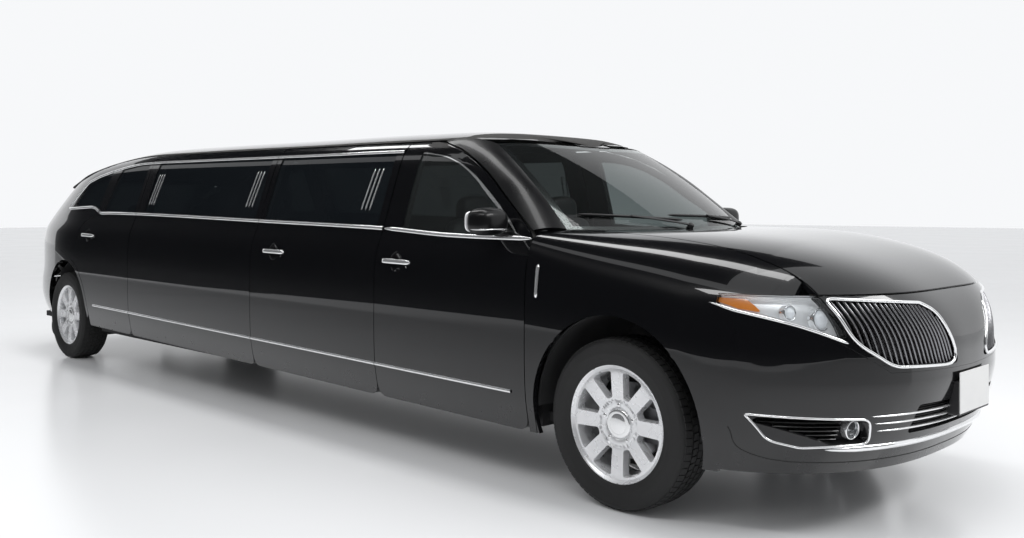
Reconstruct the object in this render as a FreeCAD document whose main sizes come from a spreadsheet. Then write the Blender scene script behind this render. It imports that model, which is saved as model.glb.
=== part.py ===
import FreeCAD, Part
import math
import os
import Sketcher
from FreeCAD import Rotation, Vector

# Stretch limousine, in millimetres. X points forward, Y to the left, Z up.
# The origin lies on the ground below the middle of the car.
# Stations along the car are given from the front axle, positive towards the nose.

doc = FreeCAD.newDocument("limousine")

SIZES = {
    # Wheels and how they stand
    "front_axle": 3035.0,
    "wheelbase": 6043.0,
    "half_track": 825.0,
    "tyre_radius": 370.5,
    "tyre_half_width": 117.5,
    "rim_radius": 243.0,
    "barrel_radius": 238.0,
    "barrel_inner_radius": 224.0,
    "wheel_face": 92.0,
    "spoke_depth": 34.0,
    "spoke_count": 8.0,
    "window_inner_radius": 115.0,
    "window_outer_radius": 217.0,
    "window_inner_width": 28.0,
    "window_outer_width": 96.0,
    "hub_radius": 74.0,
    "disc_radius": 165.0,
    "disc_thickness": 26.0,
    "disc_face": 8.0,
    "lug_ring_radius": 100.0,
    "cap_radius": 62.0,
    "spindle_radius": 30.0,
    "spindle_fit": 0.3,
    "kingpin_inset": 55.0,
    # Body section at the doors, heights before the rake is added
    "rake_percent": 1.25,
    "sill_height": 262.0,
    "sill_half": 932.0,
    "rocker_height": 436.0,
    "rocker_half": 961.0,
    "waist_height": 720.0,
    "waist_half": 968.0,
    "shoulder_height": 1010.0,
    "shoulder_half": 957.0,
    "belt_height": 1156.0,
    "belt_half": 908.0,
    "rail_height": 1592.0,
    "rail_half": 752.0,
    "roof_height": 1728.0,
    "door_top": 1643.0,
    "door_thickness": 70.0,
    "frame_thickness": 38.0,
    "glass_thickness": 5.0,
    "glass_inset": 5.0,
    "shut_gap": 8.0,
    "swing_extra": 5.0,
    # Stations of the panels, from the front axle
    "fender_front": 500.0,
    "front_door_front": -500.0,
    "front_door_rear": -1640.0,
    "fifth_door_rear": -2940.0,
    "rear_door_front": -4750.0,
    "rear_door_rear": -5715.0,
    "tail_start": -5720.0,
    "hinge_set_back": 60.0,
    "hinge_inset": 17.0,
    "hinge_pin_radius": 6.0,
    "hinge_eye_radius": 12.0,
    "hinge_height": 40.0,
    "pocket_ball": 75.0,
    "pocket_depth": 22.0,
    "arch_radius": 455.0,
    "arch_lip": 14.0,
    "door_arch_radius": 505.0,
    # Nose, from the front axle
    "nose_front": 1130.0,
    "nose_round_start": 350.0,
    "nose_base_height": 700.0,
    "cowl_height": 1190.0,
    "valance_height": 275.0,
    "bumper_drop_start": 620.0,
    "bumper_undercut": 130.0,
    "hood_half": 720.0,
    "hood_rear": -100.0,
    "hood_rear_bow": 275.0,
    "hood_thickness": 22.0,
    "lamp_top": 957.0,
    "bumper_top": 790.0,
    "bumper_thickness": 30.0,
    # Windscreen and roof
    "screen_base": -150.0,
    "screen_base_height": 1190.0,
    "screen_base_half": 745.0,
    "screen_base_bow": 290.0,
    "screen_head": -880.0,
    "screen_head_height": 1632.0,
    "screen_head_half": 615.0,
    "screen_head_bow": 165.0,
    "screen_crown": 22.0,
    "roof_thickness": 30.0,
    "roof_rear": -6400.0,
    "roof_rear_height": 1585.0,
    # Tail, from the front axle
    "tail_rear": -7225.0,
    "tail_base_height": 350.0,
    # Chassis
    "floor_height": 290.0,
    "floor_thickness": 45.0,
    "floor_half": 800.0,
    "seat_gap": 0.3,
    "engine_length": 620.0,
    "engine_width": 620.0,
    "engine_height": 590.0,
    "pipe_radius": 27.0,
    "pipe_length": 5900.0,
    "muffler_radius": 78.0,
    "muffler_length": 420.0,
    "side_seat_length": 2300.0,
    "partition_width": 1300.0,
    "partition_height": 560.0,
    "plate_width": 314.0,
    "plate_height": 166.0,
    "plate_bolts": 177.8,
    "plate_bolt_radius": 3.2,
}

sheet = doc.addObject("Spreadsheet::Sheet", "Sizes")
for row, (alias, value) in enumerate(SIZES.items(), start=1):
    sheet.set("A%d" % row, alias)
    sheet.set("B%d" % row, repr(value))
    sheet.setAlias("B%d" % row, alias)
doc.recompute()


READ = {alias: float(sheet.get(alias)) for alias in SIZES}


def size(alias):
    """A driving dimension as it stands in the sheet."""
    return READ[alias]


def station(from_axle):
    return size("front_axle") + from_axle


REAR_AXLE = size("front_axle") - size("wheelbase")
PARTS = []


def publish(label, feature):
    """Label a finished piece, so that it is written to its own file."""
    feature.Label = label
    PARTS.append(feature)
    return feature


def piece(label, shape):
    """A free-form piece whose shape comes from the surface functions."""
    feature = doc.addObject("Part::Feature", "piece_" + label)
    feature.Shape = shape
    return publish(label, feature)


def bound(feature, **texts):
    """Bind properties of a feature to expressions over the sheet; a double underscore is a dot."""
    for name, text in texts.items():
        feature.setExpression(name.replace("__", "."), text)
    return feature


def bound_box(name, length, width, height, x, y, z):
    """Box whose size and corner are expressions."""
    box = doc.addObject("Part::Box", name)
    return bound(box, Length=length, Width=width, Height=height,
                 Placement__Base__x=x, Placement__Base__y=y, Placement__Base__z=z)


def bound_sketch(body, name, corners, plane):
    """Closed sketch in a body's plane, each corner held by two expressions."""
    sketch = body.newObject("Sketcher::SketchObject", name)
    support = [item for item in body.Origin.OriginFeatures if item.Role == plane][0]
    sketch.AttachmentSupport = [(support, "")]
    sketch.MapMode = "FlatFace"
    values = [(float(sheet.evalExpression(across)), float(sheet.evalExpression(up)))
              for across, up in corners]
    count = len(values)
    for index in range(count):
        start, finish = values[index], values[(index + 1) % count]
        sketch.addGeometry(Part.LineSegment(Vector(*start, 0.0), Vector(*finish, 0.0)))
    for index in range(count):
        sketch.addConstraint(Sketcher.Constraint("Coincident", index, 2, (index + 1) % count, 1))
        for kind, text, value, axis in (("DistanceX", corners[index][0], values[index][0], -2),
                                        ("DistanceY", corners[index][1], values[index][1], -1)):
            if abs(value) < 1e-9:
                sketch.addConstraint(Sketcher.Constraint("PointOnObject", index, 1, axis))
            else:
                row = sketch.addConstraint(Sketcher.Constraint(kind, -1, 1, index, 1, value))
                sketch.setExpression("Constraints[%d]" % row, text)
    return sketch


def revolved(body, name, corners):
    """Turn a bound profile of (radius, width) corners about the body's Y axis."""
    sketch = bound_sketch(body, name + "_profile", corners, "XY_Plane")
    turn = body.newObject("PartDesign::Revolution", name)
    turn.Profile = sketch
    turn.ReferenceAxis = (sketch, ["V_Axis"])
    turn.Angle = 360.0
    return turn


# Curves that shape the body

def through(knots, where):
    """Smooth cubic through (place, value) knots in rising order, flat beyond its ends."""
    if where <= knots[0][0]:
        return knots[0][1]
    if where >= knots[-1][0]:
        return knots[-1][1]
    slopes = []
    for index in range(len(knots)):
        before = knots[max(index - 1, 0)]
        after = knots[min(index + 1, len(knots) - 1)]
        slopes.append((after[1] - before[1]) / (after[0] - before[0]))
    for index in range(len(knots) - 1):
        (x0, y0), (x1, y1) = knots[index], knots[index + 1]
        if where <= x1:
            span = x1 - x0
            t = (where - x0) / span
            return (
                y0 * (1 + 2 * t) * (1 - t) ** 2
                + slopes[index] * span * t * (1 - t) ** 2
                + y1 * t * t * (3 - 2 * t)
                - slopes[index + 1] * span * t * t * (1 - t)
            )
    return knots[-1][1]


def rake(x):
    """Rise of the body towards the rear, which starts behind the front fender."""
    return max(0.0, station(size("front_door_front")) - x) * size("rake_percent") / 100.0


SIDE_KNOTS = [
    (size("sill_height"), size("sill_half")),
    (size("rocker_height"), size("rocker_half")),
    (size("waist_height"), size("waist_half")),
    (size("shoulder_height"), size("shoulder_half")),
    (size("belt_height"), size("belt_half")),
]
LEAN = (size("belt_half") - size("rail_half")) / (size("rail_height") - size("belt_height"))


def side_half(height):
    """Half width of the body at a height, rake taken off, without the roof's rounding."""
    if height <= size("belt_height"):
        return through(SIDE_KNOTS, height)
    return size("belt_half") - LEAN * 0.93 * (height - size("belt_height"))


def side_rounded(height, crest):
    """Half width with the shoulder of the roof, whose crest is at a given height."""
    half = side_half(height)
    if height <= size("belt_height"):
        return half
    part = (height - size("belt_height")) / (crest - size("belt_height"))
    return half * max(0.0, 1.0 - min(part, 1.0) ** 12) ** 0.4


def wall_half(height):
    return side_rounded(height, size("roof_height"))


ROOF_KNOTS = [
    (station(-7040.0), 1200.0),
    (station(-6850.0), 1335.0),
    (station(-6640.0), 1462.0),
    (station(size("roof_rear")), size("roof_rear_height")),
    (station(-6000.0), 1668.0),
    (station(-5700.0), 1713.0),
    (station(-5400.0), 1748.0),
    (station(-4900.0), 1778.0),
    (station(-4000.0), 1774.0),
    (station(-2800.0), 1757.0),
    (station(-1700.0), 1742.0),
    (station(-1250.0), 1718.0),
    (station(size("screen_head")), size("screen_head_height")),
]
TOP_KNOTS = [
    (station(-6880.0), 1150.0),
    (station(-6640.0), 1262.0),
    (station(-6400.0), 1385.0),
    (station(-6170.0), 1450.0),
    (station(-5920.0), 1512.0),
    (station(-5680.0), 1562.0),
    (station(-5430.0), 1602.0),
    (station(-5150.0), 1630.0),
    (station(-4850.0), size("door_top")),
]


def roof_crest(x):
    """Height of the roof's centre line."""
    return through(ROOF_KNOTS, x)


def top_line(x):
    """Height of the upper edge of doors and quarter panels, rake taken off."""
    return through(TOP_KNOTS, x)


# Nose

NOSE_TIP = station(size("nose_front"))
NOSE_ROUND = station(size("nose_round_start"))
NOSE_FLARE = 2.5


def nose_front_at(height):
    """Foremost point of the nose at a height: it tucks under below the bumper."""
    start = size("bumper_drop_start")
    if height >= start:
        return NOSE_TIP
    part = (start - height) / (start - size("valance_height"))
    return NOSE_TIP - size("bumper_undercut") * part ** 1.5


def nose_crest(x):
    """Height of the hood's centre line, an ellipse-like drop to the grille."""
    run = max(0.0, (x - station(0.0)) / size("nose_front"))
    rise = size("cowl_height") - size("nose_base_height")
    return size("nose_base_height") + rise * max(0.0, 1.0 - run ** 2.4) ** 0.4


def nose_powers(x):
    """Exponents of the section: sharp shoulders at the door, rounder towards the nose."""
    start = station(size("front_door_front"))
    part = min(max((x - start) / 1100.0, 0.0), 1.0)
    side = 1.0 / (1.0 / 24.0 + part * (1.0 / 4.5 - 1.0 / 24.0))
    return side, 3.0 - 0.5 * part


def nose_plan(x, tip):
    """Share of the full width that is left at a station."""
    run = min(max((x - NOSE_ROUND) / (tip - NOSE_ROUND), 0.0), 1.0)
    return (1.0 - run * run) ** (1.0 / NOSE_FLARE)


def nose_half(x, height, sink=0.0):
    """Half width of the nose at a station and height, a depth below its skin."""
    base = size("nose_base_height")
    half = side_half(height) if height <= base else size("waist_half")
    half = half * nose_plan(x, nose_front_at(height)) - sink
    if height <= base:
        return half
    side, top = nose_powers(x)
    part = min((height - base) / max(nose_crest(x) - sink - base, 1.0), 1.0)
    return half * (1.0 - part ** top) ** (1.0 / side)


def nose_top(x, y, sink=0.0):
    """Height of the hood and fender tops, a depth below the skin."""
    half = size("waist_half") * nose_plan(x, NOSE_TIP) - sink
    side, top = nose_powers(x)
    part = min(abs(y) / max(half, 1.0), 1.0)
    rise = nose_crest(x) - sink - size("nose_base_height")
    return size("nose_base_height") + rise * (1.0 - part ** side) ** (1.0 / top)


def nose_reach(y, height):
    """Station of the front face at a half width and height, found by halving."""
    low, high = station(-400.0), NOSE_TIP
    for _ in range(26):
        middle = (low + high) / 2.0
        if nose_half(middle, height) > abs(y):
            low = middle
        else:
            high = middle
    return (low + high) / 2.0


# Tail

TAIL_ROUND = station(size("tail_start"))
TAIL_KNOTS = [
    (330.0, station(-7060.0)),
    (420.0, station(-7170.0)),
    (520.0, station(size("tail_rear"))),
    (640.0, station(-7215.0)),
    (760.0, station(-7165.0)),
    (960.0, station(-7160.0)),
    (1080.0, station(-7140.0)),
    (1200.0, station(-7040.0)),
    (1335.0, station(-6850.0)),
    (1462.0, station(-6640.0)),
    (1585.0, station(-6400.0)),
]


def tail_rear_at(height):
    return through(TAIL_KNOTS, height)


def tail_plan(x, height):
    """Share of the full width that is left at a station and real height."""
    rear = tail_rear_at(height)
    run = min(max((TAIL_ROUND - x) / (TAIL_ROUND - rear), 0.0), 1.0)
    return (1.0 - run ** 2.2) ** (1.0 / 6.0)


def wall_at(x, flat):
    """Half width of the body side at a station; the height has the rake taken off."""
    crest = roof_crest(x) - rake(x)
    return side_rounded(flat, crest) * tail_plan(x, flat + rake(x))


def tail_reach(y, height):
    """Station of the rear face at a half width and real height."""
    low, high = tail_rear_at(height), TAIL_ROUND
    for _ in range(26):
        middle = (low + high) / 2.0
        if side_half(height - rake(middle)) * tail_plan(middle, height) > abs(y):
            high = middle
        else:
            low = middle
    return (low + high) / 2.0


# Making solids

def wire_of(points):
    return Part.makePolygon(list(points) + [points[0]])


def rounded(points, radii):
    """Closed wire through corner points in a plane, each corner rounded by its own radius."""
    count = len(points)
    edges = []
    ends = []
    for index in range(count):
        here = points[index]
        before = (points[index - 1] - here).normalize()
        after = (points[(index + 1) % count] - here).normalize()
        radius = radii[index] if isinstance(radii, (list, tuple)) else radii
        turn = before.getAngle(after)
        if radius <= 0.0 or abs(math.pi - turn) < 0.02:
            ends.append((here, here, None))
            continue
        reach = radius / math.tan(turn / 2.0)
        limit = 0.49 * min(
            (points[index - 1] - here).Length, (points[(index + 1) % count] - here).Length
        )
        reach = min(reach, limit)
        bisector = (before + after).normalize()
        real = reach * math.tan(turn / 2.0)
        middle = here + bisector * (real / math.sin(turn / 2.0) - real)
        ends.append((here + before * reach, here + after * reach, middle))
    for index in range(count):
        start, finish, middle = ends[index]
        if middle is not None:
            edges.append(Part.Arc(start, middle, finish).toShape())
        follow = ends[(index + 1) % count][0]
        if (follow - finish).Length > 1e-4:
            edges.append(Part.LineSegment(finish, follow).toShape())
    return Part.Wire(edges)


def side_prism(outline, radii, low, high):
    """Solid between two widths whose outline is given as (station, height) pairs."""
    points = [Vector(x, low, z) for x, z in outline]
    return Part.Face(rounded(points, radii)).extrude(Vector(0.0, high - low, 0.0))


def front_prism(outline, radii, low, high):
    """Solid between two stations whose outline is given as (width, height) pairs."""
    points = [Vector(low, y, z) for y, z in outline]
    return Part.Face(rounded(points, radii)).extrude(Vector(high - low, 0.0, 0.0))


def plan_prism(outline, radii, low, high):
    points = [Vector(x, y, low) for x, y in outline]
    return Part.Face(rounded(points, radii)).extrude(Vector(0.0, 0.0, high - low))


def surface_of(grid):
    surface = Part.BSplineSurface()
    surface.interpolate(grid)
    return surface


def sheet_solid(outer, inner):
    """Closed solid between two grids of points of the same size."""
    skins = [surface_of(outer), surface_of(inner)]
    faces = [skin.toShape() for skin in skins]
    bounds = []
    for skin in skins:
        u0, u1, v0, v1 = skin.bounds()
        bounds.append([skin.uIso(u0), skin.vIso(v1), skin.uIso(u1), skin.vIso(v0)])
    for first, second in zip(*bounds):
        faces.append(Part.makeRuledSurface(first.toShape(), second.toShape()))
    shell = Part.makeShell(faces)
    shell.sewShape()
    solid = Part.makeSolid(shell)
    if solid.Volume < 0.0:
        solid.reverse()
    return solid


def mirrored(shape):
    return shape.mirror(Vector(0.0, 0.0, 0.0), Vector(0.0, 1.0, 0.0))


def spread(points, count):
    """The same path with its points evenly spaced."""
    runs = [0.0]
    for before, after in zip(points, points[1:]):
        runs.append(runs[-1] + (after - before).Length)
    result = []
    index = 0
    for step in range(count):
        goal = runs[-1] * step / (count - 1)
        while index < len(points) - 2 and runs[index + 1] < goal:
            index += 1
        span = max(runs[index + 1] - runs[index], 1e-9)
        share = (goal - runs[index]) / span
        result.append(points[index] + (points[index + 1] - points[index]) * share)
    return result


def steps(start, stop, count):
    return [start + (stop - start) * index / (count - 1) for index in range(count)]


# Body sides: one wall section drawn from the sill to the door tops and swept along the car

def wall_section(depth_low, depth_high, bottom, top, start):
    """Closed section of the wall between two depths below the skin, in the plane of a station."""
    heights = steps(bottom, top, 26)

    def depth(height, low, high):
        share = min(max((height - 1010.0) / 160.0, 0.0), 1.0)
        share = share * share * (3.0 - 2.0 * share)
        return low + (high - low) * share

    outer = [Vector(start, -(wall_half(h) - depth(h, *depth_low)), h + rake(start)) for h in heights]
    inner = [Vector(start, -(wall_half(h) - depth(h, *depth_high)), h + rake(start)) for h in heights]
    skins = []
    for points in (outer, inner):
        curve = Part.BSplineCurve()
        curve.interpolate(points)
        skins.append(curve.toShape())
    foot = Part.LineSegment(outer[0], inner[0]).toShape()
    head = Part.LineSegment(outer[-1], inner[-1]).toShape()
    return Part.Face(Part.Wire([foot, skins[1], head, skins[0]]))


def side_band(depth_low, depth_high, bottom, top, front, rear):
    """Right-hand wall band between two stations, leaning up with the rake."""
    section = wall_section(depth_low, depth_high, bottom, top, front)
    return section.extrude(Vector(rear - front, 0.0, rake(rear) - rake(front)))


SKIN = (0.0, 0.0)
LINING = (size("door_thickness"), size("frame_thickness"))
GLASS_OUT = (size("glass_inset"), size("glass_inset"))
GLASS_IN = (size("glass_inset") + size("glass_thickness"),) * 2

DOOR_FRONT = station(size("front_door_front"))
DOOR_REAR = station(size("front_door_rear"))
FIFTH_REAR = station(size("fifth_door_rear"))
REAR_FRONT = station(size("rear_door_front"))
REAR_REAR = station(size("rear_door_rear"))
HALF_GAP = size("shut_gap") / 2.0
SWING = size("swing_extra")
LOW = size("sill_height")
TOP = size("door_top")

# Upper front edge of the front door, along the windscreen pillar
DOOR_NOSE_LINE = [(-528.0, 1178.0), (-640.0, 1268.0), (-760.0, 1352.0), (-900.0, 1452.0),
                  (-1040.0, 1528.0), (-1180.0, 1588.0), (-1330.0, 1628.0)]
# Window edge of the front door, which the bright surround follows
GLASS_NOSE_LINE = [(-665.0, 1224.0), (-764.0, 1300.0), (-870.0, 1372.0), (-994.0, 1452.0),
                   (-1131.0, 1519.0), (-1265.0, 1561.0), (-1412.0, 1582.0)]


def lifted(x, height):
    return (x, height + rake(x))


def door_outline(front, rear, rear_gap, nose=False, arch=False):
    """Shut line of a door seen from the side."""
    left = front - HALF_GAP
    right = rear + rear_gap
    points = [lifted(left, LOW)]
    radii = [70.0]
    if nose:
        points.append(lifted(left, 1120.0))
        radii.append(60.0)
        for place, height in DOOR_NOSE_LINE:
            points.append(lifted(station(place), height))
            radii.append(400.0)
        points.append(lifted(station(-1400.0), TOP))
        radii.append(200.0)
    else:
        points.append(lifted(left, TOP))
        radii.append(6.0)
    if arch:
        points.pop()
        radii.pop()
        shift = rear_gap - HALF_GAP
        points.append(lifted(left, TOP + 40.0))
        points.append(lifted(rear + 343.0 + shift, TOP + 40.0))
        points.append(lifted(rear + 268.0 + shift, 1190.0))
        points.append(lifted(rear + 30.0 + shift, 1105.0 - shift * 0.5))
        radii += [0.0, 0.0, 60.0, 90.0]
        axle_high = size("tyre_radius") + size("arch_lip")
        reach = size("door_arch_radius")
        low_angle = math.asin((LOW + rake(REAR_AXLE) - axle_high) / reach)
        for share in steps(0.0, 1.0, 7):
            angle = math.radians(68.0) * (1.0 - share) + low_angle * share
            points.append((REAR_AXLE + reach * math.cos(angle), axle_high + reach * math.sin(angle)))
            radii.append(300.0 if 0.0 < share < 1.0 else 25.0)
    else:
        points.append(lifted(right + SWING, TOP))
        points.append(lifted(right, 1000.0))
        points.append(lifted(right, LOW))
        radii += [6.0, 300.0, 70.0]
    return points, radii


# Bright line below the windows, rake taken off
BELT_LINE = [(station(place), height) for place, height in (
    (-6170.0, 1216.0), (-5640.0, 1236.0), (-5560.0, 1228.0), (-5450.0, 1196.0), (-5400.0, 1188.0),
    (-5255.0, 1191.0), (-4494.0, 1193.0), (-2857.0, 1180.0), (-1637.0, 1169.0), (-1100.0, 1150.0),
    (-470.0, 1152.0))]
WINDOW_TOP = size("rail_height") - 4.0
SILL_RISE = 8.0


def window_sill(front, rear, inset):
    """Lower edge of a window from its rear end to its front end."""
    return [lifted(x, through(BELT_LINE, x) + SILL_RISE + inset) for x in steps(rear, front, 6)]


def window_outline(front, rear, nose=False, inset=0.0):
    """Window opening between two stations."""
    high = WINDOW_TOP - inset
    points = []
    radii = []
    if nose:
        front = station(-598.0) - 2.0 * inset
        for place, height in GLASS_NOSE_LINE:
            points.append(lifted(station(place) - inset * 0.6, height - inset * 0.75))
            radii.append(300.0)
        points.append(lifted(station(-1450.0), high))
        radii.append(100.0)
    else:
        front = front - inset
        points.append(lifted(front, high))
        radii.append(14.0)
    points.append(lifted(rear + inset, high))
    points += window_sill(front, rear + inset, inset)
    radii += [14.0, 14.0, 0.0, 0.0, 0.0, 0.0, 14.0]
    return points, radii


QUARTER_WINDOW_REAR = station(-6040.0)
REAR_GLASS_FRONT = station(-4800.0)
REAR_GLASS_REAR = station(-5330.0)
WIDE = 1100.0


def rear_window_outline(inset=0.0):
    """Window of the rear door, its upper rear corner cut by the roof line."""
    high = WINDOW_TOP - inset
    points = [
        lifted(REAR_GLASS_FRONT - inset, high),
        lifted(REAR_GLASS_FRONT - 190.0, high),
        lifted(REAR_GLASS_REAR + 60.0 + inset, high - 34.0),
    ]
    points += window_sill(REAR_GLASS_FRONT - inset, REAR_GLASS_REAR - 55.0 + inset, inset)
    return points, [14.0, 400.0, 40.0, 14.0, 0.0, 0.0, 0.0, 0.0, 14.0]


def wall_sheet(front, rear, low, high, depth_out, depth_in, columns, rows):
    """Right-hand wall between two stations whose top follows the roof line."""
    skins = []
    for depth in (depth_out, depth_in):
        grid = []
        for x in steps(front, rear, columns):
            line = []
            for share in steps(0.0, 1.0, rows):
                flat = low(x) + (high(x) - low(x)) * share
                blend = min(max((flat - 1010.0) / 160.0, 0.0), 1.0)
                blend = blend * blend * (3.0 - 2.0 * blend)
                set_in = depth[0] + (depth[1] - depth[0]) * blend
                line.append(Vector(x, -(wall_at(x, flat) - set_in), flat + rake(x)))
            grid.append(line)
        skins.append(grid)
    return sheet_solid(*skins)


RIGHT_BAND = side_band(SKIN, LINING, LOW, TOP, DOOR_FRONT, station(-5900.0))
GLASS_BAND = side_band(GLASS_OUT, GLASS_IN, 1100.0, TOP, DOOR_FRONT, station(-5900.0))
FIT = size("seat_gap")


HINGE_Y = -(size("waist_half") - size("hinge_inset"))
HINGE_LEVELS = (540.0, 900.0)
PIN = size("hinge_pin_radius")
EYE = size("hinge_eye_radius")
LEAF = size("hinge_height")


def hinged(door, axis_x):
    """Cut the hinge pockets into a door's front inner corner and set its two pins."""
    for level in HINGE_LEVELS:
        low = level + rake(axis_x)
        pocket = Part.makeBox(200.0, 200.0, LEAF + 20.0,
                              Vector(axis_x - EYE - 4.0, HINGE_Y - EYE - 1.0, low - 10.0))
        pin = Part.makeCylinder(PIN, LEAF + 24.0, Vector(axis_x, HINGE_Y, low - 12.0))
        door = door.cut(pocket).fuse(pin)
    return door


def hinge_leaves(axis_x, reach):
    """Hinge arms that stand out from a pillar to the door's pins."""
    leaves = []
    for level in HINGE_LEVELS:
        low = level + rake(axis_x)
        eye = Part.makeCylinder(EYE, LEAF, Vector(axis_x, HINGE_Y, low))
        arm = Part.makeBox(2.0 * EYE, reach, LEAF, Vector(axis_x - EYE, HINGE_Y, low))
        bore = Part.makeCylinder(PIN + FIT, LEAF, Vector(axis_x, HINGE_Y, low))
        leaves.append(eye.fuse(arm).cut(bore))
    return leaves


def door_and_glass(outline, window, pane, wall=RIGHT_BAND, glazing=GLASS_BAND):
    body = wall.common(side_prism(*outline, -WIDE, 0.0))
    body = body.cut(side_prism(*window, -WIDE, 0.0))
    glass = glazing.common(side_prism(*pane, -WIDE, 0.0))
    return body, glass


REAR_BAND = wall_sheet(REAR_FRONT + 20.0, REAR_REAR - 220.0, lambda x: LOW, top_line,
                       SKIN, LINING, 12, 26)
REAR_GLAZING = wall_sheet(REAR_FRONT + 20.0, REAR_REAR - 220.0, lambda x: 1100.0, top_line,
                          GLASS_OUT, GLASS_IN, 12, 12)


FRONT_DOOR = door_and_glass(
    door_outline(DOOR_FRONT, DOOR_REAR, HALF_GAP, nose=True),
    window_outline(DOOR_FRONT, DOOR_REAR + 160.0, nose=True),
    window_outline(DOOR_FRONT, DOOR_REAR + 160.0, nose=True, inset=3.0 * FIT),
)
FIFTH_DOOR = door_and_glass(
    door_outline(DOOR_REAR, FIFTH_REAR, HALF_GAP),
    window_outline(DOOR_REAR - 60.0, FIFTH_REAR + 55.0),
    window_outline(DOOR_REAR - 60.0, FIFTH_REAR + 55.0, inset=FIT),
)
REAR_DOOR = door_and_glass(
    door_outline(REAR_FRONT, REAR_REAR, HALF_GAP, arch=True),
    rear_window_outline(),
    rear_window_outline(inset=FIT),
    REAR_BAND,
    REAR_GLAZING,
)


def pocketed(door, x, height):
    """Round hollow behind a door handle, given by its station and real height."""
    ball = size("pocket_ball")
    centre = wall_at(x, height - rake(x)) + ball - size("pocket_depth")
    return door.cut(Part.makeSphere(ball, Vector(x, -centre, height)))


FRONT_AXIS = DOOR_FRONT - size("hinge_set_back")
FIFTH_AXIS = DOOR_REAR - size("hinge_set_back")
REAR_DOOR_AXIS = REAR_FRONT - size("hinge_set_back")
FRONT_DOOR = (pocketed(hinged(FRONT_DOOR[0], FRONT_AXIS), station(-1460.0), 1010.0), FRONT_DOOR[1])
FIFTH_DOOR = (pocketed(hinged(FIFTH_DOOR[0], FIFTH_AXIS), station(-2675.0), 1025.0), FIFTH_DOOR[1])
REAR_DOOR = (pocketed(hinged(REAR_DOOR[0], REAR_DOOR_AXIS), station(-5535.0), 1067.0), REAR_DOOR[1])
FIXED_TOP = TOP + size("shut_gap") + 1.0 - FIT
STRETCH_BAND = side_band(SKIN, LINING, LOW, FIXED_TOP, DOOR_REAR + 20.0, REAR_FRONT - 20.0)
STRETCH_GLAZING = side_band(GLASS_OUT, GLASS_IN, 1100.0, FIXED_TOP, DOOR_REAR + 20.0,
                            REAR_FRONT - 20.0)


def stretch_panel(front):
    """Fixed wall between the doors, with its long window."""
    high = TOP + 60.0
    outline = [lifted(front - HALF_GAP, LOW), lifted(front - HALF_GAP, high),
               lifted(REAR_FRONT + HALF_GAP, high), lifted(REAR_FRONT + HALF_GAP, LOW)]
    window = window_outline(front - 60.0, REAR_FRONT + 120.0)
    pane = window_outline(front - 60.0, REAR_FRONT + 120.0, inset=FIT)
    return door_and_glass((outline, [40.0, 0.0, 0.0, 40.0]), window, pane,
                          STRETCH_BAND, STRETCH_GLAZING)


RIGHT_STRETCH = stretch_panel(FIFTH_REAR)
LEFT_STRETCH = stretch_panel(DOOR_REAR)

piece("front_door_right", FRONT_DOOR[0])
piece("front_door_glass_right", FRONT_DOOR[1])
piece("front_door_left", mirrored(FRONT_DOOR[0]))
piece("front_door_glass_left", mirrored(FRONT_DOOR[1]))
piece("fifth_door_right", FIFTH_DOOR[0])
piece("fifth_door_glass_right", FIFTH_DOOR[1])
piece("rear_door_right", REAR_DOOR[0])
piece("rear_door_glass_right", REAR_DOOR[1])
piece("rear_door_left", mirrored(REAR_DOOR[0]))
piece("rear_door_glass_left", mirrored(REAR_DOOR[1]))
piece("stretch_panels", Part.makeCompound([RIGHT_STRETCH[0], mirrored(LEFT_STRETCH[0])]))
piece("stretch_glass", Part.makeCompound([RIGHT_STRETCH[1], mirrored(LEFT_STRETCH[1])]))


# Roof, windscreen and windscreen pillars

HEAD = station(size("screen_head"))
ROOF_REAR = station(size("roof_rear"))


def roof_front(y):
    """Station of the roof's front edge, which bows back towards the doors."""
    inner = size("screen_head_bow") * (y / size("screen_head_half")) ** 2
    outer = max(0.0, (abs(y) - size("screen_head_half")) / 130.0)
    return HEAD - inner - 240.0 * outer ** 1.5


def roof_point(x, angle, sink=0.0):
    """Point on the roof skin of a station: the angle runs from its side edge to its crest."""
    crest = roof_crest(x) - rake(x) - sink
    belt = size("belt_height")
    flat = belt + (crest - belt) * math.sin(angle) ** (1.0 / 6.0)
    if angle >= math.pi / 2.0 - 1e-6:
        return Vector(x, 0.0, flat + rake(x))
    plan = tail_plan(x, top_line(x) + rake(x))
    return Vector(x, (side_half(flat) - sink) * math.cos(angle) ** 0.8 * plan, flat + rake(x))


def roof_edge_angle(x, clearance, sink=0.0):
    crest = roof_crest(x) - rake(x) - sink
    belt = size("belt_height")
    part = (top_line(x) + clearance - belt) / (crest - belt)
    return math.asin(min(part, 0.999) ** 6)


def roof_line(x, sink, count):
    """Half of the roof's section, from its side edge to the middle."""
    start = roof_edge_angle(x, size("shut_gap") + 1.0, sink)
    dense = [roof_point(x, angle, sink) for angle in steps(start, math.pi / 2.0, 90)]
    return spread(dense, count)


def roof_grid(sink, columns, half_count):
    """Roof skin: lines across the car, whose stations follow the bowed front edge."""
    middle = station(-2600.0)
    grid = []
    for share in steps(0.0, 1.0, columns):
        line = []
        for index in range(half_count):
            guess = roof_line(middle, sink, half_count)[index]
            front = roof_front(guess.y)
            x = front + (ROOF_REAR - front) * share
            line.append(roof_line(x, sink, half_count)[index])
        other = [Vector(point.x, -point.y, point.z) for point in reversed(line[:-1])]
        grid.append(line + other)
    return grid


ROOF = sheet_solid(
    roof_grid(0.0, 16, 12),
    roof_grid(size("roof_thickness"), 16, 12),
)
piece("roof", ROOF)


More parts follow.
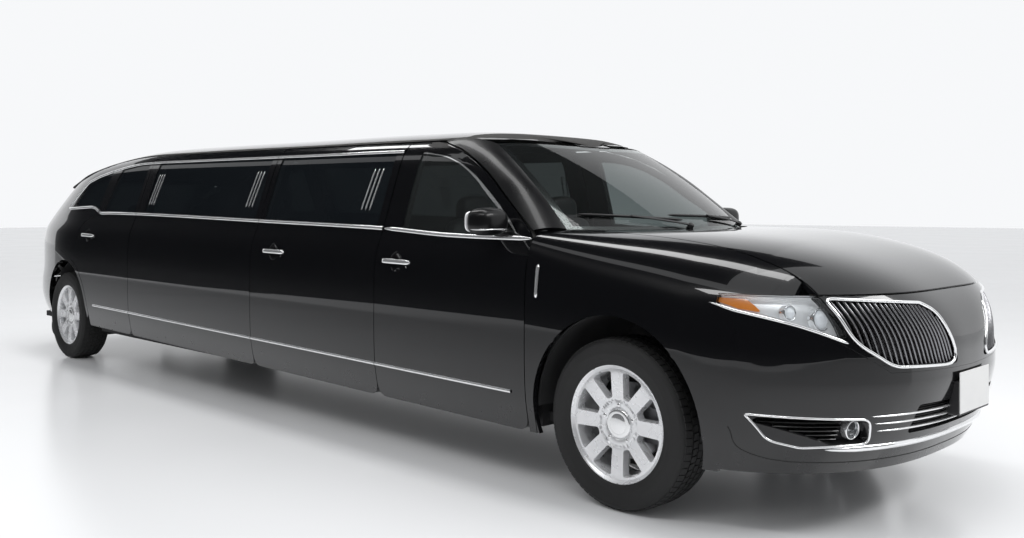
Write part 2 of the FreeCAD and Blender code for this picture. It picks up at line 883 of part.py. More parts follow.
def screen_base(y):
    x = station(size("screen_base")) - size("screen_base_bow") * (y / size("screen_base_half")) ** 2
    return Vector(x, y, size("screen_base_height") + 6.0 * (y / size("screen_base_half")) ** 2)


def screen_head(y):
    """Top edge of the windscreen, just ahead of the roof."""
    x = roof_front(y)
    crest = roof_crest(x) - rake(x)
    belt = size("belt_height")
    low, high = 0.3, math.pi / 2.0
    for _ in range(26):
        middle = (low + high) / 2.0
        if roof_point(x, middle).y > abs(y):
            low = middle
        else:
            high = middle
    flat = belt + (crest - belt) * math.sin(low) ** (1.0 / 6.0)
    return Vector(x + 3.0, y, flat + rake(x) - 3.0)


def screen_point(side, rise, depth):
    base = screen_base(side * size("screen_base_half"))
    head = screen_head(side * size("screen_head_half"))
    point = base + (head - base) * rise
    crown = size("screen_crown") * 4.0 * rise * (1.0 - rise)
    normal = Vector(0.52, 0.30 * side, 0.85).normalize()
    return point + normal * (crown - depth)


def screen_grid(depth):
    return [[screen_point(side, rise, depth) for rise in steps(0.0, 1.0, 9)]
            for side in steps(-1.0, 1.0, 15)]


piece("windscreen", sheet_solid(screen_grid(0.0), screen_grid(6.0)))

PILLAR_GAP = 8.0


def pillar_edge(share):
    """Outer edge of the windscreen pillar, along the front door's frame."""
    line = [(DOOR_FRONT + station(-528.0) - station(-500.0) + 14.0, 1192.0)]
    line += [(station(place) + 5.0, height + 7.5) for place, height in DOOR_NOSE_LINE[1:]]
    line.append((station(-1385.0), TOP + PILLAR_GAP + 2.0))
    points = [Vector(x, 0.0, height) for x, height in line]
    curve = Part.BSplineCurve()
    curve.interpolate(points)
    point = curve.value(curve.FirstParameter + (curve.LastParameter - curve.FirstParameter) * share)
    return Vector(point.x, -wall_at(point.x, point.z), point.z + rake(point.x))


def pillar_grid(depth):
    grid = []
    for share in steps(0.0, 1.0, 11):
        inner = screen_point(-1.0, share, 0.0) + Vector(0.0, -FIT, 0.0)
        outer = pillar_edge(share)
        middle = (inner + outer) * 0.5 + Vector(0.55, -0.45, 0.5) * ((outer - inner).Length * 0.22)
        line = []
        for part in steps(0.0, 1.0, 7):
            point = inner * (1 - part) ** 2 + middle * (2 * part * (1 - part)) + outer * part ** 2
            inwards = Vector(-0.52, 0.30, -0.85) * (1 - part) + Vector(0.0, 0.9, 0.0) * part
            line.append(point + inwards * depth)
        grid.append(line)
    return grid


SCREEN_PILLAR = sheet_solid(pillar_grid(0.0), pillar_grid(38.0)).cut(ROOF)
SCREEN_PILLAR = max(SCREEN_PILLAR.Solids, key=lambda solid: solid.Volume)

# Front fenders, hood, bumper, grille and lamps

FENDER_REAR = DOOR_FRONT + HALF_GAP
HOOD_GAP = 6.0
AXLE = station(0.0)


def nose_section(x, inner_y, count, depth):
    """Right half of the nose section from the hood's edge out and down to the sill."""
    half = size("waist_half") * nose_plan(x, NOSE_TIP) - depth
    reach = min(max(half * 0.97, inner_y + 1.0), half * 0.999)
    points = [Vector(x, -y, nose_top(x, y, depth)) for y in steps(inner_y, reach, 30)]
    start = points[-1].z
    points += [Vector(x, -nose_half(x, z, depth), z) for z in steps(start, LOW, 60)[1:]]
    return spread(points, count)


def fender_grid(depth):
    return [nose_section(x, size("hood_half") + HOOD_GAP, 26, depth)
            for x in steps(FENDER_REAR, station(760.0), 14)]


def wheel_cut(x, radius):
    """Cylinder that opens a wheel arch through the right-hand side."""
    centre = Vector(x, -1100.0, size("tyre_radius") + size("arch_lip"))
    return Part.makeCylinder(radius, 700.0, centre, Vector(0.0, 1.0, 0.0))


FENDER = sheet_solid(fender_grid(0.0), fender_grid(24.0))
FENDER = FENDER.cut(wheel_cut(AXLE, size("arch_radius")))
LAMP_CUT = side_prism([(station(size("fender_front")), size("lamp_top") + 5.0),
                       (station(1200.0), size("lamp_top") + 5.0),
                       (station(1200.0), 100.0), (station(size("fender_front")), 100.0)],
                      0.0, -WIDE, 0.0)
FENDER = FENDER.cut(LAMP_CUT)
FENDER = max(FENDER.Solids, key=lambda solid: solid.Volume)
piece("front_fenders", Part.makeCompound([FENDER, mirrored(FENDER)]))
SCREEN_PILLAR = SCREEN_PILLAR.cut(FENDER)
SCREEN_PILLAR = max(SCREEN_PILLAR.Solids, key=lambda solid: solid.Volume)
piece("screen_pillars", Part.makeCompound([SCREEN_PILLAR, mirrored(SCREEN_PILLAR)]))


def hood_rear(y):
    return station(size("hood_rear")) - size("hood_rear_bow") * (y / size("hood_half")) ** 2


def hood_line(y, depth, count):
    front = nose_reach(y, size("lamp_top") + 5.0)
    points = [Vector(x, y, nose_top(x, y)) for x in steps(hood_rear(y), front, 60)]
    path = spread(points, count)
    return [point - Vector(0.25, 0.0, 1.0) * depth for point in path]


def hood_grid(depth):
    edge = size("hood_half") - 1.0
    return [hood_line(y, depth, 16) for y in steps(-edge, edge, 19)]


HOOD_FRONT = size("lamp_top") + 4.5
HOOD = sheet_solid(hood_grid(0.0), hood_grid(size("hood_thickness")))
HOOD = HOOD.cut(Part.makeBox(900.0, 2.0 * WIDE, 200.0,
                             Vector(station(350.0), -WIDE, HOOD_FRONT - 200.0)))
HOOD = max(HOOD.Solids, key=lambda solid: solid.Volume)
HOOD_PIVOT = Vector(station(-385.0), 0.0, 1150.0)
HOOD_EYE = 9.0
HOOD_PIN = 5.0
HOOD_ARM = (690.0, 700.0)
HOOD_BRACKET = (703.0, 712.0)


def hood_arm():
    """Hinge arm below the hood's rear corner, bored for its pin."""
    low, high = HOOD_ARM
    x, z = HOOD_PIVOT.x, HOOD_PIVOT.z
    eye = Part.makeCylinder(HOOD_EYE, high - low, Vector(x, low, z), Vector(0.0, 1.0, 0.0))
    arm = side_prism([(x + 2.0, z - HOOD_EYE), (x + 90.0, z + 6.0), (x + 90.0, z + 26.0),
                      (x + 45.0, z + 26.0), (x - 4.0, z + 7.0)], 0.0, low, high)
    bore = Part.makeCylinder(HOOD_PIN + FIT, high - low, Vector(x, low, z), Vector(0.0, 1.0, 0.0))
    return eye.fuse(arm).cut(bore)


def hood_bracket():
    """Bracket on the firewall that carries the hood's pin."""
    low, high = HOOD_BRACKET
    x, z = HOOD_PIVOT.x, HOOD_PIVOT.z
    eye = Part.makeCylinder(HOOD_EYE, high - low, Vector(x, low, z), Vector(0.0, 1.0, 0.0))
    arm = side_prism([(x - 6.0, z - 6.0), (station(-300.0), 1060.0), (station(-300.0), 1120.0),
                      (x + 6.0, z + 6.0)], 0.0, low, high)
    pin = Part.makeCylinder(HOOD_PIN, high - HOOD_ARM[0], Vector(x, HOOD_ARM[0], z),
                            Vector(0.0, 1.0, 0.0))
    return eye.fuse([arm, pin])


HOOD = HOOD.fuse([hood_arm(), mirrored(hood_arm())])
piece("hood", HOOD)


def cowl_line(y, depth):
    """Cowl from just behind the hood's edge to under the windscreen's foot."""
    front = Vector(hood_rear(y) - HOOD_GAP, y, nose_top(hood_rear(y), y) - 45.0)
    foot = screen_base(y) + Vector(FIT, 0.0, -FIT)
    return [Vector(front.x + (foot.x - front.x) * share, y,
                   front.z + (foot.z - front.z) * share * share - depth)
            for share in steps(0.0, 1.0, 6)]


COWL = sheet_solid([cowl_line(y, 0.0) for y in steps(-684.0, 684.0, 15)],
                   [cowl_line(y, 8.0) for y in steps(-684.0, 684.0, 15)])
piece("cowl", COWL)


def nose_row(height, depth, start, count):
    """Plan line of the nose at a height, from the right fender round to the left one."""
    side = [Vector(x, -nose_half(x, height), height)
            for x in steps(start, start + 0.45 * (nose_reach(0.0, height) - start), 16)]
    edge = -side[-1].y
    front = [Vector(nose_reach(y, height), -y, height) for y in steps(edge, 0.0, 30)[1:]]
    half = side + front
    full = half + [Vector(p.x, -p.y, p.z) for p in reversed(half[:-1])]
    path = spread(full, count)
    if depth == 0.0:
        return path
    moved = []
    for index, point in enumerate(path):
        run = path[min(index + 1, count - 1)] - path[max(index - 1, 0)]
        moved.append(point + Vector(-run.y, run.x, 0.0).normalize() * depth)
    moved[0].x = path[0].x
    moved[-1].x = path[-1].x
    return moved


def nose_band(low, high, depth_out, depth_in, rows, start):
    heights = steps(low, high, rows)
    outer = [nose_row(height, depth_out, start, 41) for height in heights]
    inner = [nose_row(height, depth_in, start, 41) for height in heights]
    return sheet_solid(outer, inner)


BUMPER_START = station(size("fender_front")) + FIT
LAMP_TOP = size("lamp_top")
GRILLE_LOW = 655.0

# Outlines in the front view, as (half width, height)
NOSE_PANEL_LINE = [(0.0, GRILLE_LOW), (545.0, 668.0), (716.0, 782.0), (742.0, LAMP_TOP + 60.0),
                   (0.0, LAMP_TOP + 60.0)]
GRILLE_LINE = [(125.0, 672.0), (530.0, 690.0), (676.0, 790.0), (716.0, 950.0), (330.0, 922.0),
               (258.0, 888.0)]
LAMP_LINE = [(688.0, 792.0), (722.0, LAMP_TOP - 2.0), (942.0, LAMP_TOP - 2.0), (905.0, 905.0)]
FOG_LINE = [(575.0, 398.0), (700.0, 392.0), (905.0, 480.0), (890.0, 505.0), (600.0, 486.0)]
INTAKE_LINE = [(-400.0, 416.0), (400.0, 416.0), (385.0, 532.0), (-385.0, 532.0)]


def grown(outline, amount):
    """The same outline moved outwards by an amount, corner by corner."""
    middle_y = sum(point[0] for point in outline) / len(outline)
    middle_z = sum(point[1] for point in outline) / len(outline)
    result = []
    for y, z in outline:
        reach = math.hypot(y - middle_y, z - middle_z)
        share = 1.0 + amount / reach
        result.append((middle_y + (y - middle_y) * share, middle_z + (z - middle_z) * share))
    return result


def right_side(outline):
    return [(-y, z) for y, z in outline]


FRONT_FROM = station(450.0)
FRONT_TO = station(1300.0)


def on_both_sides(outline, radii):
    right = front_prism(right_side(outline), radii, FRONT_FROM, FRONT_TO)
    return right, mirrored(right)


def centre_prism(outline, radii):
    left = list(reversed(outline[1:-1]))
    return front_prism(right_side(outline) + left, radii, FRONT_FROM, FRONT_TO)


SKIN_BAND = nose_band(size("valance_height"), LAMP_TOP, 0.0, size("bumper_thickness"), 14,
                      BUMPER_START)
BUMPER = SKIN_BAND.cut(centre_prism(NOSE_PANEL_LINE, 0.0))
for shape in on_both_sides(LAMP_LINE, 12.0):
    BUMPER = BUMPER.cut(shape)
for shape in on_both_sides(FOG_LINE, 18.0):
    BUMPER = BUMPER.cut(shape)
BUMPER = BUMPER.cut(front_prism(INTAKE_LINE, 20.0, FRONT_FROM, FRONT_TO))
BUMPER = max(BUMPER.Solids, key=lambda solid: solid.Volume)
piece("front_bumper", BUMPER)
GRILLE_BAND = nose_band(640.0, LAMP_TOP, 4.0, 46.0, 9, station(560.0))
PANEL_BAND = nose_band(640.0, LAMP_TOP, 0.0, 30.0, 9, station(560.0))
PANEL = PANEL_BAND.common(centre_prism(grown(NOSE_PANEL_LINE, -FIT), 0.0))
for shape in on_both_sides(grown(GRILLE_LINE, 0.5), 26.0):
    PANEL = PANEL.cut(shape)
for shape in on_both_sides(grown(LAMP_LINE, 0.5), 12.0):
    PANEL = PANEL.cut(shape)
piece("nose_panel", PANEL)

BAR_COUNT = 20


def grille_half():
    """Surround ring and upright slats of the right half, cut from the nose."""
    outline = right_side(GRILLE_LINE)
    outer = front_prism(outline, 26.0, FRONT_FROM, FRONT_TO)
    inner = front_prism(grown(outline, -17.0), 22.0, FRONT_FROM, FRONT_TO)
    slats = []
    for index in range(BAR_COUNT):
        share = (index + 0.5) / BAR_COUNT
        low = -(118.0 + 560.0 * share)
        high = -(262.0 + 470.0 * share)
        slat = [(low - 6.0, 650.0), (high - 6.0, LAMP_TOP), (high + 6.0, LAMP_TOP), (low + 6.0, 650.0)]
        slats.append(front_prism(slat, 0.0, FRONT_FROM, FRONT_TO))
    frame = GRILLE_BAND.common(outer.cut(inner))
    bars = GRILLE_BAND.common(outer.common(Part.makeCompound(slats)))
    back = nose_band(640.0, LAMP_TOP, 46.0, 50.0, 9, station(560.0)).common(outer)
    whole = frame.fuse([bars, back])
    return whole


GRILLE = grille_half()
piece("grille", Part.makeCompound([GRILLE, mirrored(GRILLE)]))

LAMP_BAND = nose_band(760.0, LAMP_TOP, 2.0, 62.0, 7, BUMPER_START)
RIGHT_LAMP = LAMP_BAND.common(on_both_sides(grown(LAMP_LINE, -0.5), 12.0)[0])
piece("headlamps", Part.makeCompound([RIGHT_LAMP, mirrored(RIGHT_LAMP)]))

FOG_BAND = nose_band(380.0, 520.0, 12.0, 40.0, 6, BUMPER_START)
RIGHT_FOG = FOG_BAND.common(on_both_sides(grown(FOG_LINE, -0.5), 18.0)[0])
piece("fog_lamps", Part.makeCompound([RIGHT_FOG, mirrored(RIGHT_FOG)]))
INTAKE = nose_band(380.0, 560.0, 10.0, 40.0, 6, station(560.0)).common(
    front_prism(grown(INTAKE_LINE, -0.5), 20.0, FRONT_FROM, FRONT_TO))
piece("intake_grille", INTAKE)

# Front plate and its bracket

PLATE_X = NOSE_TIP + 12.0
PLATE = bound_box("plate_blank", "3", "Sizes.plate_width", "Sizes.plate_height",
                  "Sizes.front_axle + Sizes.nose_front + 12", "-Sizes.plate_width / 2", "470")
WEDGE = front_prism([(-165.0, 462.0), (165.0, 462.0), (165.0, 600.0), (-165.0, 600.0)], 12.0,
                    nose_front_at(462.0) - 10.0, PLATE_X)
WEDGE = WEDGE.cut(nose_band(440.0, 620.0, -0.5, 60.0, 6, station(700.0)))
WEDGE = max(WEDGE.Solids, key=lambda solid: solid.BoundBox.XMax)
piece("plate_bracket", WEDGE)
publish("front_plate", PLATE)

# Tail: quarter panels, liftgate, lamps and bumper

TAIL_END = station(-6860.0)


def quarter_low(x):
    return size("tail_base_height") - rake(x)


def fixed_line(x):
    """Upper edge of the fixed panels, which meets the roof."""
    return top_line(x) + size("shut_gap") + 1.0 - FIT


QUARTER = wall_sheet(REAR_REAR + 130.0, TAIL_END, quarter_low, fixed_line, SKIN, (24.0, 24.0),
                     16, 26)
door_edge = door_outline(REAR_FRONT, REAR_REAR, HALF_GAP - size("shut_gap") - 4.0, arch=True)
DOOR_SHADOW = side_prism(*door_edge, -WIDE, 0.0)
QUARTER = QUARTER.cut(DOOR_SHADOW)
QUARTER = QUARTER.cut(wheel_cut(REAR_AXLE, size("arch_radius") + 8.0))
QUARTER_WINDOW = [lifted(station(-5492.0), 1196.0),
                  lifted(station(-5440.0), 1540.0),
                  lifted(station(-5640.0), 1508.0),
                  lifted(station(-5850.0), 1455.0),
                  lifted(QUARTER_WINDOW_REAR, 1226.0),
                  lifted(station(-5640.0), 1246.0),
                  lifted(station(-5560.0), 1238.0)]
QUARTER_HOLE = side_prism(QUARTER_WINDOW, [14.0, 14.0, 300.0, 90.0, 30.0, 60.0, 40.0], -WIDE, 0.0)
QUARTER = QUARTER.cut(QUARTER_HOLE)
QUARTER = max(QUARTER.Solids, key=lambda solid: solid.Volume)
QUARTER_GLAZING = wall_sheet(REAR_REAR + 330.0, TAIL_END + 500.0, lambda x: 1130.0, top_line,
                             GLASS_OUT, GLASS_IN, 12, 12)
QUARTER_GLASS = QUARTER_GLAZING.common(QUARTER_HOLE)
piece("quarter_glass", Part.makeCompound([QUARTER_GLASS, mirrored(QUARTER_GLASS)]))

GATE_HALF = 655.0
GATE_LOW = 640.0
GATE_TOP = size("roof_rear_height") - 12.0


def tail_row(height, half, depth, count):
    """Plan line of the liftgate at a height."""
    ys = [half * math.sin(angle) for angle in steps(-math.pi / 2.0, math.pi / 2.0, count)]
    points = [Vector(tail_reach(y, height), y, height) for y in ys]
    moved = []
    for index, point in enumerate(points):
        run = points[min(index + 1, count - 1)] - points[max(index - 1, 0)]
        across = Vector(-run.y, run.x, 0.0).normalize()
        if across.x < 0.0:
            across = across * -1.0
        lean = 0.75 if height > 1180.0 else 0.0
        moved.append(point + (across + Vector(0.0, 0.0, -lean)).normalize() * depth)
    return moved


def gate_sheet(low, high, half, depth_out, depth_in, rows):
    heights = steps(low, high, rows)
    return sheet_solid([tail_row(h, half, depth_out, 21) for h in heights],
                       [tail_row(h, half, depth_in, 21) for h in heights])


BACK_FROM = station(-5900.0)
BACK_TO = station(-7400.0)
REAR_WINDOW = [(-560.0, 1238.0), (560.0, 1238.0), (520.0, 1520.0), (-520.0, 1520.0)]
GATE = gate_sheet(GATE_LOW, GATE_TOP, GATE_HALF, 0.0, 42.0, 22)
GATE = GATE.cut(front_prism(REAR_WINDOW, 40.0, BACK_TO, BACK_FROM))
GATE_CROWN = [Vector(0.0, point.y, point.z - size("shut_gap"))
              for point in roof_line(ROOF_REAR, 0.0, 14)]
GATE_CROWN += [Vector(0.0, -point.y, point.z) for point in reversed(GATE_CROWN[:-1])]
OVER_GATE = [(point.y, point.z) for point in GATE_CROWN]
OVER_GATE = [(WIDE, OVER_GATE[0][1])] + OVER_GATE + [(-WIDE, OVER_GATE[0][1]), (-WIDE, 1900.0),
                                                     (WIDE, 1900.0)]
GATE = GATE.cut(front_prism(OVER_GATE, 0.0, BACK_TO, BACK_FROM))
GATE = GATE.cut(Part.makeBox(900.0, 2.0 * WIDE, 2000.0,
                             Vector(ROOF_REAR - size("shut_gap"), -WIDE, 0.0)))
REAR_GLASS = gate_sheet(1200.0, 1560.0, GATE_HALF, 5.0, 10.0, 9).common(
    front_prism(REAR_WINDOW, 40.0, BACK_TO, BACK_FROM))
TAIL_LAMP = gate_sheet(1015.0, 1125.0, 640.0, -6.0, 14.0, 6)
GATE = GATE.cut(TAIL_LAMP)
PLATE_SEAT = station(-7155.0)
PLATE_SEAT_Z = 840.0
GATE = GATE.cut(Part.makeBox(60.0, 330.0, 176.0, Vector(PLATE_SEAT - 60.0, -165.0, PLATE_SEAT_Z - 88.0)))
for side in (-1.0, 1.0):
    GATE = GATE.cut(Part.makeCylinder(size("plate_bolt_radius"), 90.0,
                                      Vector(PLATE_SEAT - 20.0, side * size("plate_bolts") / 2.0,
                                             PLATE_SEAT_Z), Vector(1.0, 0.0, 0.0)))
piece("liftgate", max(GATE.Solids, key=lambda solid: solid.Volume))
piece("rear_glass", REAR_GLASS)
piece("tail_lamps", TAIL_LAMP)


def corner_start(height):
    """Station where the tail's corner begins: at the quarter panel, the roof edge or the roof end."""
    foremost = ROOF_REAR - size("shut_gap")
    if height > roof_line(ROOF_REAR, 0.0, 3)[0].z:
        return foremost
    low, high = TAIL_END, foremost
    if fixed_line(low) + rake(low) > height:
        return TAIL_END
    for _ in range(26):
        middle = (low + high) / 2.0
        if fixed_line(middle) + rake(middle) > height:
            high = middle
        else:
            low = middle
    return low


def corner_row(height, depth, count):
    """Plan line round the tail's right corner, from the quarter panel to the liftgate."""
    edge = GATE_HALF + size("shut_gap")
    start = corner_start(height) - 4.0
    finish = tail_reach(edge, height)
    points = []
    for share in steps(0.0, 1.0, 30):
        x = start + (finish - start) * math.sin(share * math.pi / 2.0)
        points.append(Vector(x, -side_half(height - rake(x)) * tail_plan(x, height), height))
    path = spread(points, count)
    if depth == 0.0:
        return path
    moved = []
    for index, point in enumerate(path):
        run = path[min(index + 1, count - 1)] - path[max(index - 1, 0)]
        inner = point + Vector(run.y, -run.x, 0.0).normalize() * depth
        inner.x = min(inner.x, start)
        moved.append(inner)
    moved[0].x = path[0].x
    moved[-1].y = path[-1].y
    return moved


CORNER_HEIGHTS = steps(GATE_LOW, 1500.0, 22)
CORNER = sheet_solid([corner_row(height, 0.0, 9) for height in CORNER_HEIGHTS],
                     [corner_row(height, 24.0, 9) for height in CORNER_HEIGHTS])
CORNER = max(CORNER.cut(ROOF).Solids, key=lambda solid: solid.Volume)
QUARTER = QUARTER.cut(CORNER)
piece("quarter_panels", Part.makeCompound([QUARTER, mirrored(QUARTER)]))
piece("rear_corner_panels", Part.makeCompound([CORNER, mirrored(CORNER)]))


def bumper_row(height, depth, start, count):
    """Plan line of the rear bumper, from its right end round to its left one."""
    rear = tail_rear_at(height)
    side = [Vector(x, -side_half(max(height - rake(x), LOW)) * tail_plan(x, height), height)
            for x in steps(start, start + 0.80 * (rear - start), 20)]
    edge = -side[-1].y
    back = [Vector(tail_reach(y, height), -y, height) for y in steps(edge, 0.0, 24)[1:]]
    half = side + back
    full = half + [Vector(p.x, -p.y, p.z) for p in reversed(half[:-1])]
    path = spread(full, count)
    if depth == 0.0:
        return path
    moved = []
    for index, point in enumerate(path):
        run = path[min(index + 1, count - 1)] - path[max(index - 1, 0)]
        moved.append(point + Vector(run.y, -run.x, 0.0).normalize() * depth)
    moved[0].x = path[0].x
    moved[-1].x = path[-1].x
    return moved


REAR_BUMPER_START = TAIL_END - FIT
REAR_BUMPER = sheet_solid(
    [bumper_row(h, 0.0, REAR_BUMPER_START, 33) for h in steps(340.0, GATE_LOW - 8.0, 10)],
    [bumper_row(h, 30.0, REAR_BUMPER_START, 33) for h in steps(340.0, GATE_LOW - 8.0, 10)])
GATE_STOPS = [Part.makeBox(18.0, 40.0, GATE_LOW - 590.0, Vector(tail_reach(400.0, 620.0) + 8.0, y, 590.0))
              for y in (-420.0, 380.0)]
REAR_BUMPER = REAR_BUMPER.fuse(GATE_STOPS)
piece("rear_bumper", REAR_BUMPER)

# Chassis: floor with side rails, firewall, cross members

FLOOR_Z = size("floor_height")
FLOOR_T = size("floor_thickness")
FLOOR_HALF = size("floor_half")
WELL = size("arch_radius") + 12.0
FRONT_WELL_INNER = 386.0
REAR_WELL_INNER = 560.0
FIREWALL = station(-330.0)
CABIN_REAR = station(-6900.0)


def floor_solid():
    """Floor pan from the firewall to the tail, with the rear wheel housings let in."""
    slab = Part.makeBox(FIREWALL - CABIN_REAR, 2 * FLOOR_HALF, FLOOR_T,
                        Vector(CABIN_REAR, -FLOOR_HALF, FLOOR_Z))
    wall = Part.makeBox(40.0, 2 * FLOOR_HALF, 850.0, Vector(FIREWALL, -FLOOR_HALF, FLOOR_Z))
    result = slab.fuse(wall)
    for side in (-1.0, 1.0):
        sill = Part.makeBox(DOOR_FRONT - (REAR_AXLE + WELL + 40.0), 90.0, 110.0,
                            Vector(REAR_AXLE + WELL + 40.0, side * FLOOR_HALF - 45.0, FLOOR_Z - 20.0))
        result = result.fuse(sill)
        rail = Part.makeBox(FIREWALL - CABIN_REAR + 1150.0, 70.0, 90.0,
                            Vector(CABIN_REAR, side * 350.0 - 35.0, FLOOR_Z - 60.0))
        result = result.fuse(rail)
        for axle, inner in ((REAR_AXLE, REAR_WELL_INNER), (AXLE, FRONT_WELL_INNER)):
            near = min(side * (inner - FIT), side * 1100.0)
            centre = Vector(axle, near, size("tyre_radius") + size("arch_lip"))
            well = Part.makeCylinder(WELL, 1100.0 - inner + FIT, centre, Vector(0, 1, 0))
            low = Part.makeBox(2.0 * WELL, 1100.0 - inner + FIT, 500.0,
                               Vector(axle - WELL, near, centre.z - 500.0))
            result = result.cut(well).cut(low)
    result = max(result.cut(COWL).Solids, key=lambda solid: solid.Volume)
    return result.fuse([hood_bracket(), mirrored(hood_bracket())])


FLOOR = floor_solid()
piece("floor", FLOOR)


def liner(x, inner, outer):
    """Half-round wheel housing above one wheel, closed on its inner side."""
    axle_z = size("tyre_radius") + size("arch_lip")
    reach = size("arch_radius") + 2.0
    centre = Vector(x, -outer, axle_z)
    drum = Part.makeCylinder(reach + 8.0, outer - inner, centre, Vector(0, 1, 0))
    hollow = Part.makeCylinder(reach, outer - inner - 6.0, centre, Vector(0, 1, 0))
    shell = drum.cut(hollow)
    low = Part.makeBox(2400.0, 1000.0, 700.0, Vector(x - 1200.0, -outer - 100.0, axle_z - 700.0))
    return shell.cut(low)


FRONT_LINER = liner(AXLE, FRONT_WELL_INNER, 915.0)
REAR_LINER = liner(REAR_AXLE, REAR_WELL_INNER, 860.0)
piece("wheel_housings", Part.makeCompound(
    [FRONT_LINER, mirrored(FRONT_LINER), REAR_LINER, mirrored(REAR_LINER)]))

# Pillars inside the doors

PILLAR_DEPTH = (115.0, 62.0)
PILLAR_BACK = (165.0, 98.0)
PILLAR_BAND = side_band(PILLAR_DEPTH, PILLAR_BACK, FLOOR_Z, 1690.0, DOOR_FRONT, station(-5900.0))
LEAF_REACH = -HINGE_Y - (size("waist_half") - PILLAR_DEPTH[0]) + 12.0


def pillar_at(front, rear, axis_x=None, low=FLOOR_Z, high=1690.0):
    """Pillar between two stations, seated on the sill and under the roof."""
    outline = [lifted(front, low), lifted(front, high), lifted(rear, high), lifted(rear, low)]
    post = PILLAR_BAND.common(side_prism(outline, 0.0, -WIDE, 0.0))
    post = post.cut(FLOOR).cut(ROOF)
    post = max(post.Solids, key=lambda solid: solid.Volume)
    if axis_x is not None:
        post = post.fuse(hinge_leaves(axis_x, LEAF_REACH))
    return post


PILLARS = [pillar_at(FRONT_AXIS + 45.0, FRONT_AXIS - 35.0, FRONT_AXIS, high=1130.0),
           pillar_at(FIFTH_AXIS + 80.0, FIFTH_AXIS - 40.0, FIFTH_AXIS),
           pillar_at(FIFTH_REAR + 40.0, FIFTH_REAR - 60.0),
           pillar_at(REAR_DOOR_AXIS + 110.0, REAR_DOOR_AXIS - 40.0, REAR_DOOR_AXIS)]
LEFT_B_PILLAR = pillar_at(FIFTH_AXIS + 80.0, FIFTH_AXIS - 40.0)
LEFT_PILLARS = [PILLARS[0], LEFT_B_PILLAR, PILLARS[3]]
piece("door_pillars", Part.makeCompound(PILLARS + [mirrored(shape) for shape in LEFT_PILLARS]))

# Wheels, tyres, brakes and knuckles

TYRE_R = size("tyre_radius")


TYRE_PROFILE = [
    ("Sizes.rim_radius + 0.5", "24.5 - Sizes.tyre_half_width"),
    ("Sizes.rim_radius + 62.5", "-Sizes.tyre_half_width"),
    ("Sizes.tyre_radius - 26", "5 - Sizes.tyre_half_width"),
    ("Sizes.tyre_radius", "25.5 - Sizes.tyre_half_width"),
    ("Sizes.tyre_radius", "Sizes.tyre_half_width - 25.5"),
    ("Sizes.tyre_radius - 26", "Sizes.tyre_half_width - 5"),
    ("Sizes.rim_radius + 62.5", "Sizes.tyre_half_width"),
    ("Sizes.rim_radius + 0.5", "Sizes.tyre_half_width - 20.5"),
]
BORE = "Sizes.spindle_radius + Sizes.spindle_fit"
DISC_BACK = "-Sizes.disc_thickness - Sizes.disc_face"
WHEEL_PROFILE = [
    (BORE, DISC_BACK),
    ("Sizes.hub_radius", DISC_BACK),
    ("Sizes.hub_radius", "Sizes.wheel_face - Sizes.spoke_depth"),
    ("Sizes.barrel_inner_radius", "Sizes.wheel_face - Sizes.spoke_depth + 8"),
    ("Sizes.barrel_inner_radius", "14 - Sizes.tyre_half_width"),
    ("Sizes.rim_radius + 10", "14 - Sizes.tyre_half_width"),
    ("Sizes.rim_radius", "24 - Sizes.tyre_half_width"),
    ("Sizes.barrel_radius", "40 - Sizes.tyre_half_width"),
    ("Sizes.barrel_radius", "Sizes.tyre_half_width - 34"),
    ("Sizes.rim_radius", "Sizes.tyre_half_width - 20"),
    ("Sizes.rim_radius + 12", "Sizes.tyre_half_width - 14"),
    ("Sizes.barrel_inner_radius", "Sizes.tyre_half_width - 14"),
    ("Sizes.barrel_inner_radius", "Sizes.wheel_face + 4"),
    ("Sizes.lug_ring_radius + 10", "Sizes.wheel_face - 4"),
    ("Sizes.lug_ring_radius + 4", "Sizes.wheel_face - 14"),
    ("Sizes.cap_radius + 4", "Sizes.wheel_face - 14"),
    ("Sizes.cap_radius", "Sizes.wheel_face + 6"),
    ("0", "Sizes.wheel_face + 8"),
    ("0", "Sizes.wheel_face / 2"),
    (BORE, "Sizes.wheel_face / 2"),
]
DISC_PROFILE = [
    ("Sizes.hub_radius - 4", DISC_BACK),
    ("Sizes.disc_radius", DISC_BACK),
    ("Sizes.disc_radius", "-Sizes.disc_face"),
    ("Sizes.hub_radius - 4", "-Sizes.disc_face"),
]
WINDOW_PROFILE = [
    ("-Sizes.window_inner_width / 2", "Sizes.window_inner_radius + 8"),
    ("-Sizes.window_inner_width / 4", "Sizes.window_inner_radius"),
    ("Sizes.window_inner_width / 4", "Sizes.window_inner_radius"),
    ("Sizes.window_inner_width / 2", "Sizes.window_inner_radius + 8"),
    ("Sizes.window_outer_width / 2", "Sizes.window_outer_radius - 30"),
    ("Sizes.window_outer_width / 2 - 14", "Sizes.window_outer_radius - 12"),
    ("14 - Sizes.window_outer_width / 2", "Sizes.window_outer_radius - 12"),
    ("-Sizes.window_outer_width / 2", "Sizes.window_outer_radius - 30"),
]


def corner_body(label, x, y, turn):
    """Body that stands at one wheel's centre; its own Y axis points out of the car."""
    body = doc.addObject("PartDesign::Body", label)
    body.Placement = FreeCAD.Placement(Vector(), turn)
    return bound(body, Placement__Base__x=x, Placement__Base__y=y,
                 Placement__Base__z="Sizes.tyre_radius")


def tyre_body(name, x, y, turn):
    """Tyre of one corner, a turned section."""
    body = corner_body("tyre_" + name, x, y, turn)
    revolved(body, "tyre_section_" + name, TYRE_PROFILE)
    return publish("tyre_" + name, body)


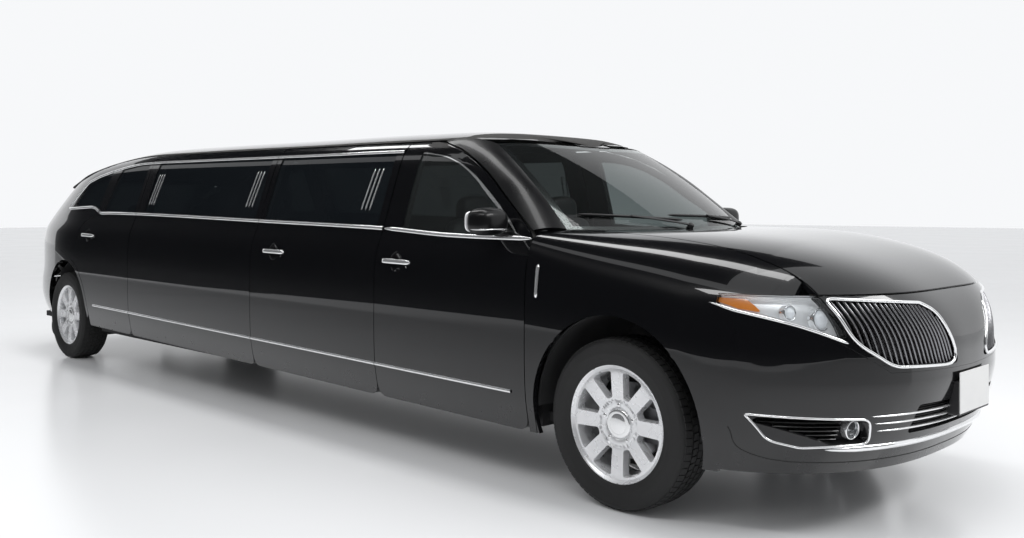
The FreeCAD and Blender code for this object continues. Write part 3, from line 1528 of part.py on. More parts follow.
def wheel_body(name, x, y, turn):
    """Rim with its spoked face and brake disc: turned, its windows cut as a polar pattern."""
    body = corner_body("wheel_" + name, x, y, turn)
    revolved(body, "rim_" + name, WHEEL_PROFILE)
    window = body.newObject("PartDesign::Pocket", "window_" + name)
    window.Profile = bound_sketch(body, "window_outline_" + name, WINDOW_PROFILE, "XZ_Plane")
    window.Type = "ThroughAll"
    window.Midplane = True
    spokes = body.newObject("PartDesign::PolarPattern", "spokes_" + name)
    spokes.Originals = [window]
    spokes.Axis = (window.Profile[0], ["N_Axis"])
    spokes.Angle = 360.0
    bound(spokes, Occurrences="Sizes.spoke_count")
    body.Tip = spokes
    revolved(body, "brake_disc_" + name, DISC_PROFILE)
    return publish("wheel_" + name, body)


def knuckle_solid():
    """Spindle, upright and brake calliper of a left wheel, about the wheel centre."""
    back = -size("disc_face") - size("disc_thickness")
    spindle = Part.makeCylinder(size("spindle_radius"), 44.0 - back + 20.0, Vector(0, back - 20.0, 0),
                                Vector(0, 1, 0))
    plate = Part.makeCylinder(70.0, 22.0, Vector(0, back - 28.0, 0), Vector(0, 1, 0))
    arm = Part.makeBox(60.0, 22.0, 290.0, Vector(-30.0, back - 28.0, -145.0))
    outer = Part.makeCylinder(size("disc_radius") + 22.0, size("disc_thickness") + 50.0,
                              Vector(0, back - 28.0, 0), Vector(0, 1, 0))
    gap = Part.makeCylinder(size("disc_radius") + 6.0, size("disc_thickness") + 12.0,
                            Vector(0, back - 6.0, 0), Vector(0, 1, 0))
    core = Part.makeCylinder(104.0, 200.0, Vector(0, back - 60.0, 0), Vector(0, 1, 0))
    block = Part.makeBox(120.0, 200.0, 150.0, Vector(-210.0, back - 60.0, -75.0))
    calliper = outer.cut(gap).cut(core).common(block)
    bridge = Part.makeBox(110.0, 14.0, 44.0, Vector(-160.0, back - 28.0, -22.0))
    return spindle.fuse([plate, arm, calliper, bridge])


KNUCKLE = knuckle_solid()
TURN_ROUND = Rotation(Vector(0, 0, 1), 180.0)
CORNERS = [("front_left", AXLE, 1.0), ("front_right", AXLE, -1.0),
           ("rear_left", REAR_AXLE, 1.0), ("rear_right", REAR_AXLE, -1.0)]
AXLE_TEXT = {AXLE: "Sizes.front_axle", REAR_AXLE: "Sizes.front_axle - Sizes.wheelbase"}
TRACK_TEXT = {1.0: "Sizes.half_track", -1.0: "-Sizes.half_track"}


def placed(shape, x, side):
    turn = Rotation() if side > 0 else TURN_ROUND
    copy = shape.copy()
    copy.Placement = FreeCAD.Placement(Vector(x, side * size("half_track"), TYRE_R), turn)
    return copy


REAR_KNUCKLES = []
for name, x, side in CORNERS:
    facing = Rotation() if side > 0 else TURN_ROUND
    tyre_body(name, AXLE_TEXT[x], TRACK_TEXT[side], facing)
    wheel_body(name, AXLE_TEXT[x], TRACK_TEXT[side], facing)
    knuckle = placed(KNUCKLE, x, side)
    if name.startswith("front"):
        piece("knuckle_" + name, knuckle)
    else:
        REAR_KNUCKLES.append(knuckle)


ARM_Z = 172.0
ARM_T = 26.0


def suspension(x, knuckles):
    """Cross member with lower arms that reach in under the hubs, and coil struts."""
    half = 315.0 - FIT
    beam = Part.makeBox(160.0, 2.0 * half, 64.0, Vector(x - 80.0, -half, FLOOR_Z - 64.0))
    kingpin = size("half_track") - size("kingpin_inset")
    liner_shell = FRONT_LINER if x > 0.0 else REAR_LINER
    parts = [beam]
    for side in (-1.0, 1.0):
        drop = Part.makeBox(60.0, 60.0, 60.0, Vector(x - 30.0, 240.0, ARM_Z))
        arm = Part.makeBox(60.0, kingpin + 14.0 - 240.0, ARM_T, Vector(x - 30.0, 240.0, ARM_Z))
        into = 6.0 if knuckles else -FIT
        stud = Part.makeCylinder(12.0, TYRE_R - 145.0 + into - ARM_Z, Vector(x, kingpin, ARM_Z))
        post = Part.makeBox(56.0, 36.0, 400.0, Vector(x - 28.0, 590.0, ARM_Z))
        strut = Part.makeCylinder(34.0, 340.0, Vector(x, 608.0, 560.0))
        strut = max(strut.cut(mirrored(liner_shell)).Solids, key=lambda solid: -solid.BoundBox.ZMin)
        for shape in (drop, arm, stud, post, strut):
            parts.append(shape if side > 0 else mirrored(shape))
    return parts[0].fuse(parts[1:] + knuckles)


piece("front_suspension", suspension(AXLE, []))
piece("rear_suspension", suspension(REAR_AXLE, REAR_KNUCKLES))

# Engine, exhaust and cabin furniture

publish("engine", bound_box(
    "engine_block", "Sizes.engine_length", "Sizes.engine_width", "Sizes.engine_height",
    "Sizes.front_axle - 60", "-Sizes.engine_width / 2", "Sizes.floor_height + Sizes.seat_gap"))
PIPE = bound(doc.addObject("Part::Cylinder", "exhaust_pipe"), Radius="Sizes.pipe_radius",
             Height="Sizes.pipe_length")
PIPE.Placement.Rotation = Rotation(Vector(0.0, 1.0, 0.0), 90.0)
bound(PIPE, Placement__Base__x="Sizes.front_axle - 6600", Placement__Base__y="-470",
      Placement__Base__z="Sizes.floor_height - Sizes.seat_gap - Sizes.pipe_radius")
MUFFLER = bound(doc.addObject("Part::Cylinder", "muffler"), Radius="Sizes.muffler_radius",
                Height="Sizes.muffler_length")
MUFFLER.Placement.Rotation = Rotation(Vector(1.0, 0.0, 0.0), -90.0)
bound(MUFFLER, Placement__Base__x="Sizes.front_axle - 6640",
      Placement__Base__y="-Sizes.muffler_length - 400",
      Placement__Base__z="Sizes.floor_height - Sizes.seat_gap - Sizes.muffler_radius")
EXHAUST = doc.addObject("Part::MultiFuse", "exhaust_line")
EXHAUST.Shapes = [PIPE, MUFFLER]
publish("exhaust", EXHAUST)


def seat_profile(front, rear, seat_z, back_top, y_from, y_to, base_z):
    """Cushion and backrest as one closed form, rounded at every long edge."""
    outline = [(front, base_z + 60.0), (front, seat_z - 10.0), (rear + 130.0, seat_z - 40.0),
               (rear - 60.0, back_top), (rear - 200.0, back_top - 10.0), (rear - 60.0, base_z + 60.0)]
    return side_prism(outline, [40.0, 60.0, 30.0, 50.0, 50.0, 30.0], y_from, y_to)


CABIN_Z = FLOOR_Z + FLOOR_T
SEATS = []
for side in (-1.0, 1.0):
    low = side * 370.0 - 255.0
    SEATS.append(seat_profile(station(-1020.0), station(-1500.0), 690.0, 1290.0, low, low + 510.0,
                              CABIN_Z - 60.0))
piece("front_seats", Part.makeCompound(SEATS))
REAR_BENCH = seat_profile(station(-5560.0), station(-6020.0), 700.0, 1230.0, -540.0, 540.0,
                          CABIN_Z - 60.0)
piece("rear_seat", REAR_BENCH)
CABIN_TEXT = "Sizes.floor_height + Sizes.floor_thickness"
publish("side_seat", bound_box("side_bench", "Sizes.side_seat_length", "480", "380",
                               "Sizes.front_axle - 4700", "270", CABIN_TEXT))
publish("partition", bound_box("partition_wall", "40", "Sizes.partition_width",
                               "Sizes.partition_height", "Sizes.front_axle - 1900",
                               "-Sizes.partition_width / 2", CABIN_TEXT))
DASH = side_prism([(FIREWALL - FIT, 760.0), (FIREWALL - FIT, 1120.0), (station(-640.0), 1130.0),
                   (station(-720.0), 1000.0), (station(-600.0), 760.0)],
                  [20.0, 30.0, 50.0, 60.0, 30.0], -690.0, 690.0)
piece("dashboard", DASH)
RIM = Part.makeTorus(180.0, 16.0, Vector(0, 0, 0), Vector(1, 0, 0))
BAR = Part.makeBox(16.0, 350.0, 30.0, Vector(-8.0, -175.0, -15.0))
COLUMN = Part.makeCylinder(28.0, 260.0, Vector(0, 0, 0), Vector(1, 0, 0))
WHEEL_STEER = RIM.fuse([BAR, COLUMN])
WHEEL_STEER.rotate(Vector(0, 0, 0), Vector(0, 1, 0), 22.0)
WHEEL_STEER.translate(Vector(station(-860.0), 370.0, 1010.0))
WHEEL_STEER = max(WHEEL_STEER.cut(DASH).Solids, key=lambda solid: -solid.BoundBox.XMin)
piece("steering_wheel", WHEEL_STEER)


def mirror_solid():
    """Door mirror with its foot, on the right-hand door."""
    head = Part.makeBox(150.0, 190.0, 130.0, Vector(station(-780.0), -1105.0, 1165.0))
    head = head.makeFillet(45.0, [edge for edge in head.Edges])
    foot = Part.makeBox(90.0, 60.0, 46.0, Vector(station(-740.0), -930.0, 1150.0))
    return head.fuse(foot)


MIRROR = mirror_solid()
MIRROR = max(MIRROR.cut(FRONT_DOOR[0]).cut(FRONT_DOOR[1]).Solids, key=lambda solid: solid.Volume)
piece("door_mirror_right", MIRROR)
piece("door_mirror_left", mirrored(MIRROR))
ANTENNA_X = station(-6080.0)
MAST = Part.makeCone(4.0, 2.0, 120.0, Vector(ANTENNA_X, 0.0, roof_crest(ANTENNA_X) + 6.0), Vector(-0.5, 0, 1))
BASE = Part.makeSphere(26.0, Vector(ANTENNA_X, 0.0, roof_crest(ANTENNA_X) - 4.0))
piece("antenna", BASE.fuse(MAST).cut(ROOF))


def check_and_write():
    """Recompute, make sure that every piece is sound, then write one file for each."""
    doc.recompute()
    for item in doc.Objects:
        if "Invalid" in item.State or "Error" in item.State:
            raise RuntimeError("%s failed to compute" % item.Name)
    for item in PARTS:
        if item.Shape.isNull() or not item.Shape.isValid() or not item.Shape.Solids:
            raise RuntimeError("%s has no sound solid" % item.Label)
    os.makedirs("parts", exist_ok=True)
    for item in PARTS:
        item.Shape.exportStep(os.path.join("parts", item.Label + ".step"))


check_and_write()
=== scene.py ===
"""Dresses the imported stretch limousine: fine skins, bright trim, lamps, wheels, cabin and light."""
import logging
import math
from dataclasses import dataclass, field
from enum import Enum, StrEnum, auto
from typing import Callable, Iterable, Sequence

import bpy
import numpy as np
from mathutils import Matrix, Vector, geometry
from numpy.typing import NDArray


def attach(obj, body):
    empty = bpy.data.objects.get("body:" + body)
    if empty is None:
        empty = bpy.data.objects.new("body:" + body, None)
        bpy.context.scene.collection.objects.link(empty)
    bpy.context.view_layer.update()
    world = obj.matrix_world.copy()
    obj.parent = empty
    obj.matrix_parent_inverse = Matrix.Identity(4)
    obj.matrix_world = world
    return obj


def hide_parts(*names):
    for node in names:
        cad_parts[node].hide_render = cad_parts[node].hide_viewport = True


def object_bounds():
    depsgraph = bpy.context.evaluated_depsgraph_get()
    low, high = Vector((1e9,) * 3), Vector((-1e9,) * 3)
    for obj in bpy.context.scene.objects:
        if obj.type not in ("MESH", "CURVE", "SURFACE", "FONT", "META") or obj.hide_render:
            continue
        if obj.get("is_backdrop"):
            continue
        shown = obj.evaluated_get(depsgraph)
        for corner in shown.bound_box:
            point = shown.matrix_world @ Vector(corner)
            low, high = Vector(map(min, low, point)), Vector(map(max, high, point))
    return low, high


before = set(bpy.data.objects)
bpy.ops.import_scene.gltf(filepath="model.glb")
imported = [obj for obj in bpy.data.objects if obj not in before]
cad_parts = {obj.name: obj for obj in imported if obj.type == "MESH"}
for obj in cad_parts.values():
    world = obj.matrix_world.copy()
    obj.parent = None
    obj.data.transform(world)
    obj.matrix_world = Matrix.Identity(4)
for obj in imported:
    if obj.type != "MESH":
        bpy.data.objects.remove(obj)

log = logging.getLogger("limousine")
Array = NDArray[np.float64]
Chart = Callable[[Array, Array], Array]
Pairs = Sequence[tuple[float, float]]
AXLE = 3035.0
REAR_AXLE = -3008.0
TYRE = 370.5
PROUD = 2.6
PANE = {"lift": -4.0, "rim": 3.0}
GLASS_TOP = 1588.0
ARCH_LEVEL = TYRE + 14.0
TRACK_HALF = 825.0
SCREEN_FOOT = 745.0
SCREEN_HEAD = 615.0


class Side(StrEnum):
    """Sides of the car."""

    RIGHT = auto()
    LEFT = auto()


def station(from_axle: float) -> float:
    """Place along the car, in millimetres, of a distance from the front axle."""
    return AXLE + from_axle


def through(knots: Pairs, where: Array | float) -> Array:
    """Evaluate a smooth cubic through knots.

    Args:
        knots: (place, value) pairs in rising order.
        where: places to evaluate; beyond the ends the curve is flat.

    Returns:
        The values, in the shape of ``where``.
    """
    places, values = (np.array(column, float) for column in zip(*knots))
    order = np.arange(len(places))
    before = np.maximum(order - 1, 0)
    after = np.minimum(order + 1, len(places) - 1)
    slopes = (values[after] - values[before]) / (places[after] - places[before])
    spot = np.clip(where, places[0], places[-1])
    index = np.clip(np.searchsorted(places, spot) - 1, 0, len(places) - 2)
    span = places[index + 1] - places[index]
    t = (spot - places[index]) / span
    rising = values[index] * (1 + 2 * t) * (1 - t) ** 2 + slopes[index] * span * t * (1 - t) ** 2
    falling = values[index + 1] * t * t * (3 - 2 * t) - slopes[index + 1] * span * t * t * (1 - t)
    return rising + falling


def halve(low: Array, high: Array, inside: Callable[[Array], Array]) -> Array:
    """Find where ``inside`` turns false between low and high, by halving.

    Args:
        low: where the test still holds.
        high: where it no longer holds.
        inside: test of an array of values.

    Returns:
        The turning points, after 30 halvings.
    """
    low, high = np.broadcast_arrays(low, high)
    low, high = low.astype(float), high.astype(float)
    for _ in range(30):
        middle = (low + high) / 2
        keep = inside(middle)
        low, high = np.where(keep, middle, low), np.where(keep, high, middle)
    return (low + high) / 2


class Form:
    """The body's shape: the same curves as the CAD source, in millimetres, over whole arrays."""

    SIDE = ((262.0, 932.0), (436.0, 961.0), (720.0, 968.0), (1010.0, 957.0), (1156.0, 908.0))
    ROOF = tuple((station(x), z) for x, z in (
        (-7040, 1200), (-6850, 1335), (-6640, 1462), (-6400, 1585), (-6000, 1668), (-5700, 1713),
        (-5400, 1748), (-4900, 1778), (-4000, 1774), (-2800, 1757), (-1700, 1742), (-1250, 1718),
        (-880, 1632)))
    TOP = tuple((station(x), z) for x, z in (
        (-6880, 1150), (-6640, 1262), (-6400, 1385), (-6170, 1450), (-5920, 1512), (-5680, 1562),
        (-5430, 1602), (-5150, 1630), (-4850, 1643)))
    TAIL = tuple((z, station(x)) for z, x in (
        (330, -7060), (420, -7170), (520, -7225), (640, -7215), (760, -7165), (960, -7160),
        (1080, -7140), (1200, -7040), (1335, -6850), (1462, -6640), (1585, -6400)))
    BELT = 1156.0
    LEAN = (908.0 - 752.0) / (1592.0 - 1156.0)
    BASE = 700.0
    SHOULDER = 968.0
    ARC = 500.0
    TIP = station(1130.0)
    NOSE_ROUND = station(350.0)
    TAIL_ROUND = station(-5720.0)

    @staticmethod
    def rake(x: Array) -> Array:
        """Rise of the body towards the rear."""
        return np.maximum(0.0, station(-500.0) - x) * 0.0125

    @classmethod
    def side_half(cls, height: Array) -> Array:
        """Half width at a height, rake taken off."""
        upper = 908.0 - cls.LEAN * 0.93 * (height - cls.BELT)
        return np.where(height <= cls.BELT, through(cls.SIDE, height), upper)

    @classmethod
    def roof_crest(cls, x: Array) -> Array:
        """Height of the roof's centre line."""
        return through(cls.ROOF, x)

    @classmethod
    def top_line(cls, x: Array) -> Array:
        """Upper edge of the doors and quarter panels, rake taken off."""
        return through(cls.TOP, x)

    @classmethod
    def tail_plan(cls, x: Array, height: Array) -> Array:
        """Share of the full width that is left at a station near the tail.

        Args:
            x: stations.
            height: heights.

        Returns:
            The shares: one less the run to the power 2.2, and the sixth root of that.
        """
        rear = through(cls.TAIL, height)
        run = np.clip((cls.TAIL_ROUND - x) / (cls.TAIL_ROUND - rear), 0.0, 1.0)
        return (1.0 - run ** 2.2) ** (1.0 / 6.0)

    @classmethod
    def wall(cls, x: Array, flat: Array) -> Array:
        """Half width of the body side; the height has the rake taken off.

        Args:
            x: stations.
            flat: heights with the rake taken off.

        Returns:
            Half widths: the side's profile, drawn in steeply below the roof and towards the tail.
        """
        crest = cls.roof_crest(x) - cls.rake(x)
        part = np.clip((flat - cls.BELT) / (crest - cls.BELT), 0.0, 1.0)
        return cls.side_half(flat) * (1.0 - part ** 12) ** 0.4 * cls.tail_plan(x, flat + cls.rake(x))

    @classmethod
    def nose_crest(cls, x: Array) -> Array:
        """Height of the hood's centre line."""
        run = np.maximum(0.0, (x - AXLE) / 1130.0)
        return cls.BASE + 490.0 * np.maximum(0.0, 1.0 - run ** 2.4) ** 0.4

    @classmethod
    def nose_powers(cls, x: Array) -> tuple[Array, Array]:
        """Exponents of the nose section: sharp shoulders at the door, rounder at the front."""
        part = np.clip((x - station(-500.0)) / 1100.0, 0.0, 1.0)
        return 1.0 / (1.0 / 24.0 + part * (1.0 / 4.5 - 1.0 / 24.0)), 3.0 - 0.5 * part

    @classmethod
    def nose_plan(cls, x: Array, height: Array) -> Array:
        """Share of the full width that is left towards the nose.

        Args:
            x: stations.
            height: heights.

        Returns:
            The shares: one less the squared run, to the power 0.4.
        """
        drop = np.clip((620.0 - height) / 345.0, 0.0, None)
        tip = cls.TIP - 130.0 * drop ** 1.5
        run = np.clip((x - cls.NOSE_ROUND) / (tip - cls.NOSE_ROUND), 0.0, 1.0)
        return (1.0 - run * run) ** 0.4

    @classmethod
    def nose_half(cls, x: Array, height: Array) -> Array:
        """Half width of the nose at a station and height.

        Args:
            x: stations.
            height: heights.

        Returns:
            Half widths: the side's profile, and a superellipse above its base.
        """
        side, top = cls.nose_powers(x)
        half = np.where(height <= cls.BASE, cls.side_half(height), cls.SHOULDER) * cls.nose_plan(x, height)
        rise = np.maximum(cls.nose_crest(x) - cls.BASE, 1.0)
        part = np.clip((height - cls.BASE) / rise, 0.0, 1.0)
        return half * (1.0 - part ** top) ** (1.0 / side)

    @classmethod
    def nose_top(cls, x: Array, y: Array) -> Array:
        """Height of the hood and fender tops.

        Args:
            x: stations.
            y: distances from the middle.

        Returns:
            Heights of the same superellipse.
        """
        side, top = cls.nose_powers(x)
        half = np.maximum(cls.SHOULDER * cls.nose_plan(x, cls.BASE + 0.0 * x), 1.0)
        part = np.minimum(np.abs(y) / half, 1.0)
        return cls.BASE + (cls.nose_crest(x) - cls.BASE) * (1.0 - part ** side) ** (1.0 / top)

    @classmethod
    def nose_reach(cls, y: Array, height: Array) -> Array:
        """Station of the front face at a half width and height."""
        y = np.abs(np.asarray(y, float))
        return halve(station(-400.0) + 0 * y, cls.TIP + 0 * y, lambda x: cls.nose_half(x, height) > y)

    @classmethod
    def tail_reach(cls, y: Array, height: Array) -> Array:
        """Station of the rear face at a half width and height.

        Args:
            y: distances from the middle.
            height: heights.

        Returns:
            Stations, found by halving.
        """
        y = np.abs(np.asarray(y, float))
        half = lambda x: cls.side_half(height - cls.rake(x)) * cls.tail_plan(x, height)
        return halve(cls.TAIL_ROUND + 0 * y, through(cls.TAIL, height) + 0 * y, lambda x: half(x) > y)


# Charts turn flat (u, v) coordinates into points on the right-hand side of the body

def stack(*columns: Array) -> Array:
    """Points whose coordinates are the broadcast columns."""
    return np.stack(np.broadcast_arrays(*columns), axis=-1).astype(float)


def side_chart(x: Array, flat: Array) -> Array:
    """Body side: station and height without the rake."""
    return stack(x, -Form.wall(x, flat), flat + Form.rake(x))


def fender_chart(x: Array, v: Array) -> Array:
    """Front fender: station and a section angle times 500; below zero it is a height from the base.

    Args:
        x: stations.
        v: section coordinates.

    Returns:
        Points of a superellipse whose exponents change along the fender.
    """
    side, top = Form.nose_powers(x)
    angle = np.clip(v / Form.ARC, 0.0, math.pi / 2)
    height = Form.BASE + np.where(v < 0, v, (Form.nose_crest(x) - Form.BASE) * np.sin(angle) ** (2 / top))
    level = height * (v < 0) + Form.BASE * (v >= 0)
    half = np.where(v < 0, Form.side_half(height), Form.SHOULDER) * Form.nose_plan(x, level)
    return stack(x, -half * np.cos(angle) ** (2 / side), height)


def fender_v(x: Array, height: Array) -> Array:
    """Section coordinate of a height on the fender.

    Args:
        x: stations.
        height: heights.

    Returns:
        Section coordinates, the fender's superellipse solved for the angle.
    """
    _, top = Form.nose_powers(x)
    part = np.clip((height - Form.BASE) / (Form.nose_crest(x) - Form.BASE), 0.0, 1.0)
    return np.where(height < Form.BASE, height - Form.BASE, Form.ARC * np.arcsin(part ** (top / 2)))


def fender_v_of_width(x: Array, y: Array) -> Array:
    """Section coordinate of a half width on the fender's top.

    Args:
        x: stations.
        y: half widths.

    Returns:
        Section coordinates.
    """
    side, _ = Form.nose_powers(x)
    half = Form.SHOULDER * Form.nose_plan(x, Form.BASE + 0 * x)
    return Form.ARC * np.arccos(np.clip(y / half, 0.0, 1.0) ** (side / 2))


def hood_chart(x: Array, y: Array) -> Array:
    """Hood: station and width."""
    return stack(x, y, Form.nose_top(x, y))


NOSE_HUB = station(300.0)
TAIL_HUB = station(-6000.0)
TURN = 900.0


def nose_chart(u: Array, z: Array) -> Array:
    """Nose: arc round a hub behind it, counted to the right, and height.

    Args:
        u: arc coordinates.
        z: heights.

    Returns:
        Points where the ray from the hub leaves the nose.
    """
    angle = u / TURN
    inside = lambda r: Form.nose_half(NOSE_HUB + r * np.cos(angle), z) > np.abs(r * np.sin(angle))
    reach = halve(0.0 * angle, 1400.0 + 0 * angle, inside)
    return stack(NOSE_HUB + reach * np.cos(angle), -reach * np.sin(angle), z)


def nose_u(y: Array, z: Array) -> Array:
    """Arc coordinate of a place in the front view, right side positive."""
    return TURN * np.arctan2(y, Form.nose_reach(y, z) - NOSE_HUB)


def tail_chart(u: Array, z: Array) -> Array:
    """Tail: arc round a hub ahead of it, counted to the right, and height.

    Args:
        u: arc coordinates.
        z: heights.

    Returns:
        Points where the ray from the hub leaves the tail.
    """
    angle = u / TURN

    def inside(r: Array) -> Array:
        """Whether a reach from the hub is still within the tail.

        Args:
            r: distances from the hub.

        Returns:
            True within the tail.
        """
        x = TAIL_HUB - r * np.cos(angle)
        half = Form.side_half(z - Form.rake(x)) * Form.tail_plan(x, z)
        return (half > np.abs(r * np.sin(angle))) & (x > through(Form.TAIL, z))

    reach = halve(0.0 * angle, 2200.0 + 0 * angle, inside)
    return stack(TAIL_HUB - reach * np.cos(angle), -reach * np.sin(angle), z)


def tail_u(y: Array, z: Array) -> Array:
    """Arc coordinate of a place in the rear view, right side positive."""
    return TURN * np.arctan2(y, TAIL_HUB - Form.tail_reach(y, z))


# Meshes

def unit(vectors: Array) -> Array:
    """The same directions, one long."""
    return vectors / np.maximum(np.linalg.norm(vectors, axis=-1, keepdims=True), 1e-9)


@dataclass
class Mesh:
    """Points, normals and faces in millimetres, joined with + and mirrored to the left side."""

    points: Array
    normals: Array
    faces: list[tuple[int, ...]]

    def __add__(self, other: "Mesh") -> "Mesh":
        """Both meshes as one.

        Args:
            other: mesh to add.

        Returns:
            One mesh, this one's faces first.
        """
        shift = len(self.points)
        faces = self.faces + [tuple(i + shift for i in face) for face in other.faces]
        return Mesh(np.vstack([self.points, other.points]), np.vstack([self.normals, other.normals]), faces)

    def mirrored(self) -> "Mesh":
        """The same mesh on the other side of the car."""
        flip = np.array([1.0, -1.0, 1.0])
        return Mesh(self.points * flip, self.normals * flip, [face[::-1] for face in self.faces])

    def moved(self, offset: Sequence[float]) -> "Mesh":
        """The same mesh shifted by an offset."""
        return Mesh(self.points + np.array(offset), self.normals, self.faces)

    def turned(self, matrix: Array) -> "Mesh":
        """The same mesh turned by a 3 by 3 matrix."""
        return Mesh(self.points @ matrix.T, self.normals @ matrix.T, self.faces)


def both(mesh: Mesh) -> Mesh:
    """The mesh and its mirror image."""
    return mesh + mesh.mirrored()


def joined(meshes: Iterable[Mesh]) -> Mesh:
    """All meshes as one.

    Args:
        meshes: meshes to join, at least one.

    Returns:
        One mesh, in their order.
    """
    meshes = list(meshes)
    total = meshes[0]
    for mesh in meshes[1:]:
        total = total + mesh
    return total


def grid_mesh(points: Array, wrap_u: bool = False, wrap_v: bool = False, flip: bool = False) -> Mesh:
    """Turn a grid of points into a smooth mesh.

    Args:
        points: array of rows by columns by three.
        wrap_u: joins the last row to the first.
        wrap_v: joins the last column to the first.
        flip: turns the surface's outer side round.

    Returns:
        The mesh, with normals from the grid's own slopes.
    """
    rows, columns = points.shape[:2]

    def slope(axis: int, wrap: bool) -> Array:
        """Differences along an axis of the grid.

        Args:
            axis: 0 along columns, 1 along rows.
            wrap: whether the grid closes.

        Returns:
            A vector for each point.
        """
        if wrap:
            return np.roll(points, -1, axis) - np.roll(points, 1, axis)
        return np.gradient(points, axis=axis)

    normals = unit(np.cross(slope(0, wrap_u), slope(1, wrap_v)))
    index = np.arange(rows * columns).reshape(rows, columns)
    if wrap_u:
        index = np.vstack([index, index[:1]])
    if wrap_v:
        index = np.hstack([index, index[:, :1]])
    quads = np.stack([index[:-1, :-1], index[1:, :-1], index[1:, 1:], index[:-1, 1:]], -1).reshape(-1, 4)
    if flip:
        quads, normals = quads[:, ::-1], -normals
    return Mesh(points.reshape(-1, 3), normals.reshape(-1, 3), [tuple(q) for q in quads.tolist()])


def resampled(outline: Array, step: float) -> Array:
    """A closed outline with points no further apart than a step; its corners are kept.

    Args:
        outline: closed outline.
        step: largest gap between points.

    Returns:
        The outline with evenly divided sides.
    """
    pieces = []
    for start, stop in zip(outline, np.roll(outline, -1, axis=0)):
        count = max(1, int(math.ceil(np.linalg.norm(stop - start) / step)))
        pieces.append(start + (stop - start) * (np.arange(count) / count)[:, None])
    return np.vstack(pieces)


def rounded(corners: Pairs, radius: float | Sequence[float], parts: int = 6) -> Array:
    """A closed outline whose corners are rounded with short curves.

    Args:
        corners: corner points in order.
        radius: one radius, or one for each corner.
        parts: pieces in each corner.

    Returns:
        The outline, each corner a quadratic curve.
    """
    corners = np.array(corners, float)
    radii = np.broadcast_to(radius, len(corners))
    result = []
    for index, here in enumerate(corners):
        before, after = corners[index - 1] - here, corners[(index + 1) % len(corners)] - here
        lengths = np.linalg.norm(before), np.linalg.norm(after)
        before, after = before / lengths[0], after / lengths[1]
        turn = math.acos(float(np.clip(before @ after, -1.0, 1.0)))
        if radii[index] <= 0 or math.pi - turn < 0.02:
            result.append(here[None])
            continue
        reach = min(radii[index] / math.tan(turn / 2), 0.49 * min(lengths))
        t = np.linspace(0.0, 1.0, parts)[:, None]
        start, stop = here + before * reach, here + after * reach
        result.append(start * (1 - t) ** 2 + 2 * here * t * (1 - t) + stop * t * t)
    return np.vstack(result)


def within(points: Array, outline: Array) -> Array:
    """Which points lie inside a closed outline.

    Args:
        points: flat points.
        outline: closed outline.

    Returns:
        True where a ray crosses the outline an odd number of times.
    """
    x, y = points[:, 0, None], points[:, 1, None]
    x0, y0 = outline[:, 0], outline[:, 1]
    x1, y1 = np.roll(x0, -1), np.roll(y0, -1)
    with np.errstate(divide="ignore", invalid="ignore"):
        crossing = (y0 > y) != (y1 > y)
        hits = crossing & (x < (x1 - x0) * (y - y0) / (y1 - y0) + x0)
    return hits.sum(1) % 2 == 1


def chart_normals(chart: Chart, flat: Array, away: float) -> Array:
    """Outer normals of a chart at flat coordinates, by small differences.

    Args:
        chart: surface.
        flat: flat coordinates on the chart.
        away: 1 or -1, whichever points outwards.

    Returns:
        Unit normals, from the cross product of both slopes.
    """
    u, v = flat[:, 0], flat[:, 1]
    along = chart(u + 0.5, v) - chart(u - 0.5, v)
    up = chart(u, v + 0.5) - chart(u, v - 0.5)
    return unit(np.cross(along, up)) * away


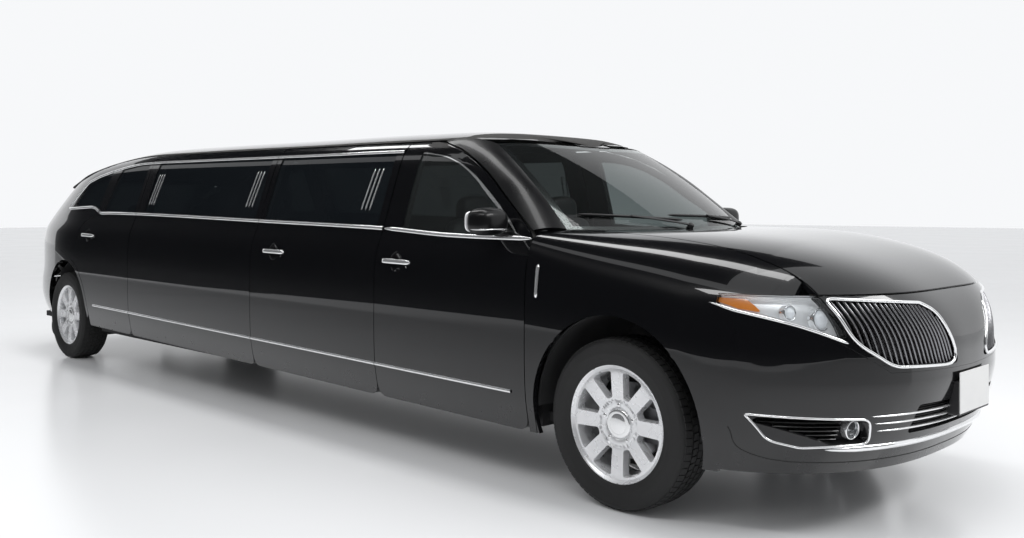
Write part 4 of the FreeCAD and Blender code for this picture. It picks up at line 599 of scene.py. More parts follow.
@dataclass
class Patch:
    """A trimmed piece of a chart, meshed finely with a turned-in rim.

    Attributes:
        chart: the surface.
        outline: outer border in flat coordinates.
        holes: inner borders.
        step: grid spacing in flat coordinates.
        away: 1 or -1, whichever makes normals point outwards.
        lift: how far the skin stands above the surface.
        rim: how far its edge turns inwards.
    """

    chart: Chart
    outline: Array
    holes: list[Array] = field(default_factory=list)
    step: float = 22.0
    away: float = 1.0
    lift: float = PROUD
    rim: float = 6.0

    def mesh(self) -> Mesh:
        """Mesh the patch with constrained triangles.

        Returns:
            The skin with its rims.
        """
        borders = [resampled(loop, self.step * 0.6) for loop in [self.outline, *self.holes]]
        low, high = borders[0].min(0), borders[0].max(0)
        counts = np.maximum(((high - low) / self.step).astype(int), 2)
        u = low[0] + (high[0] - low[0]) * (np.arange(counts[0]) + 0.5) / counts[0]
        v = low[1] + (high[1] - low[1]) * (np.arange(counts[1]) + 0.5) / counts[1]
        inner = np.stack(np.meshgrid(u, v), -1).reshape(-1, 2)
        edge = np.vstack(borders)
        inner = inner[self._between(inner, borders)]
        near = np.abs(inner[:, None] - edge[None]).max(-1).min(1) if len(inner) else np.zeros(0)
        inner = inner[near > self.step * 0.35]
        flat = np.vstack([edge, inner])
        edges, shift = [], 0
        for border in borders:
            loop = np.arange(len(border)) + shift
            edges += zip(loop.tolist(), np.roll(loop, -1).tolist())
            shift += len(border)
        verts, _, faces, *_ = geometry.delaunay_2d_cdt(flat.tolist(), edges, [], 0, 1e-6)
        flat = np.array([tuple(v) for v in verts])
        triangles = np.array(faces)
        skin = self._skin(flat, triangles[self._between(flat[triangles].mean(1), borders)])
        return joined([skin] + [self._turned_in(border, borders[0]) for border in borders])

    @staticmethod
    def _between(points: Array, borders: Sequence[Array]) -> Array:
        """Which points lie inside the first border and outside the others.

        Args:
            points: flat points.
            borders: the outline and its holes.

        Returns:
            True for points to keep.
        """
        keep = within(points, borders[0])
        for hole in borders[1:]:
            keep &= ~within(points, hole)
        return keep

    def _skin(self, flat: Array, triangles: Array) -> Mesh:
        """The surface itself, its triangles wound to face outwards.

        Args:
            flat: flat coordinates on the chart.
            triangles: corner indices.

        Returns:
            The skin without its rims.
        """
        normals = chart_normals(self.chart, flat, self.away)
        points = self.chart(flat[:, 0], flat[:, 1]) + normals * self.lift
        first, second, third = (points[triangles[:, i]] for i in range(3))
        facing = np.einsum("ij,ij->i", np.cross(second - first, third - first), normals[triangles[:, 0]])
        triangles = np.where((facing < 0)[:, None], triangles[:, ::-1], triangles)
        return Mesh(points, normals, [tuple(t) for t in triangles.tolist()])

    def _turned_in(self, border: Array, outer: Array) -> Mesh:
        """The rim along a border, without the parts of holes that leave the outline.

        Args:
            border: the outline or a hole.
            outer: the outline.

        Returns:
            The rim's mesh.
        """
        normals = chart_normals(self.chart, border, self.away)
        top = self.chart(border[:, 0], border[:, 1]) + normals * self.lift
        strip = grid_mesh(np.stack([top, top - normals * self.rim], 1), wrap_u=True)
        if border is not outer:
            kept = np.repeat(within(border, outer), 2)
            strip.faces = [face for face in strip.faces if kept[list(face)].all()]
        return strip


def sweep(path: Array, normals: Array, profile: Pairs, closed: bool = False, taper: bool = False,
          scale: Array | float = 1.0) -> Mesh:
    """Draw a closed profile along a path on a surface.

    Args:
        path: points of the path.
        normals: the surface's outer normals there.
        profile: (across, outwards) points of the cross-section.
        closed: whether the path is a ring.
        taper: whether both ends shrink to a point.
        scale: share of the profile's width, one number or one for each point.

    Returns:
        The swept mesh.
    """
    if closed:
        along = unit(np.roll(path, -1, 0) - np.roll(path, 1, 0))
    else:
        along = unit(np.gradient(path, axis=0))
    across = unit(np.cross(normals, along))
    out = unit(np.cross(along, across))
    shape = np.array(profile, float)
    size = np.ones(len(path))
    if taper:
        place = np.linspace(0.0, 1.0, len(path))
        size = np.clip(np.minimum(place, 1 - place) * 14.0, 0.0004, 1.0) ** 0.5
    wide = size * scale
    grid = (path[:, None] + across[:, None] * (shape[:, 0] * wide[:, None])[..., None]
            + out[:, None] * (shape[:, 1] * size[:, None])[..., None])
    mesh = grid_mesh(grid, wrap_u=closed, wrap_v=True)
    centre = np.repeat(grid.mean(1), len(shape), axis=0)
    if np.sum(mesh.normals * (mesh.points - centre)) < 0:
        mesh = grid_mesh(grid, wrap_u=closed, wrap_v=True, flip=True)
    return mesh


def bead(width: float, height: float, sink: float = 1.0) -> Pairs:
    """Half-round strip profile of a width and height, its foot a little sunk.

    Args:
        width: width of the strip.
        height: height of its crown.
        sink: how far its foot lies under the surface.

    Returns:
        Half an ellipse over a flat foot.
    """
    angles = np.linspace(0.0, math.pi, 9)
    top = [(width / 2 * math.cos(a), height * math.sin(a)) for a in angles]
    return top + [(-width / 2, -sink), (width / 2, -sink)]


def oval(wide: float, high: float, count: int) -> Pairs:
    """Oval profile from its half sizes."""
    angles = np.linspace(0, 2 * math.pi, count, endpoint=False)
    return [(wide * math.cos(a), high * math.sin(a)) for a in angles]


def box(half: float, low: float, high: float, top: float | None = None) -> Pairs:
    """Corners of a block in the front or rear view; its top may have another half width."""
    top = half if top is None else top
    return (-half, low), (half, low), (top, high), (-top, high)


def grown(outline: Array, share: float) -> Array:
    """An outline scaled about its middle."""
    return outline.mean(0) + (outline - outline.mean(0)) * share


def in_view(to_arc: Chart, y: Array | float, z: Array | float) -> Array:
    """Chart coordinates of places in the front view, with nose_u, or the rear view, with tail_u."""
    y, z = np.broadcast_arrays(np.atleast_1d(y).astype(float), z)
    return stack(to_arc(y, z), z)


def lathe(profile: Pairs, segments: int = 96) -> Mesh:
    """Turn an open (radius, width) profile about the Y axis.

    Args:
        profile: radii and places along the axis.
        segments: steps round the axis.

    Returns:
        The turned mesh.
    """
    shape = np.array(profile, float)
    angles = np.linspace(0.0, 2 * math.pi, segments, endpoint=False)[:, None]
    grid = stack(shape[None, :, 0] * np.cos(angles), shape[None, :, 1] + 0 * angles,
                 shape[None, :, 0] * np.sin(angles))
    return grid_mesh(grid, wrap_u=True)


def pebble(centre: Sequence[float], half: Sequence[float], power: float = 2.6, rows: int = 24) -> Mesh:
    """Rounded block: a superellipsoid about a centre.

    Args:
        centre: its middle.
        half: half sizes.
        power: exponent; higher is squarer.
        rows: rows from pole to pole.

    Returns:
        The mesh, with normals from the solid's own slope.
    """
    upright = np.linspace(-math.pi / 2, math.pi / 2, rows)[:, None]
    round_ = np.linspace(-math.pi, math.pi, 2 * rows, endpoint=False)[None]
    bend = lambda value: np.sign(value) * np.abs(value) ** (2 / power)
    grid = stack(bend(np.cos(upright)) * bend(np.cos(round_)), bend(np.cos(upright)) * bend(np.sin(round_)),
                 bend(np.sin(upright)) + 0 * round_)
    mesh = grid_mesh(grid * np.array(half), wrap_v=True, flip=True)
    slant = np.sign(mesh.points) * np.abs(mesh.points / np.array(half)) ** (power - 1) / np.array(half)
    return Mesh(mesh.points + np.array(centre), unit(slant), mesh.faces)


# Shaders

class Op(Enum):
    """Operations of the maths nodes."""

    ADD = auto()
    SUBTRACT = auto()
    MULTIPLY = auto()
    ABSOLUTE = auto()


class Signal:
    """A shader socket that takes part in arithmetic."""

    def __init__(self, shader: "Shader", socket: bpy.types.NodeSocket) -> None:
        """Keep the socket and the shader that it belongs to."""
        self.shader = shader
        self.socket = socket

    def _with(self, operation: Op, first: "Signal | float", second: "Signal | float" = 0.0) -> "Signal":
        """Result of a maths node."""
        return self.shader.node("ShaderNodeMath", {0: first, 1: second}, operation=operation.name)

    def __add__(self, other: "Signal | float") -> "Signal":
        """Sum."""
        return self._with(Op.ADD, self, other)

    def __radd__(self, other: float) -> "Signal":
        """Sum, reflected."""
        return self._with(Op.ADD, other, self)

    def __rsub__(self, other: float) -> "Signal":
        """Difference, reflected."""
        return self._with(Op.SUBTRACT, other, self)

    def __mul__(self, other: "Signal | float") -> "Signal":
        """Product."""
        return self._with(Op.MULTIPLY, self, other)

    def step(self, low: float, high: float) -> "Signal":
        """Smooth rise from 0 at low to 1 at high."""
        return self.shader.node("ShaderNodeMapRange", {0: self, 1: low, 2: high},
                                interpolation_type="SMOOTHSTEP")


class Shader:
    """Builds one material's node tree."""

    def __init__(self, name: str) -> None:
        """Make an empty material with its output.

        Args:
            name: the material's name.
        """
        self.material = bpy.data.materials.new(name)
        self.material.use_nodes = True
        self.tree = self.material.node_tree
        self.tree.nodes.clear()
        self.output = self.tree.nodes.new("ShaderNodeOutputMaterial")

    def node(self, kind: str, inputs: dict | None = None, output: int | str = 0,
             **settings: object) -> Signal:
        """Add a node.

        Args:
            kind: the node's type name.
            inputs: values or signals by socket index or name.
            output: the socket that is returned.
            settings: properties of the node.

        Returns:
            The chosen output as a signal.
        """
        made = self.tree.nodes.new(kind)
        for key, value in settings.items():
            setattr(made, key, value)
        for key, value in (inputs or {}).items():
            if isinstance(value, Signal):
                self.tree.links.new(value.socket, made.inputs[key])
            else:
                made.inputs[key].default_value = value
        return Signal(self, made.outputs[output])

    def place(self, axis: int | None = None) -> Signal:
        """Object coordinates, or one of them."""
        whole = self.node("ShaderNodeTexCoord", output="Object")
        return whole if axis is None else self.node("ShaderNodeSeparateXYZ", {0: whole}, axis)

    def noise(self, scale: float, detail: float = 3.0) -> Signal:
        """Noise between about 0.3 and 0.7 over object coordinates."""
        return self.node("ShaderNodeTexNoise", {"Vector": self.place(), "Scale": scale, "Detail": detail})

    def blend(self, amount: Signal, first: Sequence[float], second: Sequence[float]) -> Signal:
        """Colour between two, by an amount."""
        return self.node("ShaderNodeMix", {0: amount, 6: (*first, 1.0), 7: (*second, 1.0)}, 2,
                         data_type="RGBA")

    def bump(self, height: Signal, strength: float, distance: float) -> Signal:
        """Bumped normal from a height."""
        return self.node("ShaderNodeBump", {"Height": height, "Strength": strength, "Distance": distance})

    def surface(self, **inputs: object) -> Signal:
        """Principled surface; names are socket names with underscores for spaces.

        Args:
            inputs: values or signals by socket name.

        Returns:
            The shader's output.
        """
        named = {key.replace("_", " "): value for key, value in inputs.items()}
        for key, value in named.items():
            if isinstance(value, tuple) and len(value) == 3:
                named[key] = (*value, 1.0)
        return self.node("ShaderNodeBsdfPrincipled", named)

    def done(self, surface: Signal) -> bpy.types.Material:
        """Connect the surface and return the material."""
        self.tree.links.new(surface.socket, self.output.inputs["Surface"])
        return self.material


class Finish:
    """One finish of the car; it builds its material once."""

    slot: str

    def __init__(self) -> None:
        """Start without a material."""
        self._made: bpy.types.Material | None = None

    def material(self) -> bpy.types.Material:
        """The finish's material, built when it is first asked for.

        Returns:
            The material, the same one each time.
        """
        if self._made is None:
            self._made = self.build(Shader(getattr(self, "name", type(self).__name__)))
        return self._made

    def build(self, shader: Shader) -> bpy.types.Material:
        """Make the material."""
        raise NotImplementedError


class Paint(Finish):
    """Deep black body paint under clear lacquer."""

    slot = "body_paint"

    def build(self, shader: Shader) -> bpy.types.Material:
        """Black with a slight flow of the lacquer and a little dust low down.

        Args:
            shader: graph of the new material.

        Returns:
            The finished material.
        """
        flow = shader.bump(shader.noise(5.0, 1.0), 0.015, 0.002)
        dust = shader.noise(14.0) * (1.0 - shader.place(2).step(0.3, 0.75))
        return shader.done(shader.surface(
            Base_Color=shader.blend(dust, (0.0035, 0.0036, 0.0042), (0.012, 0.012, 0.013)),
            Roughness=0.20 + dust * 0.12, Specular_IOR_Level=0.10, Coat_Weight=1.0,
            Coat_Roughness=0.012, Normal=flow))


class DoorBody(Finish):
    """Paint outside and grained trim on the cabin side of a door or wall."""

    slot = "body_paint"

    def build(self, shader: Shader) -> bpy.types.Material:
        """Switch from paint to trim by the distance from the middle of the car.

        Args:
            shader: graph of the new material.

        Returns:
            The finished material.
        """
        width = shader.node("ShaderNodeMath", {0: shader.place(1)}, operation=Op.ABSOLUTE.name)
        inner = 1.0 - (width + shader.place(2).step(1.1, 1.65) * 0.16).step(0.888, 0.9)
        grain = shader.noise(900.0, 2.0)
        return shader.done(shader.surface(
            Base_Color=shader.blend(inner, (0.004, 0.004, 0.0045), (0.045, 0.044, 0.043)),
            Roughness=0.20 + inner * 0.45, Specular_IOR_Level=0.12, Coat_Weight=1.0 - inner,
            Coat_Roughness=0.012,
            Normal=shader.bump(grain * inner, 0.3, 0.0006)))


class DarkGlass(Finish):
    """Privacy glass, almost black, that mirrors its surroundings."""

    slot = "dark_glass"

    def build(self, shader: Shader) -> bpy.types.Material:
        """Mix a dark mirror-like face with a little clear view.

        Args:
            shader: graph of the new material.

        Returns:
            The finished material.
        """
        haze = shader.noise(3.0, 2.0)
        face = shader.surface(Base_Color=shader.blend(haze, (0.006, 0.008, 0.010), (0.010, 0.012, 0.014)),
                              Roughness=0.02, Specular_IOR_Level=0.5)
        clear = shader.node("ShaderNodeBsdfTransparent", {0: (0.14, 0.16, 0.16, 1.0)})
        return shader.done(shader.node("ShaderNodeMixShader", {0: 0.72, 1: clear, 2: face}))


class TintedGlass(Finish):
    """Lightly tinted glass.

    Attributes:
        name: the material's name.
        slot: name of its slot; nothing in this script reads it.
        tint: colour of what is seen through it.
        mirror: share of reflection when looked at squarely.
    """

    def __init__(self, name: str, slot: str, tint: tuple[float, float, float], mirror: float) -> None:
        """Keep the glass's sizes."""
        super().__init__()
        self.name, self.slot, self.tint, self.mirror = name, slot, tint, mirror

    def build(self, shader: Shader) -> bpy.types.Material:
        """See-through with reflections that grow at shallow angles.

        Args:
            shader: graph of the new material.

        Returns:
            The finished material.
        """
        clear = shader.node("ShaderNodeBsdfTransparent", {0: (*self.tint, 1.0)})
        haze = shader.noise(6.0, 2.0)
        mirror = shader.surface(Base_Color=shader.blend(haze, (0.02, 0.022, 0.022), (0.03, 0.032, 0.032)),
                                Roughness=0.02, Specular_IOR_Level=0.7, Coat_Weight=1.0, Coat_Roughness=0.01)
        rim = shader.node("ShaderNodeLayerWeight", {0: 0.30}, "Facing")
        share = self.mirror + rim * 0.65
        return shader.done(shader.node("ShaderNodeMixShader", {0: share, 1: clear, 2: mirror}))


class Chrome(Finish):
    """Polished bright trim."""

    slot = "chrome"

    def build(self, shader: Shader) -> bpy.types.Material:
        """Mirror metal with a breath of haze.

        Args:
            shader: graph of the new material.

        Returns:
            The finished material.
        """
        haze = shader.noise(30.0)
        return shader.done(shader.surface(
            Base_Color=shader.blend(haze, (0.86, 0.87, 0.88), (0.92, 0.92, 0.92)), Metallic=0.80,
            Roughness=0.07 + haze * 0.06))


class Alloy(Finish):
    """Bright machined wheel face."""

    slot = "wheel_alloy"

    def build(self, shader: Shader) -> bpy.types.Material:
        """Light metal with fine mottled marks and a clear coat.

        Args:
            shader: graph of the new material.

        Returns:
            The finished material.
        """
        marks = shader.noise(16.0, 2.0)
        return shader.done(shader.surface(
            Base_Color=shader.blend(marks, (0.72, 0.73, 0.75), (0.86, 0.86, 0.87)), Metallic=0.55,
            Roughness=0.22 + marks * 0.12, Coat_Weight=0.6, Coat_Roughness=0.04,
            Normal=shader.bump(marks, 0.01, 0.0005)))


class Rubber(Finish):
    """Tyre rubber with fine moulding marks."""

    slot = "tyre_rubber"

    def build(self, shader: Shader) -> bpy.types.Material:
        """Near-black, rough, slightly greyer where dusty.

        Args:
            shader: graph of the new material.

        Returns:
            The finished material.
        """
        dust = shader.noise(22.0, 5.0)
        return shader.done(shader.surface(
            Base_Color=shader.blend(dust, (0.006, 0.006, 0.006), (0.017, 0.017, 0.0175)),
            Roughness=0.55 + dust * 0.3, Normal=shader.bump(shader.noise(700.0, 2.0), 0.15, 0.0006)))


@dataclass
class Plain(Finish):
    """A plain material in two close tones with a grain.

    Attributes:
        name: the material's name.
        slot: name of its slot; nothing in this script reads it.
        low: darker tone.
        high: lighter tone.
        rough: roughness.
        metal: metallic share.
        grain: scale of the grain.
        relief: strength of the grain's bump.
        coat: weight of a clear coat.
        glow: strength of the emission.
        gleam: level of the base reflection.
    """

    name: str
    slot: str
    low: tuple[float, float, float]
    high: tuple[float, float, float]
    rough: float = 0.5
    metal: float = 0.0
    grain: float = 400.0
    relief: float = 0.25
    coat: float = 0.0
    glow: float = 0.0
    gleam: float = 0.5

    def __post_init__(self) -> None:
        """Start without a material."""
        super().__init__()

    def build(self, shader: Shader) -> bpy.types.Material:
        """Two tones mixed by the grain.

        Args:
            shader: graph of the new material.

        Returns:
            The finished material.
        """
        grain = shader.noise(self.grain, 3.0)
        patches = shader.noise(7.0, 3.0)
        tone = shader.blend(patches, self.low, self.high)
        return shader.done(shader.surface(
            Base_Color=tone, Roughness=self.rough + patches * 0.12, Metallic=self.metal,
            Specular_IOR_Level=self.gleam, Coat_Weight=self.coat, Coat_Roughness=0.03,
            Normal=shader.bump(grain, self.relief, 0.0006),
            Emission_Color=tone, Emission_Strength=self.glow))


PAINT = Paint()
DOOR_BODY = DoorBody()
DARK_GLASS = DarkGlass()
CLEAR_GLASS = TintedGlass("ClearGlass", "clear_glass", (0.78, 0.83, 0.82), 0.08)
FRONT_GLASS = TintedGlass("FrontDoorGlass", "dark_glass", (0.30, 0.34, 0.34), 0.30)
CHROME = Chrome()
ALLOY = Alloy()
RUBBER = Rubber()
BLACK = Plain("BlackPlastic", "black_trim", (0.010, 0.010, 0.011), (0.018, 0.018, 0.019), 0.42)
GLOSS_BLACK = Plain("GlossBlack", "black_trim", (0.004, 0.004, 0.004), (0.007, 0.007, 0.008), 0.12,
                    relief=0.0, coat=1.0)
SHADED_PAINT = Plain("ShadedPaint", "body_paint", (0.0035, 0.0036, 0.0042), (0.005, 0.005, 0.0055), 0.24,
                     relief=0.0, coat=0.16, gleam=0.2)
SEAL = Plain("Seal", "black_trim", (0.006, 0.006, 0.006), (0.010, 0.010, 0.010), 0.6)
STEEL = Plain("Steel", "steel", (0.30, 0.30, 0.31), (0.44, 0.44, 0.45), 0.32, 1.0, 160.0, 0.1)
DARK_STEEL = Plain("DarkSteel", "steel", (0.05, 0.05, 0.05), (0.09, 0.088, 0.085), 0.55, 0.8, 160.0, 0.2)
CAST = Plain("CastAlloy", "engine_grey", (0.26, 0.26, 0.27), (0.36, 0.36, 0.37), 0.5, 0.8, 260.0, 0.4)
UNDERBODY = Plain("Underbody", "underbody", (0.016, 0.016, 0.017), (0.030, 0.030, 0.031), 0.7)
LEATHER = Plain("Leather", "seat_leather", (0.020, 0.020, 0.021), (0.034, 0.033, 0.033), 0.42, 0.0,
                520.0, 0.5)
TRIM = Plain("CabinTrim", "cabin_trim", (0.045, 0.045, 0.047), (0.07, 0.069, 0.07), 0.6, 0.0, 800.0, 0.4)
PLATE = Plain("PlateWhite", "plate_white", (0.66, 0.66, 0.66), (0.74, 0.74, 0.73), 0.4, relief=0.02)
# Silver of the headlamp bowls and mirror glass; its glow is painted reflection that brightens parts which are
# not lit.
SILVER_PAINTED_GLOW = Plain("SilverPaintedGlow", "chrome", (0.84, 0.85, 0.86), (0.93, 0.93, 0.94), 0.14, 0.35,
                    relief=0.0, glow=0.12)
# Chrome of the grille slats with its colour darkened: painted shade of the grille's recess.
SHADED_CHROME = Plain("ShadedChrome", "chrome", (0.22, 0.22, 0.23), (0.30, 0.30, 0.31), 0.12, 0.9, relief=0.0)
BULB = Plain("LampGlass", "lamp_lens", (0.78, 0.80, 0.83), (0.88, 0.90, 0.93), 0.05, 0.0,
             relief=0.0, coat=1.0, glow=0.15)
AMBER = Plain("Amber", "lamp_lens", (0.75, 0.20, 0.02), (0.85, 0.28, 0.03), 0.15, relief=0.0, coat=1.0)
RED = Plain("RedLens", "tail_lens", (0.28, 0.006, 0.008), (0.40, 0.012, 0.014), 0.12, relief=0.0, coat=1.0)


class LampLens(Finish):
    """Clear cover of a lamp."""

    slot = "lamp_lens"

    def build(self, shader: Shader) -> bpy.types.Material:
        """See-through with bright edges.

        Args:
            shader: graph of the new material.

        Returns:
            The finished material.
        """
        clear = shader.node("ShaderNodeBsdfTransparent", {0: (0.93, 0.95, 0.96, 1.0)})
        flow = shader.noise(4.0)
        mirror = shader.surface(Base_Color=shader.blend(flow, (0.02, 0.02, 0.02), (0.03, 0.03, 0.03)),
                                Roughness=0.01, Coat_Weight=1.0, Coat_Roughness=0.01)
        rim = shader.node("ShaderNodeLayerWeight", {0: 0.35}, "Facing")
        return shader.done(shader.node("ShaderNodeMixShader", {0: 0.12 + rim * 0.6, 1: clear, 2: mirror}))


LAMP_LENS = LampLens()


def show(name: str, mesh: Mesh, finish: Finish, body: str = "chassis",
         replaces: Sequence[str] = ()) -> bpy.types.Object:
    """Add a mesh to the scene as a finished piece.

    Args:
        name: the piece's name.
        mesh: its shape in millimetres.
        finish: its finish.
        body: the CAD body that it rides on.
        replaces: CAD nodes that it stands for.

    Returns:
        The new object.
    """
    data = bpy.data.meshes.new(name)
    data.from_pydata((mesh.points / 1000.0).tolist(), [], mesh.faces)
    data.polygons.foreach_set("use_smooth", np.ones(len(data.polygons), bool))
    data.normals_split_custom_set_from_vertices(mesh.normals.tolist())
    data.materials.append(finish.material())
    data.update()
    piece = bpy.data.objects.new(name, data)
    bpy.context.scene.collection.objects.link(piece)
    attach(piece, body)
    if replaces:
        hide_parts(*replaces)
    log.info("%s on %s: %d faces", name, body, len(mesh.faces))
    return piece


def paint_node(node: str, finish: Finish) -> None:
    """Give a CAD node that stays its finish.

    Args:
        node: name of the CAD node.
        finish: finish to give it.
    """
    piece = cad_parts[node]
    piece.data.materials.clear()
    piece.data.materials.append(finish.material())


# Outlines of the nose and tail, and grids of the roof and glass

LAMP_LINE = ((688.0, 792.0), (722.0, 962.0), (948.0, 962.0), (905.0, 905.0))
FOG_LINE = ((575.0, 398.0), (700.0, 392.0), (905.0, 480.0), (890.0, 505.0), (600.0, 486.0))
INTAKE_LINE = box(400.0, 416.0, 532.0, 385.0)
GRILLE_LINE = ((125.0, 672.0), (530.0, 690.0), (676.0, 790.0), (716.0, 950.0), (330.0, 922.0), (258.0, 888.0))
PANEL_LINE = ((545.0, 668.0), (716.0, 782.0), (741.0, 956.5), (-741.0, 956.5), (-716.0, 782.0),
              (-545.0, 668.0), (0.0, 655.0))
REAR_WINDOW = box(560.0, 1238.0, 1520.0, 520.0)
ROOF_REAR = station(-6400.0)


def front_outline(line: Pairs, radius: float | Sequence[float], sign: float = 1.0) -> Array:
    """Front-view outline as nose coordinates, its corners rounded."""
    loop = resampled(rounded(line, radius), 14.0)
    return stack(sign * nose_u(loop[:, 0], loop[:, 1]), loop[:, 1])


def rear_outline(line: Pairs, radius: float) -> Array:
    """Rear-view outline as tail coordinates, its corners rounded."""
    loop = resampled(rounded(line, radius), 16.0)
    return in_view(tail_u, *loop.T)


def roof_point(x: Array, angle: Array) -> Array:
    """Left half of the roof's section, from its side edge to the crest.

    Args:
        x: stations.
        angle: section angles, zero at the side edge.

    Returns:
        Points of a superellipse between the belt and the crest.
    """
    crest = Form.roof_crest(x) - Form.rake(x)
    flat = Form.BELT + (crest - Form.BELT) * np.sin(angle) ** (1 / 6)
    plan = Form.tail_plan(x, Form.top_line(x) + Form.rake(x))
    half = Form.side_half(flat) * np.maximum(np.cos(angle), 0.0) ** 0.8 * plan
    return stack(x, half, flat + Form.rake(x))


def roof_edge(x: Array, clearance: float = 8.5) -> Array:
    """Section angle of the roof's side edge.

    Args:
        x: stations.
        clearance: gap above the doors' upper edge.

    Returns:
        Angles, the section's height solved for its angle.
    """
    crest = Form.roof_crest(x) - Form.rake(x)
    part = (Form.top_line(x) + clearance - Form.BELT) / (crest - Form.BELT)
    return np.arcsin(np.minimum(part, 0.999) ** 6)


def roof_front(y: Array) -> Array:
    """Station of the roof's front edge."""
    outer = np.maximum(0.0, (np.abs(y) - SCREEN_HEAD) / 130.0)
    return station(-880.0) - 165.0 * (y / SCREEN_HEAD) ** 2 - 240.0 * outer ** 1.5


def roof_grid(rows: int = 110, half: int = 40) -> Array:
    """Roof skin: rows run backwards from its bowed front edge, columns from left to right.

    Args:
        rows: rows from front to rear.
        half: columns in each half.

    Returns:
        Points by row and column; four passes settle the stations of the front edge.
    """
    share = np.linspace(0.0, 1.0, rows)[:, None]
    across = np.linspace(0.0, 1.0, half)[None] ** 0.8
    x = np.full((rows, half), station(-2000.0))
    for _ in range(4):
        edge = roof_edge(x)
        points = roof_point(x, edge + (math.pi / 2 - edge) * across)
        front = roof_front(points[:1, :, 1])
        x = front + (ROOF_REAR - front) * share
    points = roof_point(x, roof_edge(x) + (math.pi / 2 - roof_edge(x)) * across)
    points[..., 2] += PROUD
    other = points[:, -2::-1] * np.array([1.0, -1.0, 1.0])
    return np.concatenate([points, other], axis=1)


def screen_base(y: Array) -> Array:
    """Foot of the windscreen."""
    bow = (y / SCREEN_FOOT) ** 2
    return stack(station(-150.0) - 290.0 * bow, y, 1190.0 + 6.0 * bow)


def screen_head(y: Array) -> Array:
    """Top edge of the windscreen.

    Args:
        y: half widths.

    Returns:
        Points on the roof's front edge, a little under its skin.
    """
    x = roof_front(y)
    angle = halve(0.3 + 0 * x, math.pi / 2 + 0 * x, lambda a: roof_point(x, a)[..., 1] > np.abs(y))
    return stack(x + 3.0, y, roof_point(x, angle)[..., 2] - 3.0)


def screen_point(side: Array, rise: Array, depth: float = 0.0) -> Array:
    """Point of the windscreen: side runs from -1 to 1, rise from its foot to its head.

    Args:
        side: -1 on the right to 1 on the left.
        rise: 0 at the foot to 1 at the head.
        depth: depth under the glass.

    Returns:
        Straight lines from foot to head with a parabolic crown.
    """
    base, head = screen_base(side * SCREEN_FOOT), screen_head(side * SCREEN_HEAD)
    crown = 22.0 * 4.0 * rise * (1.0 - rise)
    normal = unit(stack(0.52 + 0 * side, 0.30 * side, 0.85 + 0 * side))
    return base + (head - base) * rise[..., None] + normal * (crown - depth)[..., None]


def screen_grid(rows: int = 30, columns: int = 60) -> Array:
    """Windscreen as a grid."""
    return screen_point(*np.meshgrid(np.linspace(-1.0, 1.0, columns), np.linspace(0.0, 1.0, rows)))


def pillar_grid(rows: int = 60, columns: int = 14) -> Array:
    """Right windscreen pillar, from the glass edge to the door frame.

    Args:
        rows: rows from foot to head.
        columns: columns from glass to door.

    Returns:
        Points of quadratic curves from the glass to the door frame.
    """
    line = [(DOOR_FRONT - 14.0, 1192.0)] + [(station(x) + 5.0, z + 7.5) for x, z in DOOR_NOSE[1:]]
    line.append((station(-1385.0), TOP + 10.0))
    knots = np.array(line)
    runs = np.concatenate([[0.0], np.cumsum(np.linalg.norm(np.diff(knots, axis=0), axis=1))])
    share = np.linspace(0.0, 1.0, rows)
    x = through(list(zip(runs / runs[-1], knots[:, 0])), share)
    flat = through(list(zip(runs / runs[-1], knots[:, 1])), share)
    outer = side_chart(x, flat)
    inner = screen_point(-np.ones(rows), share) + np.array([0.0, -0.3, 0.0])
    reach = np.linalg.norm(outer - inner, axis=1, keepdims=True)
    middle = (inner + outer) / 2 + np.array([0.55, -0.45, 0.5]) * reach * 0.22
    part = np.linspace(0.0, 1.0, columns)[None, :, None]
    grid = (inner[:, None] * (1 - part) ** 2 + middle[:, None] * 2 * part * (1 - part)
            + outer[:, None] * part ** 2)
    return grid + np.array([0.5, -0.5, 0.6])


def roof_half_at(z: Array) -> Array:
    """Half width of the roof's rear edge at a height.

    Args:
        z: heights.

    Returns:
        Half widths, from the roof's section at its rear edge.
    """
    x = np.full_like(z, ROOF_REAR)
    crest = Form.roof_crest(x) - Form.rake(x)
    part = np.clip((z - Form.rake(x) - Form.BELT) / (crest - Form.BELT), 0.0, 1.0)
    spread = np.sqrt(np.maximum(1.0 - part ** 12, 0.0)) ** 0.8
    return Form.side_half(z - Form.rake(x)) * spread * Form.tail_plan(x, Form.top_line(x) + Form.rake(x))


def corner_grid(z: Array, columns: int = 26) -> Array:
    """Right tail corner between the quarter panel and the liftgate, one row for each height.

    Args:
        z: heights of the rows.
        columns: columns from quarter panel to liftgate.

    Returns:
        Points of the body side's own form, set closer together towards the tail.
    """
    edge = lambda x: Form.top_line(x) + 8.7 + Form.rake(x)
    low, high = np.full_like(z, station(-6860.0)), np.full_like(z, ROOF_REAR)
    start = halve(high, low, lambda x: edge(x) > z)
    start = np.where(edge(low) > z, low, np.where(edge(high) < z, high, start))
    finish = Form.tail_reach(663.0 + 0 * z, z)
    share = np.sin(np.linspace(0.0, math.pi / 2, columns))[None]
    x = start[:, None] + (finish - start)[:, None] * share
    height = np.broadcast_to(z[:, None], x.shape)
    half = Form.side_half(height - Form.rake(x)) * Form.tail_plan(x, height)
    return stack(x, -half - PROUD, height)


def gate_outline() -> Array:
    """Border of the liftgate in tail coordinates.

    Returns:
        The closed border, narrowed under the roof's rear edge.
    """
    z = np.linspace(642.0, 1572.0, 70)
    half = np.minimum(655.0, roof_half_at(z + 8.0))
    half = np.maximum(half, 4.0)
    right = in_view(tail_u, half, z)
    bottom = in_view(tail_u, np.linspace(-640.0, 640.0, 30), 642.0)
    return np.vstack([right, right[::-1] * np.array([-1.0, 1.0]), bottom[1:-1]])


